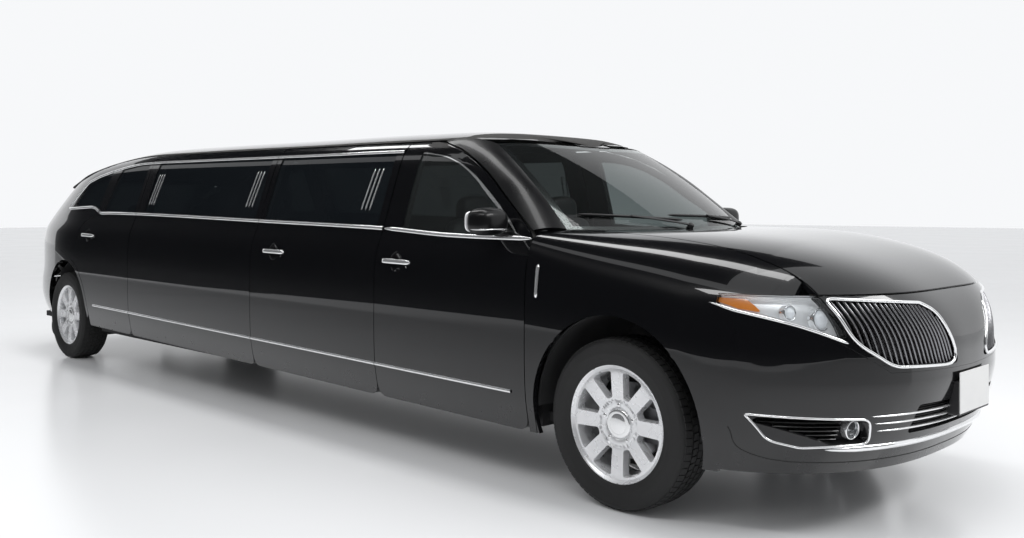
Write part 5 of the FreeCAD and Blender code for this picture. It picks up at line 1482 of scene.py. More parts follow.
def panel_outline(scale: float = 1.0) -> Array:
    """Border of the panel round the grille, as nose coordinates."""
    loop = resampled(rounded(PANEL_LINE, (14.0, 30.0, 0.0, 0.0, 30.0, 14.0, 200.0)), 14.0)
    return in_view(nose_u, *grown(loop, scale).T)


# Bright strips and other sweeps on a chart

def curve(knots: Pairs, count: int = 60) -> Array:
    """Smooth path through flat points, evenly spread by chord length.

    Args:
        knots: flat points to pass through.
        count: number of points.

    Returns:
        The path, each coordinate a smooth cubic of the chord length.
    """
    spots = np.array(knots, float)
    runs = np.concatenate([[0.0], np.cumsum(np.linalg.norm(np.diff(spots, axis=0), axis=1))])
    share = np.linspace(0.0, runs[-1], count)
    return stack(*(through(list(zip(runs, spots[:, axis])), share) for axis in range(2)))


def laid(chart: Chart, flat: Array, away: float, lift: float = PROUD) -> tuple[Array, Array]:
    """Points on a chart and the outer normals there."""
    normals = chart_normals(chart, flat, away)
    return chart(flat[:, 0], flat[:, 1]) + normals * lift, normals


def strip(chart: Chart, flat: Array, away: float, profile: Pairs, closed: bool = False, taper: bool = False,
          lift: float = PROUD) -> Mesh:
    """Sweep a profile along a flat path of a chart."""
    points, normals = laid(chart, flat, away, lift)
    return sweep(points, normals, profile, closed, taper)


def between(path: Array, rear: float, front: float) -> Array:
    """The part of a side path between two stations, with ends cut exactly.

    Args:
        path: path along the side.
        rear: rear station.
        front: front station.

    Returns:
        The cut path, from rear to front.
    """
    order = np.argsort(path[:, 0])
    x, v = path[order, 0], path[order, 1]
    inner = (x > rear) & (x < front)
    spots = np.concatenate([[max(rear, x[0])], x[inner], [min(front, x[-1])]])
    return stack(spots, np.interp(spots, x, v))


TOP_CHROME = tuple((station(x), z) for x, z in (
    (-574, 1152), (-661, 1221), (-764, 1297), (-870, 1366), (-994, 1452), (-1131, 1522), (-1265, 1565),
    (-1412, 1585), (-1627, 1594), (-2627, 1593), (-4234, 1592), (-4911, 1586), (-5200, 1564), (-5447, 1531)))
QUARTER_CHROME = tuple((station(x), z) for x, z in (
    (-5452, 1530), (-5678, 1491), (-5880, 1440), (-6172, 1214), (-5640, 1236), (-5560, 1228), (-5456, 1197)))
SIDE_BODIES = {
    Side.RIGHT: (("front_door_right", -1637.0, -505.0), ("fifth_door", -2937.0, -1643.0),
              ("chassis", -4747.0, -2943.0), ("rear_door_right", -5444.0, -4753.0)),
    Side.LEFT: (("front_door_left", -1637.0, -505.0), ("chassis", -4747.0, -1643.0),
             ("rear_door_left", -5444.0, -4753.0)),
}
HANDLES = {"front_door": (station(-1460.0), 1010.0), "fifth_door": (station(-2675.0), 1025.0),
           "rear_door": (station(-5535.0), 1067.0)}


def side_mesh(mesh: Mesh, side: Side) -> Mesh:
    """A right-hand mesh, or its mirror image for the left."""
    return mesh if side is Side.RIGHT else mesh.mirrored()


# Body panels

GAP = 2.5
DOOR_FRONT = station(-500.0)
DOOR_REAR = station(-1640.0)
FIFTH_REAR = station(-2940.0)
REAR_FRONT = station(-4750.0)
REAR_REAR = station(-5715.0)
LOW = 262.0
TOP = 1643.0
BELT_LINE = tuple((station(x), z) for x, z in (
    (-6170, 1216), (-5640, 1236), (-5560, 1228), (-5450, 1196), (-5400, 1188), (-5255, 1191), (-4494, 1193),
    (-2857, 1180), (-1637, 1169), (-1100, 1150), (-470, 1152)))
DOOR_NOSE = ((-528.0, 1178.0), (-640.0, 1268.0), (-760.0, 1352.0), (-900.0, 1452.0), (-1040.0, 1528.0),
             (-1180.0, 1588.0), (-1330.0, 1628.0))
GLASS_NOSE = ((-665.0, 1224.0), (-764.0, 1300.0), (-870.0, 1372.0), (-994.0, 1452.0), (-1131.0, 1519.0),
              (-1265.0, 1561.0), (-1412.0, 1582.0))


def flat_arch(x: Array, z: Array) -> Array:
    """Side coordinates, rake taken off, of real places."""
    return stack(x, z - Form.rake(x))


def arc_points(centre: float, radius: float, start: float, stop: float, count: int = 24) -> Array:
    """Points round a wheel arch, angles in degrees from the car's front."""
    angles = np.radians(np.linspace(start, stop, count))
    return stack(centre + radius * np.cos(angles), ARCH_LEVEL + radius * np.sin(angles))


@dataclass
class SideDoor:
    """A side door: its painted skin, pane and handle.

    Attributes:
        name: node of the door.
        glass: node of its pane.
        body: CAD body.
        front: station of its front edge.
        rear: station of its rear edge.
        nose: whether its front upper edge follows the windscreen pillar.
        arch: whether its rear edge follows the rear wheel arch.
    """

    name: str
    glass: str
    body: str
    front: float
    rear: float
    nose: bool = False
    arch: bool = False

    def outline(self) -> Array:
        """Border of the painted skin.

        Returns:
            A closed outline in side coordinates, its corners rounded.
        """
        left, right = self.front - GAP, self.rear + GAP
        if self.arch:
            arch = flat_arch(*arc_points(REAR_AXLE, 503.0, 70.0, 4.0, 16).T)
            arch = arch[arch[:, 1] > LOW + 8.0]
            tops = np.linspace(left, self.rear + 341.0, 14)
            upper = stack(tops, Form.top_line(tops))
            corners = np.vstack([[(left, LOW)], upper, [(self.rear + 266.0, 1190.0),
                                                        (self.rear + 29.0, 1108.0)],
                                 arch, [(arch[-1, 0], LOW)]])
            radii = [70.0] + [0.0] * len(upper) + [60.0, 90.0] + [0.0] * len(arch) + [20.0]
            return rounded(corners, radii)
        if self.nose:
            points = [(left, LOW), (left, 1120.0), *[(station(x), z) for x, z in DOOR_NOSE],
                      (station(-1400.0), TOP)]
            radii = [70.0, 60.0, *[60.0] * len(DOOR_NOSE), 100.0]
        else:
            points = [(left, LOW), (left, TOP)]
            radii = [70.0, 6.0]
        points += [(right + 5.0, TOP), (right, 1000.0), (right, LOW)]
        return rounded(points, radii + [6.0, 0.0, 70.0])

    def window(self) -> Array:
        """Edge of the window.

        Returns:
            A closed outline in side coordinates, its foot along the belt line.
        """
        high = GLASS_TOP
        if self.nose:
            start = station(-598.0)
            upper = [(station(x), z) for x, z in GLASS_NOSE] + [(station(-1450.0), high)]
            rear = self.rear + 160.0
        elif self.arch:
            start = station(-4800.0)
            upper = [(start, high), (start - 200.0, high), (station(-5272.0), high - 32.0)]
            rear = station(-5385.0)
        else:
            start, rear = self.front - 60.0, self.rear + 55.0
            upper = [(start, high), (rear, high)]
        if self.nose:
            upper.append((rear, high))
        x = np.linspace(rear, start, 12)
        lower = stack(x, through(BELT_LINE, x) + 7.0)
        return np.vstack([np.array(upper, float), lower])

    def build(self, sides: Iterable[Side]) -> None:
        """Add the door on each named side.

        Args:
            sides: sides of the car.
        """
        window = self.window()
        handle = DoorHandle()
        skin = Patch(side_chart, self.outline(), [window, handle.hole(*HANDLES[self.name])]).mesh()
        pane = Patch(side_chart, grown(window, 1.012), step=40.0, **PANE).mesh()
        for side in sides:
            body = self.body.format(side=side)
            show(f"{self.name}_{side}_skin", side_mesh(skin, side), PAINT, body)
            show(f"{self.glass}_{side}_pane", side_mesh(pane, side),
                 FRONT_GLASS if self.nose else DARK_GLASS, body, [f"{self.glass}_{side}"])
            paint_node(f"{self.name}_{side}", DOOR_BODY)
            handle.build(self.name, side, body)


DOORS = (
    SideDoor("front_door", "front_door_glass", "front_door_{side}", DOOR_FRONT, DOOR_REAR, nose=True),
    SideDoor("fifth_door", "fifth_door_glass", "fifth_door", DOOR_REAR, FIFTH_REAR),
    SideDoor("rear_door", "rear_door_glass", "rear_door_{side}", REAR_FRONT, REAR_REAR, arch=True),
)


@dataclass
class BodyShell:
    """The fixed painted panels, the hood and the liftgate.

    Attributes:
        arch: radius of the front wheel arches.
        quarter_arch: radius of the rear wheel arches.
        door_arch: radius of the quarter panel's edge at the rear door.
    """

    arch: float = 454.0
    quarter_arch: float = 461.0
    door_arch: float = 497.0

    def build(self) -> None:
        """Add every panel."""
        for door in DOORS:
            door.build([Side.RIGHT] if door.name == "fifth_door" else Side)
        self.stretch()
        self.fenders()
        self.hood()
        self.roof()
        self.pillars()
        self.quarters()
        self.nose()
        self.tail()

    def stretch(self) -> None:
        """Long fixed panels behind the doors; the left one starts at the front door."""
        for side, front in ((Side.RIGHT, FIFTH_REAR), (Side.LEFT, DOOR_REAR)):
            left, right = front - GAP, REAR_FRONT + GAP
            outline = rounded([(left, LOW), (left, TOP + 7.0), (right, TOP + 7.0), (right, LOW)],
                              [40.0, 0.0, 0.0, 40.0])
            x = np.linspace(REAR_FRONT + 120.0, front - 60.0, 14)
            window = np.vstack([[(front - 60.0, GLASS_TOP), (REAR_FRONT + 120.0, GLASS_TOP)],
                                stack(x, through(BELT_LINE, x) + 7.0)])
            skin = Patch(side_chart, outline, [window]).mesh()
            pane = Patch(side_chart, grown(window, 1.008), step=40.0, **PANE).mesh()
            show(f"stretch_{side}_skin", side_mesh(skin, side), PAINT)
            show(f"stretch_{side}_pane", side_mesh(pane, side), DARK_GLASS, replaces=["stretch_glass"])
        paint_node("stretch_panels", DOOR_BODY)

    def fenders(self) -> None:
        """Front fenders from the hood's edge to the sill."""
        rear, front = DOOR_FRONT + GAP, station(500.0) + 1.5
        low = lambda x: fender_v(x, LOW + 0 * x)
        x_top = np.linspace(rear, station(712.0), 30)
        top = stack(x_top, fender_v_of_width(x_top, 722.5 + 0 * x_top))
        x_lamp = np.linspace(station(712.0), front, 10)
        lamp = stack(x_lamp, fender_v(x_lamp, 961.0 + 0 * x_lamp))
        arch = arc_points(AXLE, self.arch, 0.0, 180.0, 40)
        arch = arch[arch[:, 1] > LOW]
        joint = self._arch_joint(front)
        arch = arch[arch[:, 0] < front - 1.0]
        arch_v = stack(arch[:, 0], fender_v(arch[:, 0], arch[:, 1]))
        feet_x = np.array([arch[-1, 0], rear])
        feet = stack(feet_x, low(feet_x))
        border = np.vstack([top, lamp[1:], joint, arch_v, feet])
        skin = Patch(fender_chart, border, step=16.0).mesh()
        show("front_fender_skins", both(skin), PAINT)
        paint_node("front_fenders", PAINT)

    def _arch_joint(self, front: float) -> Array:
        """Front edge of a fender, from the lamp down to the wheel arch or past it.

        Args:
            front: station of the edge.

        Returns:
            The edge in fender coordinates, from the top down.
        """
        height = 384.0
        if front - AXLE < self.arch:
            height = ARCH_LEVEL + math.sqrt(max(self.arch ** 2 - (front - AXLE) ** 2, 0.0))
        z = np.linspace(955.0, max(height, 270.0), 14)
        x = np.full_like(z, front)
        return stack(x, fender_v(x, z))

    def hood(self) -> None:
        """Hood with its bowed rear edge and its front edge above the grille."""
        y = np.linspace(-717.0, 717.0, 41)
        rear = stack(station(-100.0) - 275.0 * (y / 720.0) ** 2, y)
        front_y = y[::-1]
        front = stack(Form.nose_reach(front_y, 963.0 + 0 * y), front_y)
        skin = Patch(hood_chart, np.vstack([rear, front]), step=20.0, rim=10.0).mesh()
        show("hood_skin", skin, PAINT, "hood")
        paint_node("hood", PAINT)

    def roof(self) -> None:
        """Roof from the windscreen to the liftgate."""
        points = roof_grid()
        show("roof_skin", grid_mesh(points, flip=True), PAINT)
        paint_node("roof", DOOR_BODY)

    def pillars(self) -> None:
        """Windscreen pillars and windscreen."""
        show("screen_pillar_skins", both(grid_mesh(pillar_grid())), SHADED_PAINT)
        paint_node("screen_pillars", SHADED_PAINT)
        glass = grid_mesh(screen_grid())
        show("windscreen_pane", glass, CLEAR_GLASS, replaces=["windscreen"])

    def quarters(self) -> None:
        """Quarter panels behind the rear doors, their glass and the tail's corners."""
        rear = station(-6858.0)
        tops = np.linspace(REAR_REAR + 347.0, rear, 30)
        top = stack(tops, Form.top_line(tops) + 8.0)
        bottom = stack(np.array([rear, rear]), np.array([635.0, 352.0]) - Form.rake(np.array([rear, rear])))
        arch = arc_points(REAR_AXLE, self.quarter_arch, 180.0, 0.0, 44)
        inner = arc_points(REAR_AXLE, self.door_arch, 4.0, 70.0, 14)
        arch = arch[arch[:, 1] > 362.0]
        inner = inner[inner[:, 1] > 390.0]
        lines = np.vstack([flat_arch(*arch.T), flat_arch(*inner.T)])
        edge = np.array([(REAR_REAR + 22.0, 1112.0), (REAR_REAR + 258.0, 1195.0)])
        outline = np.vstack([top, bottom, lines, edge])
        window = rounded([(station(-5492.0), 1196.0), (station(-5440.0), 1540.0), (station(-5640.0), 1508.0),
                          (station(-5850.0), 1455.0), (station(-6040.0), 1226.0), (station(-5640.0), 1246.0),
                          (station(-5560.0), 1238.0)], [14.0, 14.0, 300.0, 90.0, 30.0, 60.0, 40.0])
        skin = Patch(side_chart, outline, [window], step=18.0).mesh()
        pane = Patch(side_chart, grown(window, 1.03), step=40.0, **PANE).mesh()
        show("quarter_skins", both(skin), PAINT)
        show("quarter_panes", both(pane), DARK_GLASS, replaces=["quarter_glass"])
        paint_node("quarter_panels", PAINT)

    def nose(self) -> None:
        """Bumper skin and the panel round the grille halves, both trimmed in the front view."""
        z = np.linspace(275.0, 955.0, 24)
        side_x = station(500.0) - 1.5 + 0 * z
        side = stack(TURN * np.arctan2(Form.nose_half(side_x, z), side_x - NOSE_HUB), z)
        left = side * np.array([-1.0, 1.0])
        bottom_u = np.linspace(side[0, 0], left[0, 0], 40)
        outline = np.vstack([side, left[::-1], stack(bottom_u[::-1][1:-1], 275.0 + 0 * bottom_u[1:-1])])
        holes = []
        for line in (LAMP_LINE, FOG_LINE):
            for sign in (1.0, -1.0):
                holes.append(front_outline(line, 12.0, sign))
        holes.append(front_outline(INTAKE_LINE, 20.0, 1.0))
        holes.append(panel_outline())
        skin = Patch(nose_chart, outline, holes, step=15.0, away=-1.0).mesh()
        show("front_bumper_skin", skin, PAINT)
        paint_node("front_bumper", PAINT)
        ring = [front_outline(GRILLE_LINE, 26.0, sign) for sign in (1.0, -1.0)] + holes[:2]
        panel = Patch(nose_chart, panel_outline(0.994), ring, step=12.0, away=-1.0).mesh()
        show("nose_panel_skin", panel, PAINT)
        paint_node("nose_panel", PAINT)

    def tail(self) -> None:
        """Liftgate, corner panels and rear bumper."""
        corner_z = np.linspace(640.0, 1495.0, 30)
        show("rear_corner_skins", both(grid_mesh(corner_grid(corner_z))), PAINT)
        paint_node("rear_corner_panels", PAINT)
        window = rear_outline(REAR_WINDOW, 40.0)
        lamps = rear_outline(box(646.0, 1013.0, 1127.0), 8.0)
        seat = rear_outline(box(165.0, 752.0, 928.0), 4.0)
        skin = Patch(tail_chart, gate_outline(), [window, lamps, seat], step=16.0).mesh()
        show("liftgate_skin", skin, PAINT, "liftgate")
        pane = Patch(tail_chart, grown(window, 1.01), step=30.0, **PANE).mesh()
        show("rear_pane", pane, DARK_GLASS, "liftgate", ["rear_glass"])
        paint_node("liftgate", PAINT)
        paint_node("rear_bumper", PAINT)


# Bright trim, handles and mirrors

@dataclass
class BrightTrim:
    """Chrome strips of the sides, the bars on the glass and the fender bar.

    Attributes:
        belt_width: width of the strip below the windows.
        top_width: width of the strip above the windows.
        rocker_width: width of the strip low on the doors.
        bar_width: width of a slanted bar.
    """

    belt_width: float = 22.0
    top_width: float = 19.0
    rocker_width: float = 18.0
    bar_width: float = 10.0

    def build(self) -> None:
        """Add the trim on both sides."""
        for side, spans in SIDE_BODIES.items():
            for body, rear, front in spans:
                self._span(side, body, station(rear), station(front))
            self._quarter(side)
            self._bars(side)
        self._fender_bars()

    def _span(self, side: Side, body: str, rear: float, front: float) -> None:
        """Belt, top and rocker strips over one body of a side.

        Args:
            side: side of the car.
            body: body that carries the strips.
            rear: rear station.
            front: front station.
        """
        belt = between(stack(*np.array(BELT_LINE).T), rear, front)
        x = np.linspace(belt[0, 0], belt[-1, 0], 60)
        belt = stack(x, through(BELT_LINE, x))
        meshes = [strip(side_chart, belt, 1.0, bead(self.belt_width, 7.0), taper=body.startswith("front"))]
        top = between(curve(TOP_CHROME, 160), rear, front)
        if body.startswith("front"):
            whole = curve(TOP_CHROME, 160)
            top = whole[(whole[:, 0] > rear)]
            wide = np.interp(top[:, 0], [station(-1412.0), station(-1000.0)], [1.05, 1.6])
            points, normals = laid(side_chart, top, -1.0)
            meshes.append(sweep(points, normals, bead(self.top_width, 7.0), scale=wide))
        else:
            meshes.append(strip(side_chart, top, 1.0, bead(self.top_width, 7.0)))
        ends = max(rear, station(-5425.0)), min(front, station(-593.0))
        x = np.linspace(*ends, 40)
        rocker = stack(x, 437.0 + 0 * x)
        meshes.append(strip(side_chart, rocker, 1.0, bead(self.rocker_width, 7.0)))
        show(f"trim_{body}_{side}", side_mesh(joined(meshes), side), CHROME, body)

    def _quarter(self, side: Side) -> None:
        """Strip round the quarter glass.

        Args:
            side: side of the car.
        """
        path = rounded(QUARTER_CHROME, (0.0, 300.0, 160.0, 26.0, 60.0, 50.0, 0.0), 9)
        path = resampled(path, 12.0)
        keep = within_gap(path)
        mesh = strip(side_chart, keep, 1.0, bead(self.belt_width, 7.0))
        show(f"trim_quarter_{side}", side_mesh(mesh, side), CHROME)

    def _bars(self, side: Side) -> None:
        """Three sets of three slanted bars on the glass.

        Args:
            side: side of the car.
        """
        sets = ((-1785.0, "fifth_door" if side is Side.RIGHT else "chassis"), (-3060.0, "chassis"),
                (-4494.0, "chassis"))
        for number, (first, body) in enumerate(sets):
            meshes = []
            for index in range(3):
                top = station(first - 38.0 * index)
                path = stack(np.linspace(top, top - 32.0, 14), np.linspace(1504.0, 1265.0, 14))
                meshes.append(strip(side_chart, path, 1.0, bead(self.bar_width, 4.0), taper=True, lift=-3.0))
            show(f"glass_bars_{number}_{side}", side_mesh(joined(meshes), side), CHROME, body)

    @staticmethod
    def _fender_bars() -> None:
        """Upright bar on each front fender."""
        z = np.linspace(885.0, 1040.0, 20)
        x = np.full_like(z, station(-430.0))
        path = stack(x, fender_v(x, z))
        show("fender_bars", both(strip(fender_chart, path, 1.0, bead(16.0, 7.0), taper=True)), CHROME)


def within_gap(path: Array) -> Array:
    """Drop the straight closing run of a resampled path, so that it stays open at the door.

    Args:
        path: closed path.

    Returns:
        The open path.
    """
    start, stop = np.array(QUARTER_CHROME[0]), np.array(QUARTER_CHROME[-1])
    along = (stop - start) / np.linalg.norm(stop - start)
    offset = path - start
    across = np.abs(offset[:, 0] * along[1] - offset[:, 1] * along[0])
    kept = np.flatnonzero((across > 1.0) | (np.linalg.norm(offset, axis=1) < 1.0))
    return path[kept]


@dataclass
class DoorHandle:
    """Grip over a round hollow, with a key spot.

    Attributes:
        length: length of the grip.
        stand: how far the grip stands off.
        ball: radius of the hollow's sphere.
        depth: depth of the hollow.
    """

    length: float = 235.0
    stand: float = 20.0
    ball: float = 75.0
    depth: float = 22.0

    @property
    def rim(self) -> float:
        """Radius of the hollow at the skin."""
        return math.sqrt(self.ball ** 2 - (self.ball - self.depth) ** 2)

    def hole(self, x: float, height: float) -> Array:
        """Opening of the hollow in the door's skin.

        Args:
            x: station of its middle.
            height: height of its middle.

        Returns:
            A circle in side coordinates.
        """
        angles = np.linspace(0.0, 2 * math.pi, 40, endpoint=False)
        flat = height - float(Form.rake(np.array(x)))
        return stack(x + self.rim * np.cos(angles), flat + self.rim * np.sin(angles))

    def build(self, door: str, side: Side, body: str) -> None:
        """Add one handle.

        Args:
            door: name of the door.
            side: side of the car.
            body: body that carries it.
        """
        x, height = HANDLES[door]
        flat = height - float(Form.rake(np.array(x)))
        radius = np.linspace(self.rim, 0.5, 12)[:, None]
        angle = np.linspace(0.0, 2 * math.pi, 48, endpoint=False)[None]
        spots = stack(x + radius * np.cos(angle), flat + radius * np.sin(angle)).reshape(-1, 2)
        points, normals = laid(side_chart, spots, 1.0, 0.0)
        reach = np.linalg.norm(spots - (x, flat), axis=1)
        sink = np.sqrt(self.ball ** 2 - reach ** 2) - self.ball + self.depth
        points = points - normals * (sink - 1.2)[:, None]
        bowl = grid_mesh(points.reshape(12, 48, 3), wrap_v=True)
        if np.mean(bowl.normals[:, 1]) > 0:
            bowl = grid_mesh(points.reshape(12, 48, 3), wrap_v=True, flip=True)
        show(f"handle_bowl_{door}_{side}", side_mesh(bowl, side), PAINT, body)
        place = np.linspace(-0.5, 0.5, 30)
        path = stack(x + place * self.length, flat + 0 * place)
        points, normals = laid(side_chart, path, 1.0, 0.0)
        points = points + normals * (self.stand * (1.0 - (2 * np.abs(place)) ** 6) + 1.0)[:, None]
        grip = sweep(points, normals, oval(13.0, 5.0, 14), taper=True)
        spots = np.array([(x + 88.0, flat), (x + 92.0, flat)]) + [0.0, -24.0]
        key = strip(side_chart, spots, 1.0, bead(8.0, 2.0))
        show(f"handle_{door}_{side}", side_mesh(grip + key, side), CHROME, body)


@dataclass
class Mirror:
    """Door mirror: housing, foot, glass and bright strip.

    Attributes:
        centre: middle of the housing, right-hand side.
        half: half sizes of the housing.
    """

    centre: tuple[float, float, float] = (station(-705.0), -1008.0, 1231.0)
    half: tuple[float, float, float] = (72.0, 98.0, 66.0)

    def build(self) -> None:
        """Add both mirrors."""
        x, y, z = self.centre
        housing = pebble(self.centre, self.half, 3.0, 30)
        foot = pebble((x + 6.0, -905.0, 1176.0), (44.0, 50.0, 20.0), 3.0, 16)
        glass = pebble((x - self.half[0] + 3.0, y, z), (6.0, self.half[1] - 16.0, self.half[2] - 15.0),
                       4.0, 16)
        around = np.linspace(math.radians(-100.0), math.radians(100.0), 40)
        low = z - 36.0
        share = (1 - abs((low - z) / self.half[2]) ** 3.0) ** (1 / 3.0)
        bend = lambda value: np.sign(value) * np.abs(value) ** (2 / 3.0)
        path = stack(x + self.half[0] * share * bend(np.cos(around)),
                     y + self.half[1] * share * bend(np.sin(around)), low + 0 * around)
        normals = unit(path - np.array([x, y, low + 8.0]))
        bright = sweep(path, normals, bead(7.0, 2.5), taper=True)
        for side in Side:
            body = f"front_door_{side}"
            show(f"mirror_{side}", side_mesh(housing + foot, side), SHADED_PAINT, body,
                 [f"door_mirror_{side}"])
            # The mirror glass glows a little: painted reflection.
            show(f"mirror_glass_{side}", side_mesh(glass, side), SILVER_PAINTED_GLOW, body)
            show(f"mirror_strip_{side}", side_mesh(bright, side), CHROME, body)


# Front end

@dataclass
class FrontEnd:
    """Grille halves, lamps, fog pockets, intake, bumper bars and plate.

    Attributes:
        slats: slats in each grille half.
    """

    slats: int = 23

    def build(self) -> None:
        """Add the whole front end."""
        self._grille()
        self._headlamps()
        self._fog_pockets()
        self._intake()
        self._lip()
        self._plate()

    def _grille(self) -> None:
        """Both halves: a bright ring, slanted slats and a dark back."""
        outline = front_outline(GRILLE_LINE, 26.0)
        soft = front_outline(GRILLE_LINE, (60.0, 150.0, 150.0, 22.0, 60.0, 120.0))
        ring = strip(nose_chart, soft, -1.0, bead(13.0, 7.0), closed=True)
        back = Patch(nose_chart, outline, step=24.0, away=-1.0, lift=-34.0, rim=-30.0).mesh()
        fin = [(-4.0, -22.0), (4.0, -22.0), (4.5, -3.0), (3.0, 1.5), (0.0, 3.0), (-3.0, 1.5), (-4.5, -3.0)]
        slats = []
        for index in range(self.slats):
            share = (index + 0.35) / self.slats
            rise = np.linspace(0.0, 1.0, 46)
            y = (118.0 + 560.0 * share) * (1 - rise) + (262.0 + 470.0 * share) * rise
            spots = in_view(nose_u, y, 650.0 + 307.0 * rise)
            spots = spots[within(spots, soft)]
            if len(spots) < 4:
                continue
            spots = curve(spots[[0, len(spots) // 2, -1]].tolist(), 16)
            slats.append(strip(nose_chart, spots, -1.0, fin, lift=-6.0))
        show("grille_surrounds", both(ring), CHROME, replaces=["grille"])
        # The slats' darkened chrome is painted shade.
        show("grille_slats", both(joined(slats)), SHADED_CHROME)
        show("grille_backs", both(back), GLOSS_BLACK)

    def _headlamps(self) -> None:
        """Covers, bowls, two ringed bulbs, amber markers and the strip below."""
        outline = front_outline(LAMP_LINE, 12.0)
        lens = Patch(nose_chart, outline, step=14.0, away=-1.0, lift=-0.5, rim=3.0).mesh()
        bowl = Patch(nose_chart, grown(outline, 0.985), step=14.0, away=-1.0, lift=-46.0, rim=-42.0).mesh()
        show("headlamp_covers", both(lens), LAMP_LENS, replaces=["headlamps"])
        # The bowls glow a little: painted reflection.
        show("headlamp_bowls", both(bowl), SILVER_PAINTED_GLOW)
        rings, bulbs = [], []
        for y, z, radius in ((742.0, 880.0, 40.0), (812.0, 905.0, 26.0)):
            point, normal = laid(nose_chart, in_view(nose_u, y, z), -1.0, -34.0)
            forward = unit(normal[0] * 0.5 + np.array([0.9, 0.0, 0.05]))
            turn = facing(forward)
            rings.append(lathe([(radius + 6, -26), (radius + 6, 2), (radius + 1, 5), (radius - 3, 0),
                                (radius - 6, -20)], 48).turned(turn).moved(point[0]))
            bulbs.append(lathe([(radius - 4, -6), (radius * 0.8, 5), (radius * 0.55, 11), (radius * 0.3, 15),
                                (0.1, 16)], 48).turned(turn).moved(point[0]))
        show("headlamp_rings", both(joined(rings)), CHROME)
        show("headlamp_bulbs", both(joined(bulbs)), BULB)
        tip = front_outline(((868.0, 900.0), (872.0, 950.0), (928.0, 952.0), (900.0, 912.0)), 6.0)
        amber = Patch(nose_chart, tip, step=14.0, away=-1.0, lift=-14.0, rim=12.0).mesh()
        show("headlamp_markers", both(amber), AMBER)
        path = curve([(926.0, 926.0), (903.0, 897.0), (800.0, 843.0), (690.0, 784.0)], 50)
        flat = in_view(nose_u, *path.T)
        show("headlamp_strips", both(strip(nose_chart, flat, -1.0, bead(12.0, 6.0), taper=True)), CHROME)

    def _fog_pockets(self) -> None:
        """Pockets with a bright frame, louvres and a ringed lamp."""
        outline = front_outline(FOG_LINE, 18.0)
        wide = front_outline(((572.0, 394.0), (790.0, 384.0), (866.0, 410.0), (914.0, 508.0), (600.0, 493.0)),
                             (24.0, 60.0, 60.0, 5.0, 46.0))
        frame_ring = strip(nose_chart, wide, -1.0, bead(10.0, 6.0), closed=True)
        back = Patch(nose_chart, outline, step=18.0, away=-1.0, lift=-40.0, rim=-38.0).mesh()
        filler = Patch(nose_chart, wide, [outline], step=14.0, away=-1.0, lift=PROUD + 0.6, rim=2.0).mesh()
        show("fog_frames", both(frame_ring), CHROME, replaces=["fog_lamps"])
        show("fog_borders", both(filler), BLACK)
        show("fog_backs", both(back), BLACK)
        blade = [(-4.0, -24.0), (4.0, -24.0), (5.0, -2.0), (-1.0, 0.0)]
        louvres = []
        for z in np.arange(412.0, 500.0, 17.0):
            spots = in_view(nose_u, np.linspace(690.0, 900.0, 40), z)
            spots = spots[within(spots, outline)]
            if len(spots) > 4:
                louvres.append(strip(nose_chart, spots, -1.0, blade, lift=-10.0))
        show("fog_louvres", both(joined(louvres)), GLOSS_BLACK)
        point, normal = laid(nose_chart, in_view(nose_u, 640.0, 442.0), -1.0, -20.0)
        turn = facing(unit(normal[0] * 0.6 + np.array([0.8, 0.0, 0.0])))
        ring = lathe([(39.0, -22.0), (39.0, 3.0), (35.0, 6.0), (32.0, 2.0), (31.0, -14.0), (10.0, -20.0),
                      (0.1, -20.0)], 48)
        lens = lathe([(32.0, 1.0), (24.0, 5.0), (12.0, 8.0), (0.1, 9.0)], 48)
        show("fog_rings", both(ring.turned(turn).moved(point[0])), CHROME)
        show("fog_lenses", both(lens.turned(turn).moved(point[0])), LAMP_LENS)

    def _intake(self) -> None:
        """Lower intake: dark back, three bright bars, the bumper's bright lip and a fine mesh."""
        outline = front_outline(INTAKE_LINE, 20.0)
        back = Patch(nose_chart, outline, step=22.0, away=-1.0, lift=-34.0, rim=-33.0).mesh()
        show("intake_back", back, BLACK, replaces=["intake_grille"])
        bars = []
        for z, half in ((503.0, 597.0), (473.0, 575.0), (443.0, 557.0)):
            path = in_view(nose_u, np.linspace(-half, half, 90), z)
            bars.append(strip(nose_chart, path, -1.0, bead(8.0, 7.0), taper=True))
        path = in_view(nose_u, np.linspace(-718.0, 718.0, 100), 375.0)
        bars.append(strip(nose_chart, path, -1.0, bead(26.0, 11.0), taper=True))
        show("intake_bars", joined(bars), CHROME)
        wire = [(-1.5, -10.0), (1.5, -10.0), (1.5, 0.0), (-1.5, 0.0)]
        y = np.linspace(-384.0, 384.0, 40)
        fine = [strip(nose_chart, in_view(nose_u, y, z), -1.0, wire, lift=-16.0)
                for z in np.arange(424.0, 530.0, 10.0)]
        show("intake_mesh", joined(fine), BLACK)

    @staticmethod
    def _lip() -> None:
        """Seam of the lower lip."""
        line = curve([(930.0, 452.0), (905.0, 372.0), (840.0, 334.0), (700.0, 322.0), (350.0, 318.0),
                      (0.0, 318.0)], 120)
        seam = [(-2.5, 0.0), (-2.0, 0.8), (2.0, 0.8), (2.5, 0.0)]
        show("bumper_lip_seam", both(strip(nose_chart, in_view(nose_u, *line.T), -1.0, seam)), SEAL)

    @staticmethod
    def _plate() -> None:
        """Blank plate and its bracket."""
        paint_node("front_plate", PLATE)
        paint_node("plate_bracket", BLACK)


def facing(direction: Array) -> Array:
    """Matrix that turns the Y axis to a direction, with Z kept as upright as it can be."""
    side = unit(np.cross(direction, np.array([0.0, 0.0, 1.0])))
    return np.stack([side, direction, np.cross(side, direction)], axis=1)


# Wheels

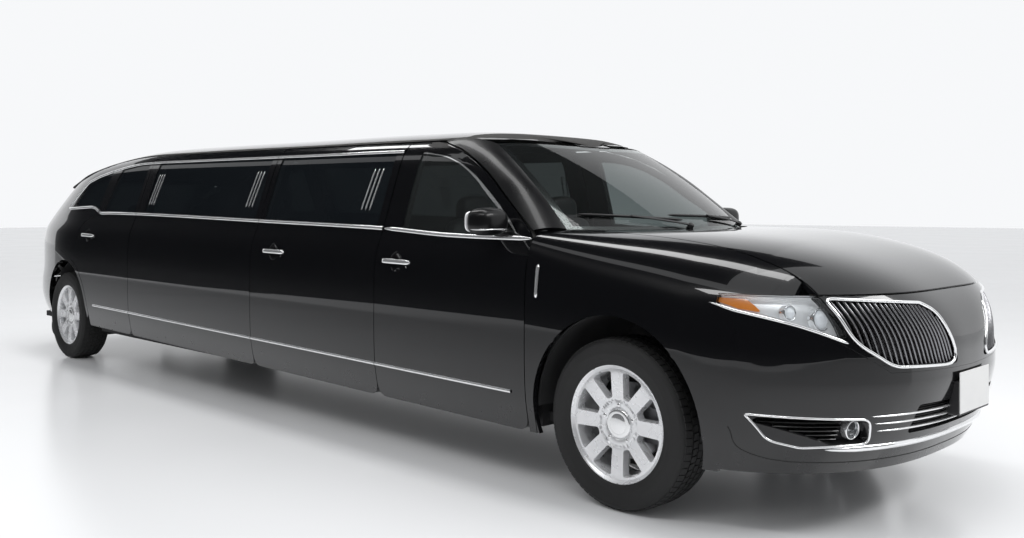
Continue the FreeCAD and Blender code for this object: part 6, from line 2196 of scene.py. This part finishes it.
@dataclass
class Wheel:
    """Alloy wheel with eight flat spokes, its tyre and the tread.

    Attributes:
        spokes: number of spokes.
        inner: radius where the windows between the spokes start.
        outer: radius where they end.
        meshes: the wheel's parts, once built.
    """

    spokes: int = 8
    inner: float = 113.0
    outer: float = 227.0
    meshes: dict[str, Mesh] = field(default_factory=dict)

    def build(self) -> None:
        """Add the four wheels."""
        self.meshes = {"face": self._face() + self._windows(), "barrel": self._barrel(), "cap": self._cap(),
                       "lugs": self._lugs(), "brake": self._brake(), "tyre": self._tyre(),
                       "tread": self._tread()}
        for end, x in (("front", AXLE), ("rear", REAR_AXLE)):
            for side, y in (("left", TRACK_HALF), ("right", -TRACK_HALF)):
                self._place(f"{end}_{side}", np.array([x, y, TYRE]))

    def _place(self, name: str, centre: Array) -> None:
        """Add one wheel with its tyre and brake disc.

        Args:
            name: which wheel it is.
            centre: its middle.
        """
        body = f"wheel_{name}"
        side = lambda key: (self.meshes[key] if centre[1] > 0 else self.meshes[key].mirrored()).moved(centre)
        show(f"{name}_spokes", side("face") + side("barrel"), ALLOY, body, [body])
        show(f"{name}_cap", side("cap"), CHROME, body)
        show(f"{name}_lugs", side("lugs"), CHROME, body)
        show(f"{name}_brake", side("brake"), STEEL, body)
        show(f"{name}_tyre", side("tyre") + side("tread"), RUBBER, body, [f"tyre_{name}"])

    def _window(self, angle: float) -> Array:
        """Outline of one opening between two spokes.

        Args:
            angle: turn about the axle.

        Returns:
            The closed outline, its corners rounded.
        """
        right = [(15.0, self.inner), (24.0, self.inner + 26.0), (55.0, self.outer - 9.0)]
        far = [(half, math.sqrt(self.outer ** 2 - half ** 2)) for half in (36.0, 12.0, -12.0, -36.0)]
        left = [(-half, radius) for half, radius in reversed(right)]
        loop = rounded(right + far + left, [14.0, 30.0, 16.0, 0, 0, 0, 0, 16.0, 30.0, 14.0], 5)
        turn = np.array([[math.cos(angle), -math.sin(angle)], [math.sin(angle), math.cos(angle)]])
        return loop @ turn.T

    def _depth(self, radius: Array) -> Array:
        """Dish of the spokes: a slight hollow between the hub and the rim.

        Args:
            radius: distances from the axle.

        Returns:
            Places along the axle, through fixed knots.
        """
        knots = ((0.0, 70.0), (62.0, 70.0), (72.0, 77.0), (96.0, 79.0), (99.0, 76.5), (102.0, 82.0),
                 (118.0, 84.0), (170.0, 88.0), (221.0, 90.0), (240.0, 88.0))
        return through(knots, radius)

    def _chart(self, x: Array, z: Array) -> Array:
        """Dished front face over a place in the side view."""
        return stack(x, self._depth(np.hypot(x, z)), z)

    def _face(self) -> Mesh:
        """Front face with its openings.

        Returns:
            The mesh, open at the windows and the cap.
        """
        angles = np.linspace(0.0, 2 * math.pi, 120, endpoint=False)
        ring = lambda radius: stack(radius * np.cos(angles), radius * np.sin(angles))
        holes = [self._window(2 * math.pi * (n + 0.5) / self.spokes) for n in range(self.spokes)]
        holes.append(ring(60.0)[::3])
        return Patch(self._chart, ring(238.0), holes, step=9.0, away=-1.0, lift=0.0, rim=3.0).mesh()

    def _windows(self) -> Mesh:
        """Slanted walls of the openings.

        Returns:
            The walls, each drawn towards its middle as it goes deeper.
        """
        walls = []
        for n in range(self.spokes):
            loop = resampled(self._window(2 * math.pi * (n + 0.5) / self.spokes), 8.0)
            top = self._chart(loop[:, 0], loop[:, 1])
            middle = top.mean(0)
            rows = [top + (middle - top) * share - np.array([0.0, drop, 0.0])
                    for share, drop in ((0.0, 0.0), (0.015, 3.0), (0.05, 12.0), (0.10, 38.0))]
            walls.append(grid_mesh(np.stack(rows, 1), wrap_u=True))
        return joined(walls)

    def _barrel(self) -> Mesh:
        """Rim lip and inner barrel.

        Returns:
            The turned mesh.
        """
        lip = [(236.0, 88.0), (240.0, 89.5), (246.0, 96.0), (252.0, 101.0), (256.5, 101.0), (258.0, 97.0),
               (254.0, 92.0), (240.0, 84.0), (232.0, 60.0), (226.0, 30.0), (224.0, -60.0), (232.0, -88.0),
               (250.0, -99.0), (257.0, -99.0), (257.0, -94.0)]
        return lathe(lip, 120)

    def _cap(self) -> Mesh:
        """Plain hub cap.

        Returns:
            The turned mesh.
        """
        profile = [(64.0, 66.0), (64.0, 77.0), (62.0, 81.0), (57.0, 83.0), (45.0, 84.0), (43.0, 82.5),
                   (41.0, 84.5), (24.0, 87.0), (8.0, 88.0), (0.1, 88.0)]
        return lathe(profile, 96)

    def _lugs(self) -> Mesh:
        """Five wheel nuts.

        Returns:
            Five six-sided nuts on a circle.
        """
        meshes = []
        for n in range(5):
            angle = 2 * math.pi * n / 5 + 0.3
            nut = lathe([(9.5, 0.0), (9.5, 6.0), (7.0, 9.0), (0.1, 10.0)], 6)
            meshes.append(nut.moved((80.0 * math.cos(angle), 74.0, 80.0 * math.sin(angle))))
        return joined(meshes)

    def _brake(self) -> Mesh:
        """Brake disc and hub."""
        return lathe([(165.0, -34.0), (165.0, -8.0), (90.0, -8.0), (80.0, 8.0), (60.0, 8.0), (60.0, 60.0),
                      (0.1, 60.0)], 96)

    def _tyre(self) -> Mesh:
        """Carcass with rounded shoulders, sidewall rings and the foot on the rim.

        Returns:
            The turned mesh, the same on both sides.
        """
        half = [(252.0, 100.0), (256.0, 106.0), (264.0, 109.5), (272.0, 110.0), (276.0, 112.5), (282.0, 113.5),
                (300.0, 116.5), (303.0, 117.4), (306.0, 116.8), (322.0, 117.0), (338.0, 114.5), (341.0, 115.0),
                (344.0, 113.5), (352.0, 108.0), (359.0, 99.0), (363.0, 88.0), (364.5, 70.0), (365.0, 30.0)]
        whole = half + [(radius, -y) for radius, y in reversed(half)]
        return lathe(whole, 150)

    def _tread(self) -> Mesh:
        """Ribs of slanted blocks between the grooves.

        Returns:
            Five rows of 72 blocks, every other row shifted by half a block.
        """
        count = 72
        step = 2 * math.pi / count
        rows = ((-98.0, -62.0, 0.10), (-54.0, -22.0, -0.16), (-14.0, 14.0, 0.12),
                (22.0, 54.0, -0.16), (62.0, 98.0, 0.10))
        meshes = []
        for number, (low, high, slant) in enumerate(rows):
            y = np.array([low, high])
            drop = np.interp(np.abs(y), [60.0, 98.0], [0.0, 6.5])
            start = (np.arange(count) + 0.5 * (number % 2)) * step
            angle = start[:, None, None] + np.array([0.02, 0.86])[None, :, None] * step
            angle = angle + (y[None, None, :] - y.mean()) / 40.0 * slant * step
            top, foot = 370.3 - drop, 362.0 - drop
            for n in range(count):
                lower, upper = (stack(r * np.cos(angle[n]), y[None, :] + 0 * angle[n], r * np.sin(angle[n]))
                                for r in (foot[None, :], top[None, :]))
                meshes.append(_block(lower, upper))
        return joined_fast(meshes)


def _block(lower: Array, upper: Array) -> tuple[Array, Array]:
    """The five outer faces of a tread block, as quads with their normals.

    Args:
        lower: corners of its foot.
        upper: corners of its top.

    Returns:
        Quads and their normals.
    """
    a, b, c, d = upper[0, 0], upper[0, 1], upper[1, 1], upper[1, 0]
    e, f, g, h = lower[0, 0], lower[0, 1], lower[1, 1], lower[1, 0]
    quads = np.array([(a, b, c, d), (a, e, f, b), (b, f, g, c), (c, g, h, d), (d, h, e, a)])
    normals = unit(np.cross(quads[:, 1] - quads[:, 0], quads[:, 2] - quads[:, 0]))
    middle = (upper.mean((0, 1)) + lower.mean((0, 1))) / 2
    wrong = np.einsum("ij,ij->i", normals, quads.mean(1) - middle) < 0
    quads[wrong] = quads[wrong][:, ::-1]
    normals[wrong] *= -1
    return quads, normals


def joined_fast(blocks: Sequence[tuple[Array, Array]]) -> Mesh:
    """One flat-shaded mesh of many quads.

    Args:
        blocks: quads and normals of each block.

    Returns:
        The mesh, with four own points for each quad.
    """
    quads = np.concatenate([block[0] for block in blocks])
    normals = np.concatenate([block[1] for block in blocks])
    faces = np.arange(len(quads) * 4).reshape(-1, 4)
    return Mesh(quads.reshape(-1, 3), np.repeat(normals, 4, axis=0), [tuple(face) for face in faces.tolist()])


# Rear end, screen details and cabin

@dataclass
class RearEnd:
    """Tail lamp band, bumper skin, reflectors and the blank plate's seat.

    Attributes:
        lamp_half: half width of the lamp band.
    """

    lamp_half: float = 638.0

    def build(self) -> None:
        """Add the pieces of the tail."""
        band = box(self.lamp_half, 1017.0, 1123.0)
        lens = Patch(tail_chart, rear_outline(band, 8.0), step=22.0, lift=4.0, rim=16.0).mesh()
        show("tail_lamp_band", lens, RED, "liftgate", ["tail_lamps"])
        clear = []
        for sign in (1.0, -1.0):
            spot = tuple((sign * y, z) for y, z in ((270.0, 1036.0), (400.0, 1036.0), (400.0, 1104.0),
                                                    (270.0, 1104.0)))
            clear.append(Patch(tail_chart, rear_outline(spot, 10.0), step=16.0, lift=5.4, rim=3.0).mesh())
        show("reversing_lenses", joined(clear), BULB, "liftgate")
        edges = []
        for z in (1010.0, 1130.0):
            flat = in_view(tail_u, np.linspace(-self.lamp_half, self.lamp_half, 80), z)
            edges.append(strip(tail_chart, flat, 1.0, bead(9.0, 5.0), taper=True))
        show("tail_lamp_strips", joined(edges), CHROME, "liftgate")
        seat = rear_outline(box(160.0, 757.0, 923.0), 4.0)
        back = Patch(tail_chart, seat, step=24.0, lift=-14.0, rim=3.0).mesh()
        show("rear_plate_seat", back, BLACK, "liftgate")
        self._bumper()

    @staticmethod
    def _bumper() -> None:
        """Bumper skin, dark valance and two reflectors."""
        z = np.linspace(344.0, 630.0, 14)
        start = station(-6861.0)
        half = Form.side_half(z - Form.rake(np.array(start))) * Form.tail_plan(start + 0 * z, z)
        side = stack(TURN * np.arctan2(half, TAIL_HUB - start), z)
        left = side * np.array([-1.0, 1.0])
        bottom = np.linspace(side[0, 0], left[0, 0], 40)[1:-1]
        outline = np.vstack([side, left[::-1], stack(bottom[::-1], 344.0 + 0 * bottom)])
        skin = Patch(tail_chart, outline, step=16.0).mesh()
        show("rear_bumper_skin", skin, PAINT)
        low = rear_outline(box(640.0, 348.0, 430.0, 600.0), 20.0)
        show("rear_valance", Patch(tail_chart, low, step=18.0, lift=2.6, rim=4.0).mesh(), BLACK)
        corners = ((470.0, 470.0), (600.0, 470.0), (600.0, 488.0), (470.0, 488.0))
        lamps = []
        for sign in (1.0, -1.0):
            outline = rear_outline([(sign * y, z) for y, z in corners], 4.0)
            lamps.append(Patch(tail_chart, outline, step=14.0, lift=3.4, rim=4.0).mesh())
        show("rear_reflectors", joined(lamps), RED)


@dataclass
class ScreenDetails:
    """Black border of the windscreen and its wipers.

    Attributes:
        border: width of the border at the sides, as a share of the glass.
    """

    border: float = 0.022

    def build(self) -> None:
        """Add the border and two wipers."""
        side = np.linspace(-1.0, 1.0, 60)
        rise = np.linspace(0.0, 1.0, 40)
        bands = []
        for low, high in ((0.0, 0.030), (1 - 0.045, 1.0)):
            s, r = np.meshgrid(side, np.linspace(low, high, 5))
            bands.append(grid_mesh(screen_point(s, r, 2.5)))
        for low, high in ((-1.0, -1.0 + 2 * self.border), (1.0 - 2 * self.border, 1.0)):
            s, r = np.meshgrid(np.linspace(low, high, 5), rise)
            bands.append(grid_mesh(screen_point(s, r, 2.5)))
        show("screen_border", joined(bands), GLOSS_BLACK)
        self._wiper("wiper_left", 0.62, 0.08, 0.9, 0.045)
        self._wiper("wiper_right", -0.18, 0.075, 0.72, 0.05)

    @staticmethod
    def _wiper(name: str, foot: float, rise: float, reach: float, lift: float) -> None:
        """Arm from a pivot near the foot and a blade resting on the glass.

        Args:
            name: name of the piece.
            foot: its pivot across the glass.
            rise: its pivot up the glass.
            reach: how far it reaches to the right.
            lift: how much higher its tip lies.
        """
        share = np.linspace(0.0, 1.0, 30)
        blade_side = foot - reach * share
        blade_rise = rise + lift * share + 0.02 * share * (1 - share)
        points = screen_point(blade_side, blade_rise, -9.0)
        normals = np.tile(unit(np.array([0.52, 0.0, 0.85])), (30, 1))
        blade = [(-7.0, 0.0), (-2.0, 6.0), (2.0, 6.0), (7.0, 0.0), (2.0, -2.0), (1.2, -8.0), (-1.2, -8.0),
                 (-2.0, -2.0)]
        arm_side = foot - reach * 0.55 * share
        arm = screen_point(arm_side, 0.012 + (rise + lift * 0.5 - 0.012) * share ** 0.8, -17.0)
        rod = oval(8.0, 5.0, 10)
        pivot = lathe([(16.0, -14.0), (16.0, 4.0), (11.0, 9.0), (0.1, 10.0)], 24)
        pivot = pivot.turned(facing(unit(np.array([0.52, 0.0, 0.85])))).moved(arm[0])
        show(name, sweep(points, normals, blade, taper=True) + sweep(arm, normals, rod) + pivot, BLACK)


def cushion(centre: Sequence[float], half: Sequence[float], channels: int = 0, crown: float = 0.18) -> Mesh:
    """Crowned closed pad with pulled-in sides and sewn channels.

    Args:
        centre: middle of the pad.
        half: half sizes; the last one is its thickness.
        channels: number of sewn lines across its width.
        crown: how much the middle swells, as a share of the thickness.

    Returns:
        The pad, thickness along Z.
    """
    upright = np.linspace(-math.pi / 2 + 0.02, math.pi / 2 - 0.02, 40)[:, None]
    turn = np.linspace(-math.pi, math.pi, 96, endpoint=False)[None]
    bend = lambda value, power: np.sign(value) * np.abs(value) ** (2 / power)
    flat_x = bend(np.cos(upright), 5.0) * bend(np.cos(turn), 5.0)
    flat_y = bend(np.cos(upright), 5.0) * bend(np.sin(turn), 5.0)
    z = bend(np.sin(upright), 3.0) + 0 * turn
    swell = crown * (1 - flat_x ** 2) * (1 - flat_y ** 2) * z
    x = flat_x * (1 - 0.03 * (1 - flat_y ** 2))
    y = flat_y * (1 - 0.03 * (1 - flat_x ** 2))
    if channels:
        phase = (flat_y + 1) / 2 * (channels + 1)
        seam = np.exp(-((phase - np.round(phase)) / 0.06) ** 2)
        seam = seam * (np.abs(flat_y) < 0.93) * (np.abs(flat_x) < 0.9)
        swell = swell - 0.10 * seam * np.sign(z) * (np.abs(z) > 0.5)
    grid = stack(x, y, z + swell) * np.array(half) + np.array(centre)
    mesh = grid_mesh(grid, wrap_v=True, flip=True)
    caps = [tuple(range(95, -1, -1)), tuple(range(39 * 96, 40 * 96))]
    if np.sum(mesh.normals * (mesh.points - np.array(centre))) < 0:
        mesh = grid_mesh(grid, wrap_v=True)
    return Mesh(mesh.points, mesh.normals, mesh.faces + caps)


def leaned(mesh: Mesh, pivot: Sequence[float], degrees: float) -> Mesh:
    """The mesh turned about a crosswise axis through a pivot, top towards the rear.

    Args:
        mesh: mesh to turn.
        pivot: point that stays.
        degrees: angle of the turn.

    Returns:
        The turned mesh.
    """
    a = math.radians(degrees)
    matrix = np.array([[math.cos(a), 0.0, -math.sin(a)], [0.0, 1.0, 0.0], [math.sin(a), 0.0, math.cos(a)]])
    return mesh.moved(-np.array(pivot)).turned(matrix).moved(pivot)


@dataclass
class Seat:
    """A seat of cushions on its base.

    Attributes:
        name: the seat's name.
        front: station of the cushion's front.
        rear: station of the cushion's rear.
        low: one side.
        high: other side.
        top: height of the cushion's top.
        back: height of the backrest's top.
        base: height of the base's foot.
        heads: places across of the head rests.
        node: CAD node that it stands for.
    """

    name: str
    node: str
    front: float
    rear: float
    low: float
    high: float
    top: float
    back: float
    base: float
    heads: tuple[float, ...] = ()

    def build(self) -> None:
        """Add the base, cushion, backrest and head rests."""
        middle, half = (self.low + self.high) / 2, (self.high - self.low) / 2
        length = (self.front - self.rear) / 2
        base = pebble(((self.front + self.rear) / 2, middle, (self.base + self.top - 150.0) / 2),
                      (length - 30.0, half - 30.0, (self.top - 150.0 - self.base) / 2), 8.0, 16)
        show(f"{self.name}_base", base, TRIM, replaces=[self.node])
        pad = cushion(((self.front + self.rear) / 2 + 20.0, middle, self.top - 80.0),
                      (length - 12.0, half - 6.0, 66.0), 3)
        tall = (self.back - self.top + 60.0) / 2
        rest = cushion((0.0, 0.0, 0.0), (tall, half - 10.0, 58.0), 3)
        upright = np.array([[0.0, 0.0, 1.0], [0.0, 1.0, 0.0], [-1.0, 0.0, 0.0]])
        foot = (self.rear + 100.0, middle, self.top - 40.0)
        rest = leaned(rest.turned(upright).moved((foot[0], middle, foot[2] + tall)), foot, 9.0)
        for part, mesh in (("cushion", pad), ("backrest", rest)):
            show(f"{self.name}_{part}", mesh, LEATHER)
        for number, y in enumerate(self.heads):
            head = cushion((self.rear + 100.0 - math.tan(math.radians(9.0)) * (tall * 2 + 60.0), y,
                            self.back + 45.0), (46.0, 120.0, 78.0))
            show(f"{self.name}_head_rest_{number}", head, LEATHER)


@dataclass
class Cabin:
    """Seats, side bench, partition, dashboard and steering wheel.

    Attributes:
        wheel_radius: radius of the steering wheel's rim.
    """

    wheel_radius: float = 180.0

    def build(self) -> None:
        """Add everything inside."""
        for name, low in (("driver_seat", 115.0), ("front_passenger_seat", -625.0)):
            Seat(name, "front_seats", station(-1030.0), station(-1480.0), low, low + 510.0,
                 690.0, 1230.0, 335.0, (low + 255.0,)).build()
        Seat("rear_bench", "rear_seat", station(-5570.0), station(-6010.0), -540.0, 540.0,
             700.0, 1190.0, 340.0, (-300.0, 300.0)).build()
        for node, finish in CABIN_FINISHES.items():
            paint_node(node, finish)
        bench = cushion((station(-3550.0), 510.0, 722.0), (1140.0, 234.0, 38.0))
        show("side_bench_cushion", bench, LEATHER)
        self._wheel()
        self._cluster()

    def _wheel(self) -> None:
        """Steering wheel rim, hub and three spokes."""
        around = np.linspace(0.0, 2 * math.pi, 96, endpoint=False)
        tilt = math.radians(22.0)
        turn = np.array([[math.cos(tilt), 0.0, math.sin(tilt)], [0.0, 1.0, 0.0],
                         [-math.sin(tilt), 0.0, math.cos(tilt)]])
        path = stack(0 * around, self.wheel_radius * np.sin(around), self.wheel_radius * np.cos(around))
        normals = unit(path)
        meshes = [sweep(path, normals, oval(15.0, 15.0, 14), closed=True),
                  pebble((6.0, 0.0, -6.0), (22.0, 66.0, 56.0), 3.0, 14)]
        for angle in (90.0, 210.0, 330.0):
            a = math.radians(angle)
            line = np.linspace(40.0, self.wheel_radius - 8.0, 12)
            spoke = stack(6.0 + 0 * line, line * math.sin(a), line * math.cos(a))
            meshes.append(sweep(spoke, np.tile([1.0, 0.0, 0.0], (12, 1)),
                                [(-20, -6), (20, -6), (16, 6), (-16, 6)]))
        wheel = joined(meshes).turned(turn).moved((station(-860.0), 370.0, 1010.0))
        show("steering_wheel_grip", wheel, BLACK)

    def _cluster(self) -> None:
        """Instrument hood and screen on the dashboard."""
        hood = pebble((station(-640.0), 370.0, 1120.0), (90.0, 190.0, 46.0), 2.6, 18)
        panel = pebble((station(-690.0), 0.0, 1020.0), (26.0, 130.0, 90.0), 5.0, 14)
        top = pebble((station(-500.0), 0.0, 1108.0), (170.0, 676.0, 40.0), 4.0, 24)
        show("dashboard_hood", hood + top, TRIM)
        show("dashboard_panel", panel, GLOSS_BLACK)


CABIN_FINISHES = {
    "side_seat": LEATHER, "partition": TRIM, "dashboard": TRIM, "steering_wheel": BLACK,
    "cowl": BLACK, "floor": UNDERBODY, "wheel_housings": UNDERBODY, "door_pillars": SEAL,
    "front_suspension": DARK_STEEL, "rear_suspension": DARK_STEEL, "engine": CAST, "exhaust": DARK_STEEL,
    "knuckle_front_left": CAST, "knuckle_front_right": CAST, "antenna": BLACK,
}


# Stage

@dataclass
class Studio:
    """White surroundings, floor, dark cards, soft lights and the camera."""

    def build(self) -> None:
        """Set the studio up."""
        self._floor()
        self._world()
        self._cards()
        self._lights()
        self._camera()
        bpy.context.scene.view_settings.view_transform = "Standard"

    @staticmethod
    def _floor() -> None:
        """Glossy pale floor, wide enough to meet the horizon."""
        size = 60.0
        data = bpy.data.meshes.new("floor_stage")
        data.from_pydata([(-size, -size, 0), (size, -size, 0), (size, size, 0), (-size, size, 0)], [],
                         [(0, 1, 2, 3)])
        shader = Shader("StudioFloor")
        cloud = shader.noise(0.6, 2.0)
        data.materials.append(shader.done(shader.surface(
            Base_Color=shader.blend(cloud, (0.78, 0.79, 0.80), (0.82, 0.82, 0.83)),
            Roughness=0.18 + cloud * 0.08, Specular_IOR_Level=0.5)))
        floor = bpy.data.objects.new("floor_stage", data)
        bpy.context.scene.collection.objects.link(floor)
        floor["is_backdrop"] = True

    @staticmethod
    def _world() -> None:
        """Pale light all round; the camera, mirrors and glass see it as white."""
        world = bpy.data.worlds.new("studio")
        bpy.context.scene.world = world
        world.use_nodes = True
        nodes, links = world.node_tree.nodes, world.node_tree.links
        back = nodes["Background"]
        back.inputs["Color"].default_value = (0.93, 0.94, 0.955, 1.0)
        path = nodes.new("ShaderNodeLightPath")
        total = path.outputs["Is Camera Ray"]
        for ray in ("Is Glossy Ray", "Is Transmission Ray"):
            joint = nodes.new("ShaderNodeMath")
            joint.operation = "MAXIMUM"
            links.new(total, joint.inputs[0])
            links.new(path.outputs[ray], joint.inputs[1])
            total = joint.outputs[0]
        level = nodes.new("ShaderNodeMath")
        level.operation = "MULTIPLY_ADD"
        links.new(total, level.inputs[0])
        level.inputs[1].default_value, level.inputs[2].default_value = 0.25, 0.75
        links.new(level.outputs[0], back.inputs["Strength"])

    @staticmethod
    def _cards() -> None:
        """Dark cards beside, ahead of and above the car, which only mirroring surfaces see."""
        shader = Shader("DarkCard")
        cloud = shader.noise(0.5, 2.0)
        material = shader.done(shader.surface(
            Base_Color=shader.blend(cloud, (0.010, 0.011, 0.013), (0.018, 0.019, 0.022)), Roughness=0.9,
            Specular_IOR_Level=0.0))
        sheets = {
            "side_card": [(-30.0, -5.6, 0.03), (4.0, -5.6, 0.03), (4.0, -5.6, 7.5), (-30.0, -5.6, 7.5)],
            "corner_card": [(4.0, -5.6, 0.03), (10.5, -2.6, 0.03), (10.5, -2.6, 5.0), (4.0, -5.6, 7.5)],
            "front_card": [(10.5, -2.6, 0.03), (11.0, 3.4, 0.03), (11.0, 3.4, 3.2), (10.5, -2.6, 5.0)],
            "top_card": [(-16.0, -4.2, 7.5), (3.0, -4.2, 7.5), (3.0, 5.0, 7.5), (-16.0, 5.0, 7.5)],
        }
        for name, corners in sheets.items():
            data = bpy.data.meshes.new(name)
            data.from_pydata(corners, [], [(0, 1, 2, 3)])
            data.materials.append(material)
            card = bpy.data.objects.new(name, data)
            for ray in ("camera", "diffuse", "shadow", "transmission"):
                setattr(card, f"visible_{ray}", False)
            bpy.context.scene.collection.objects.link(card)
            card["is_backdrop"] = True

    @staticmethod
    def _lights() -> None:
        """Broad soft lamps over the nose, along the roof and beside the car."""
        for name, place, aim, size, power in (
                ("key", (8.5, 1.5, 5.5), (3.2, 0.0, 0.8), (5.0, 1.6), 250.0),
                ("top", (-1.0, 0.0, 7.0), (-1.0, 0.0, 0.0), (11.0, 1.2), 260.0),
                ("side", (2.5, -5.2, 5.8), (0.5, 0.0, 0.7), (9.0, 0.7), 170.0)):
            light = bpy.data.lights.new(name, "AREA")
            light.shape, light.size, light.size_y = "RECTANGLE", *size
            light.energy = power
            lamp = bpy.data.objects.new(name, light)
            lamp.location = place
            lamp.rotation_euler = (Vector(aim) - Vector(place)).to_track_quat("-Z", "Y").to_euler()
            bpy.context.scene.collection.objects.link(lamp)
            lamp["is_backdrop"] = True

    @staticmethod
    def _camera() -> None:
        """Camera fitted to the photograph."""
        camera = bpy.data.objects.new("camera", bpy.data.cameras.new("camera"))
        camera.location = (5.685, -4.20, 1.30)
        camera.rotation_euler = (math.radians(90.0), 0.0, math.radians(45.0))
        camera.data.sensor_width = 36.0
        camera.data.lens = 34.45
        camera.data.shift_y = -0.0605
        camera.data.clip_end = 200.0
        bpy.context.scene.collection.objects.link(camera)
        bpy.context.scene.camera = camera


SIZES: dict[str, list] = {}


def write_size() -> None:
    """Keep the box of the shown objects in SIZES, first as packed, then as bounds."""
    low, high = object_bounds()
    SIZES["bounds" if SIZES else "packed"] = [list(low), list(high)]


def main() -> None:
    """Dress the frame and light it."""
    logging.basicConfig(level=logging.INFO)
    write_size()
    for part in (BodyShell(), BrightTrim(), Mirror(), FrontEnd(), Wheel(), RearEnd(), ScreenDetails(),
                 Cabin(), Studio()):
        log.info("building %s", type(part).__name__)
        part.build()
    write_size()


if __name__ == "__main__":
    main()
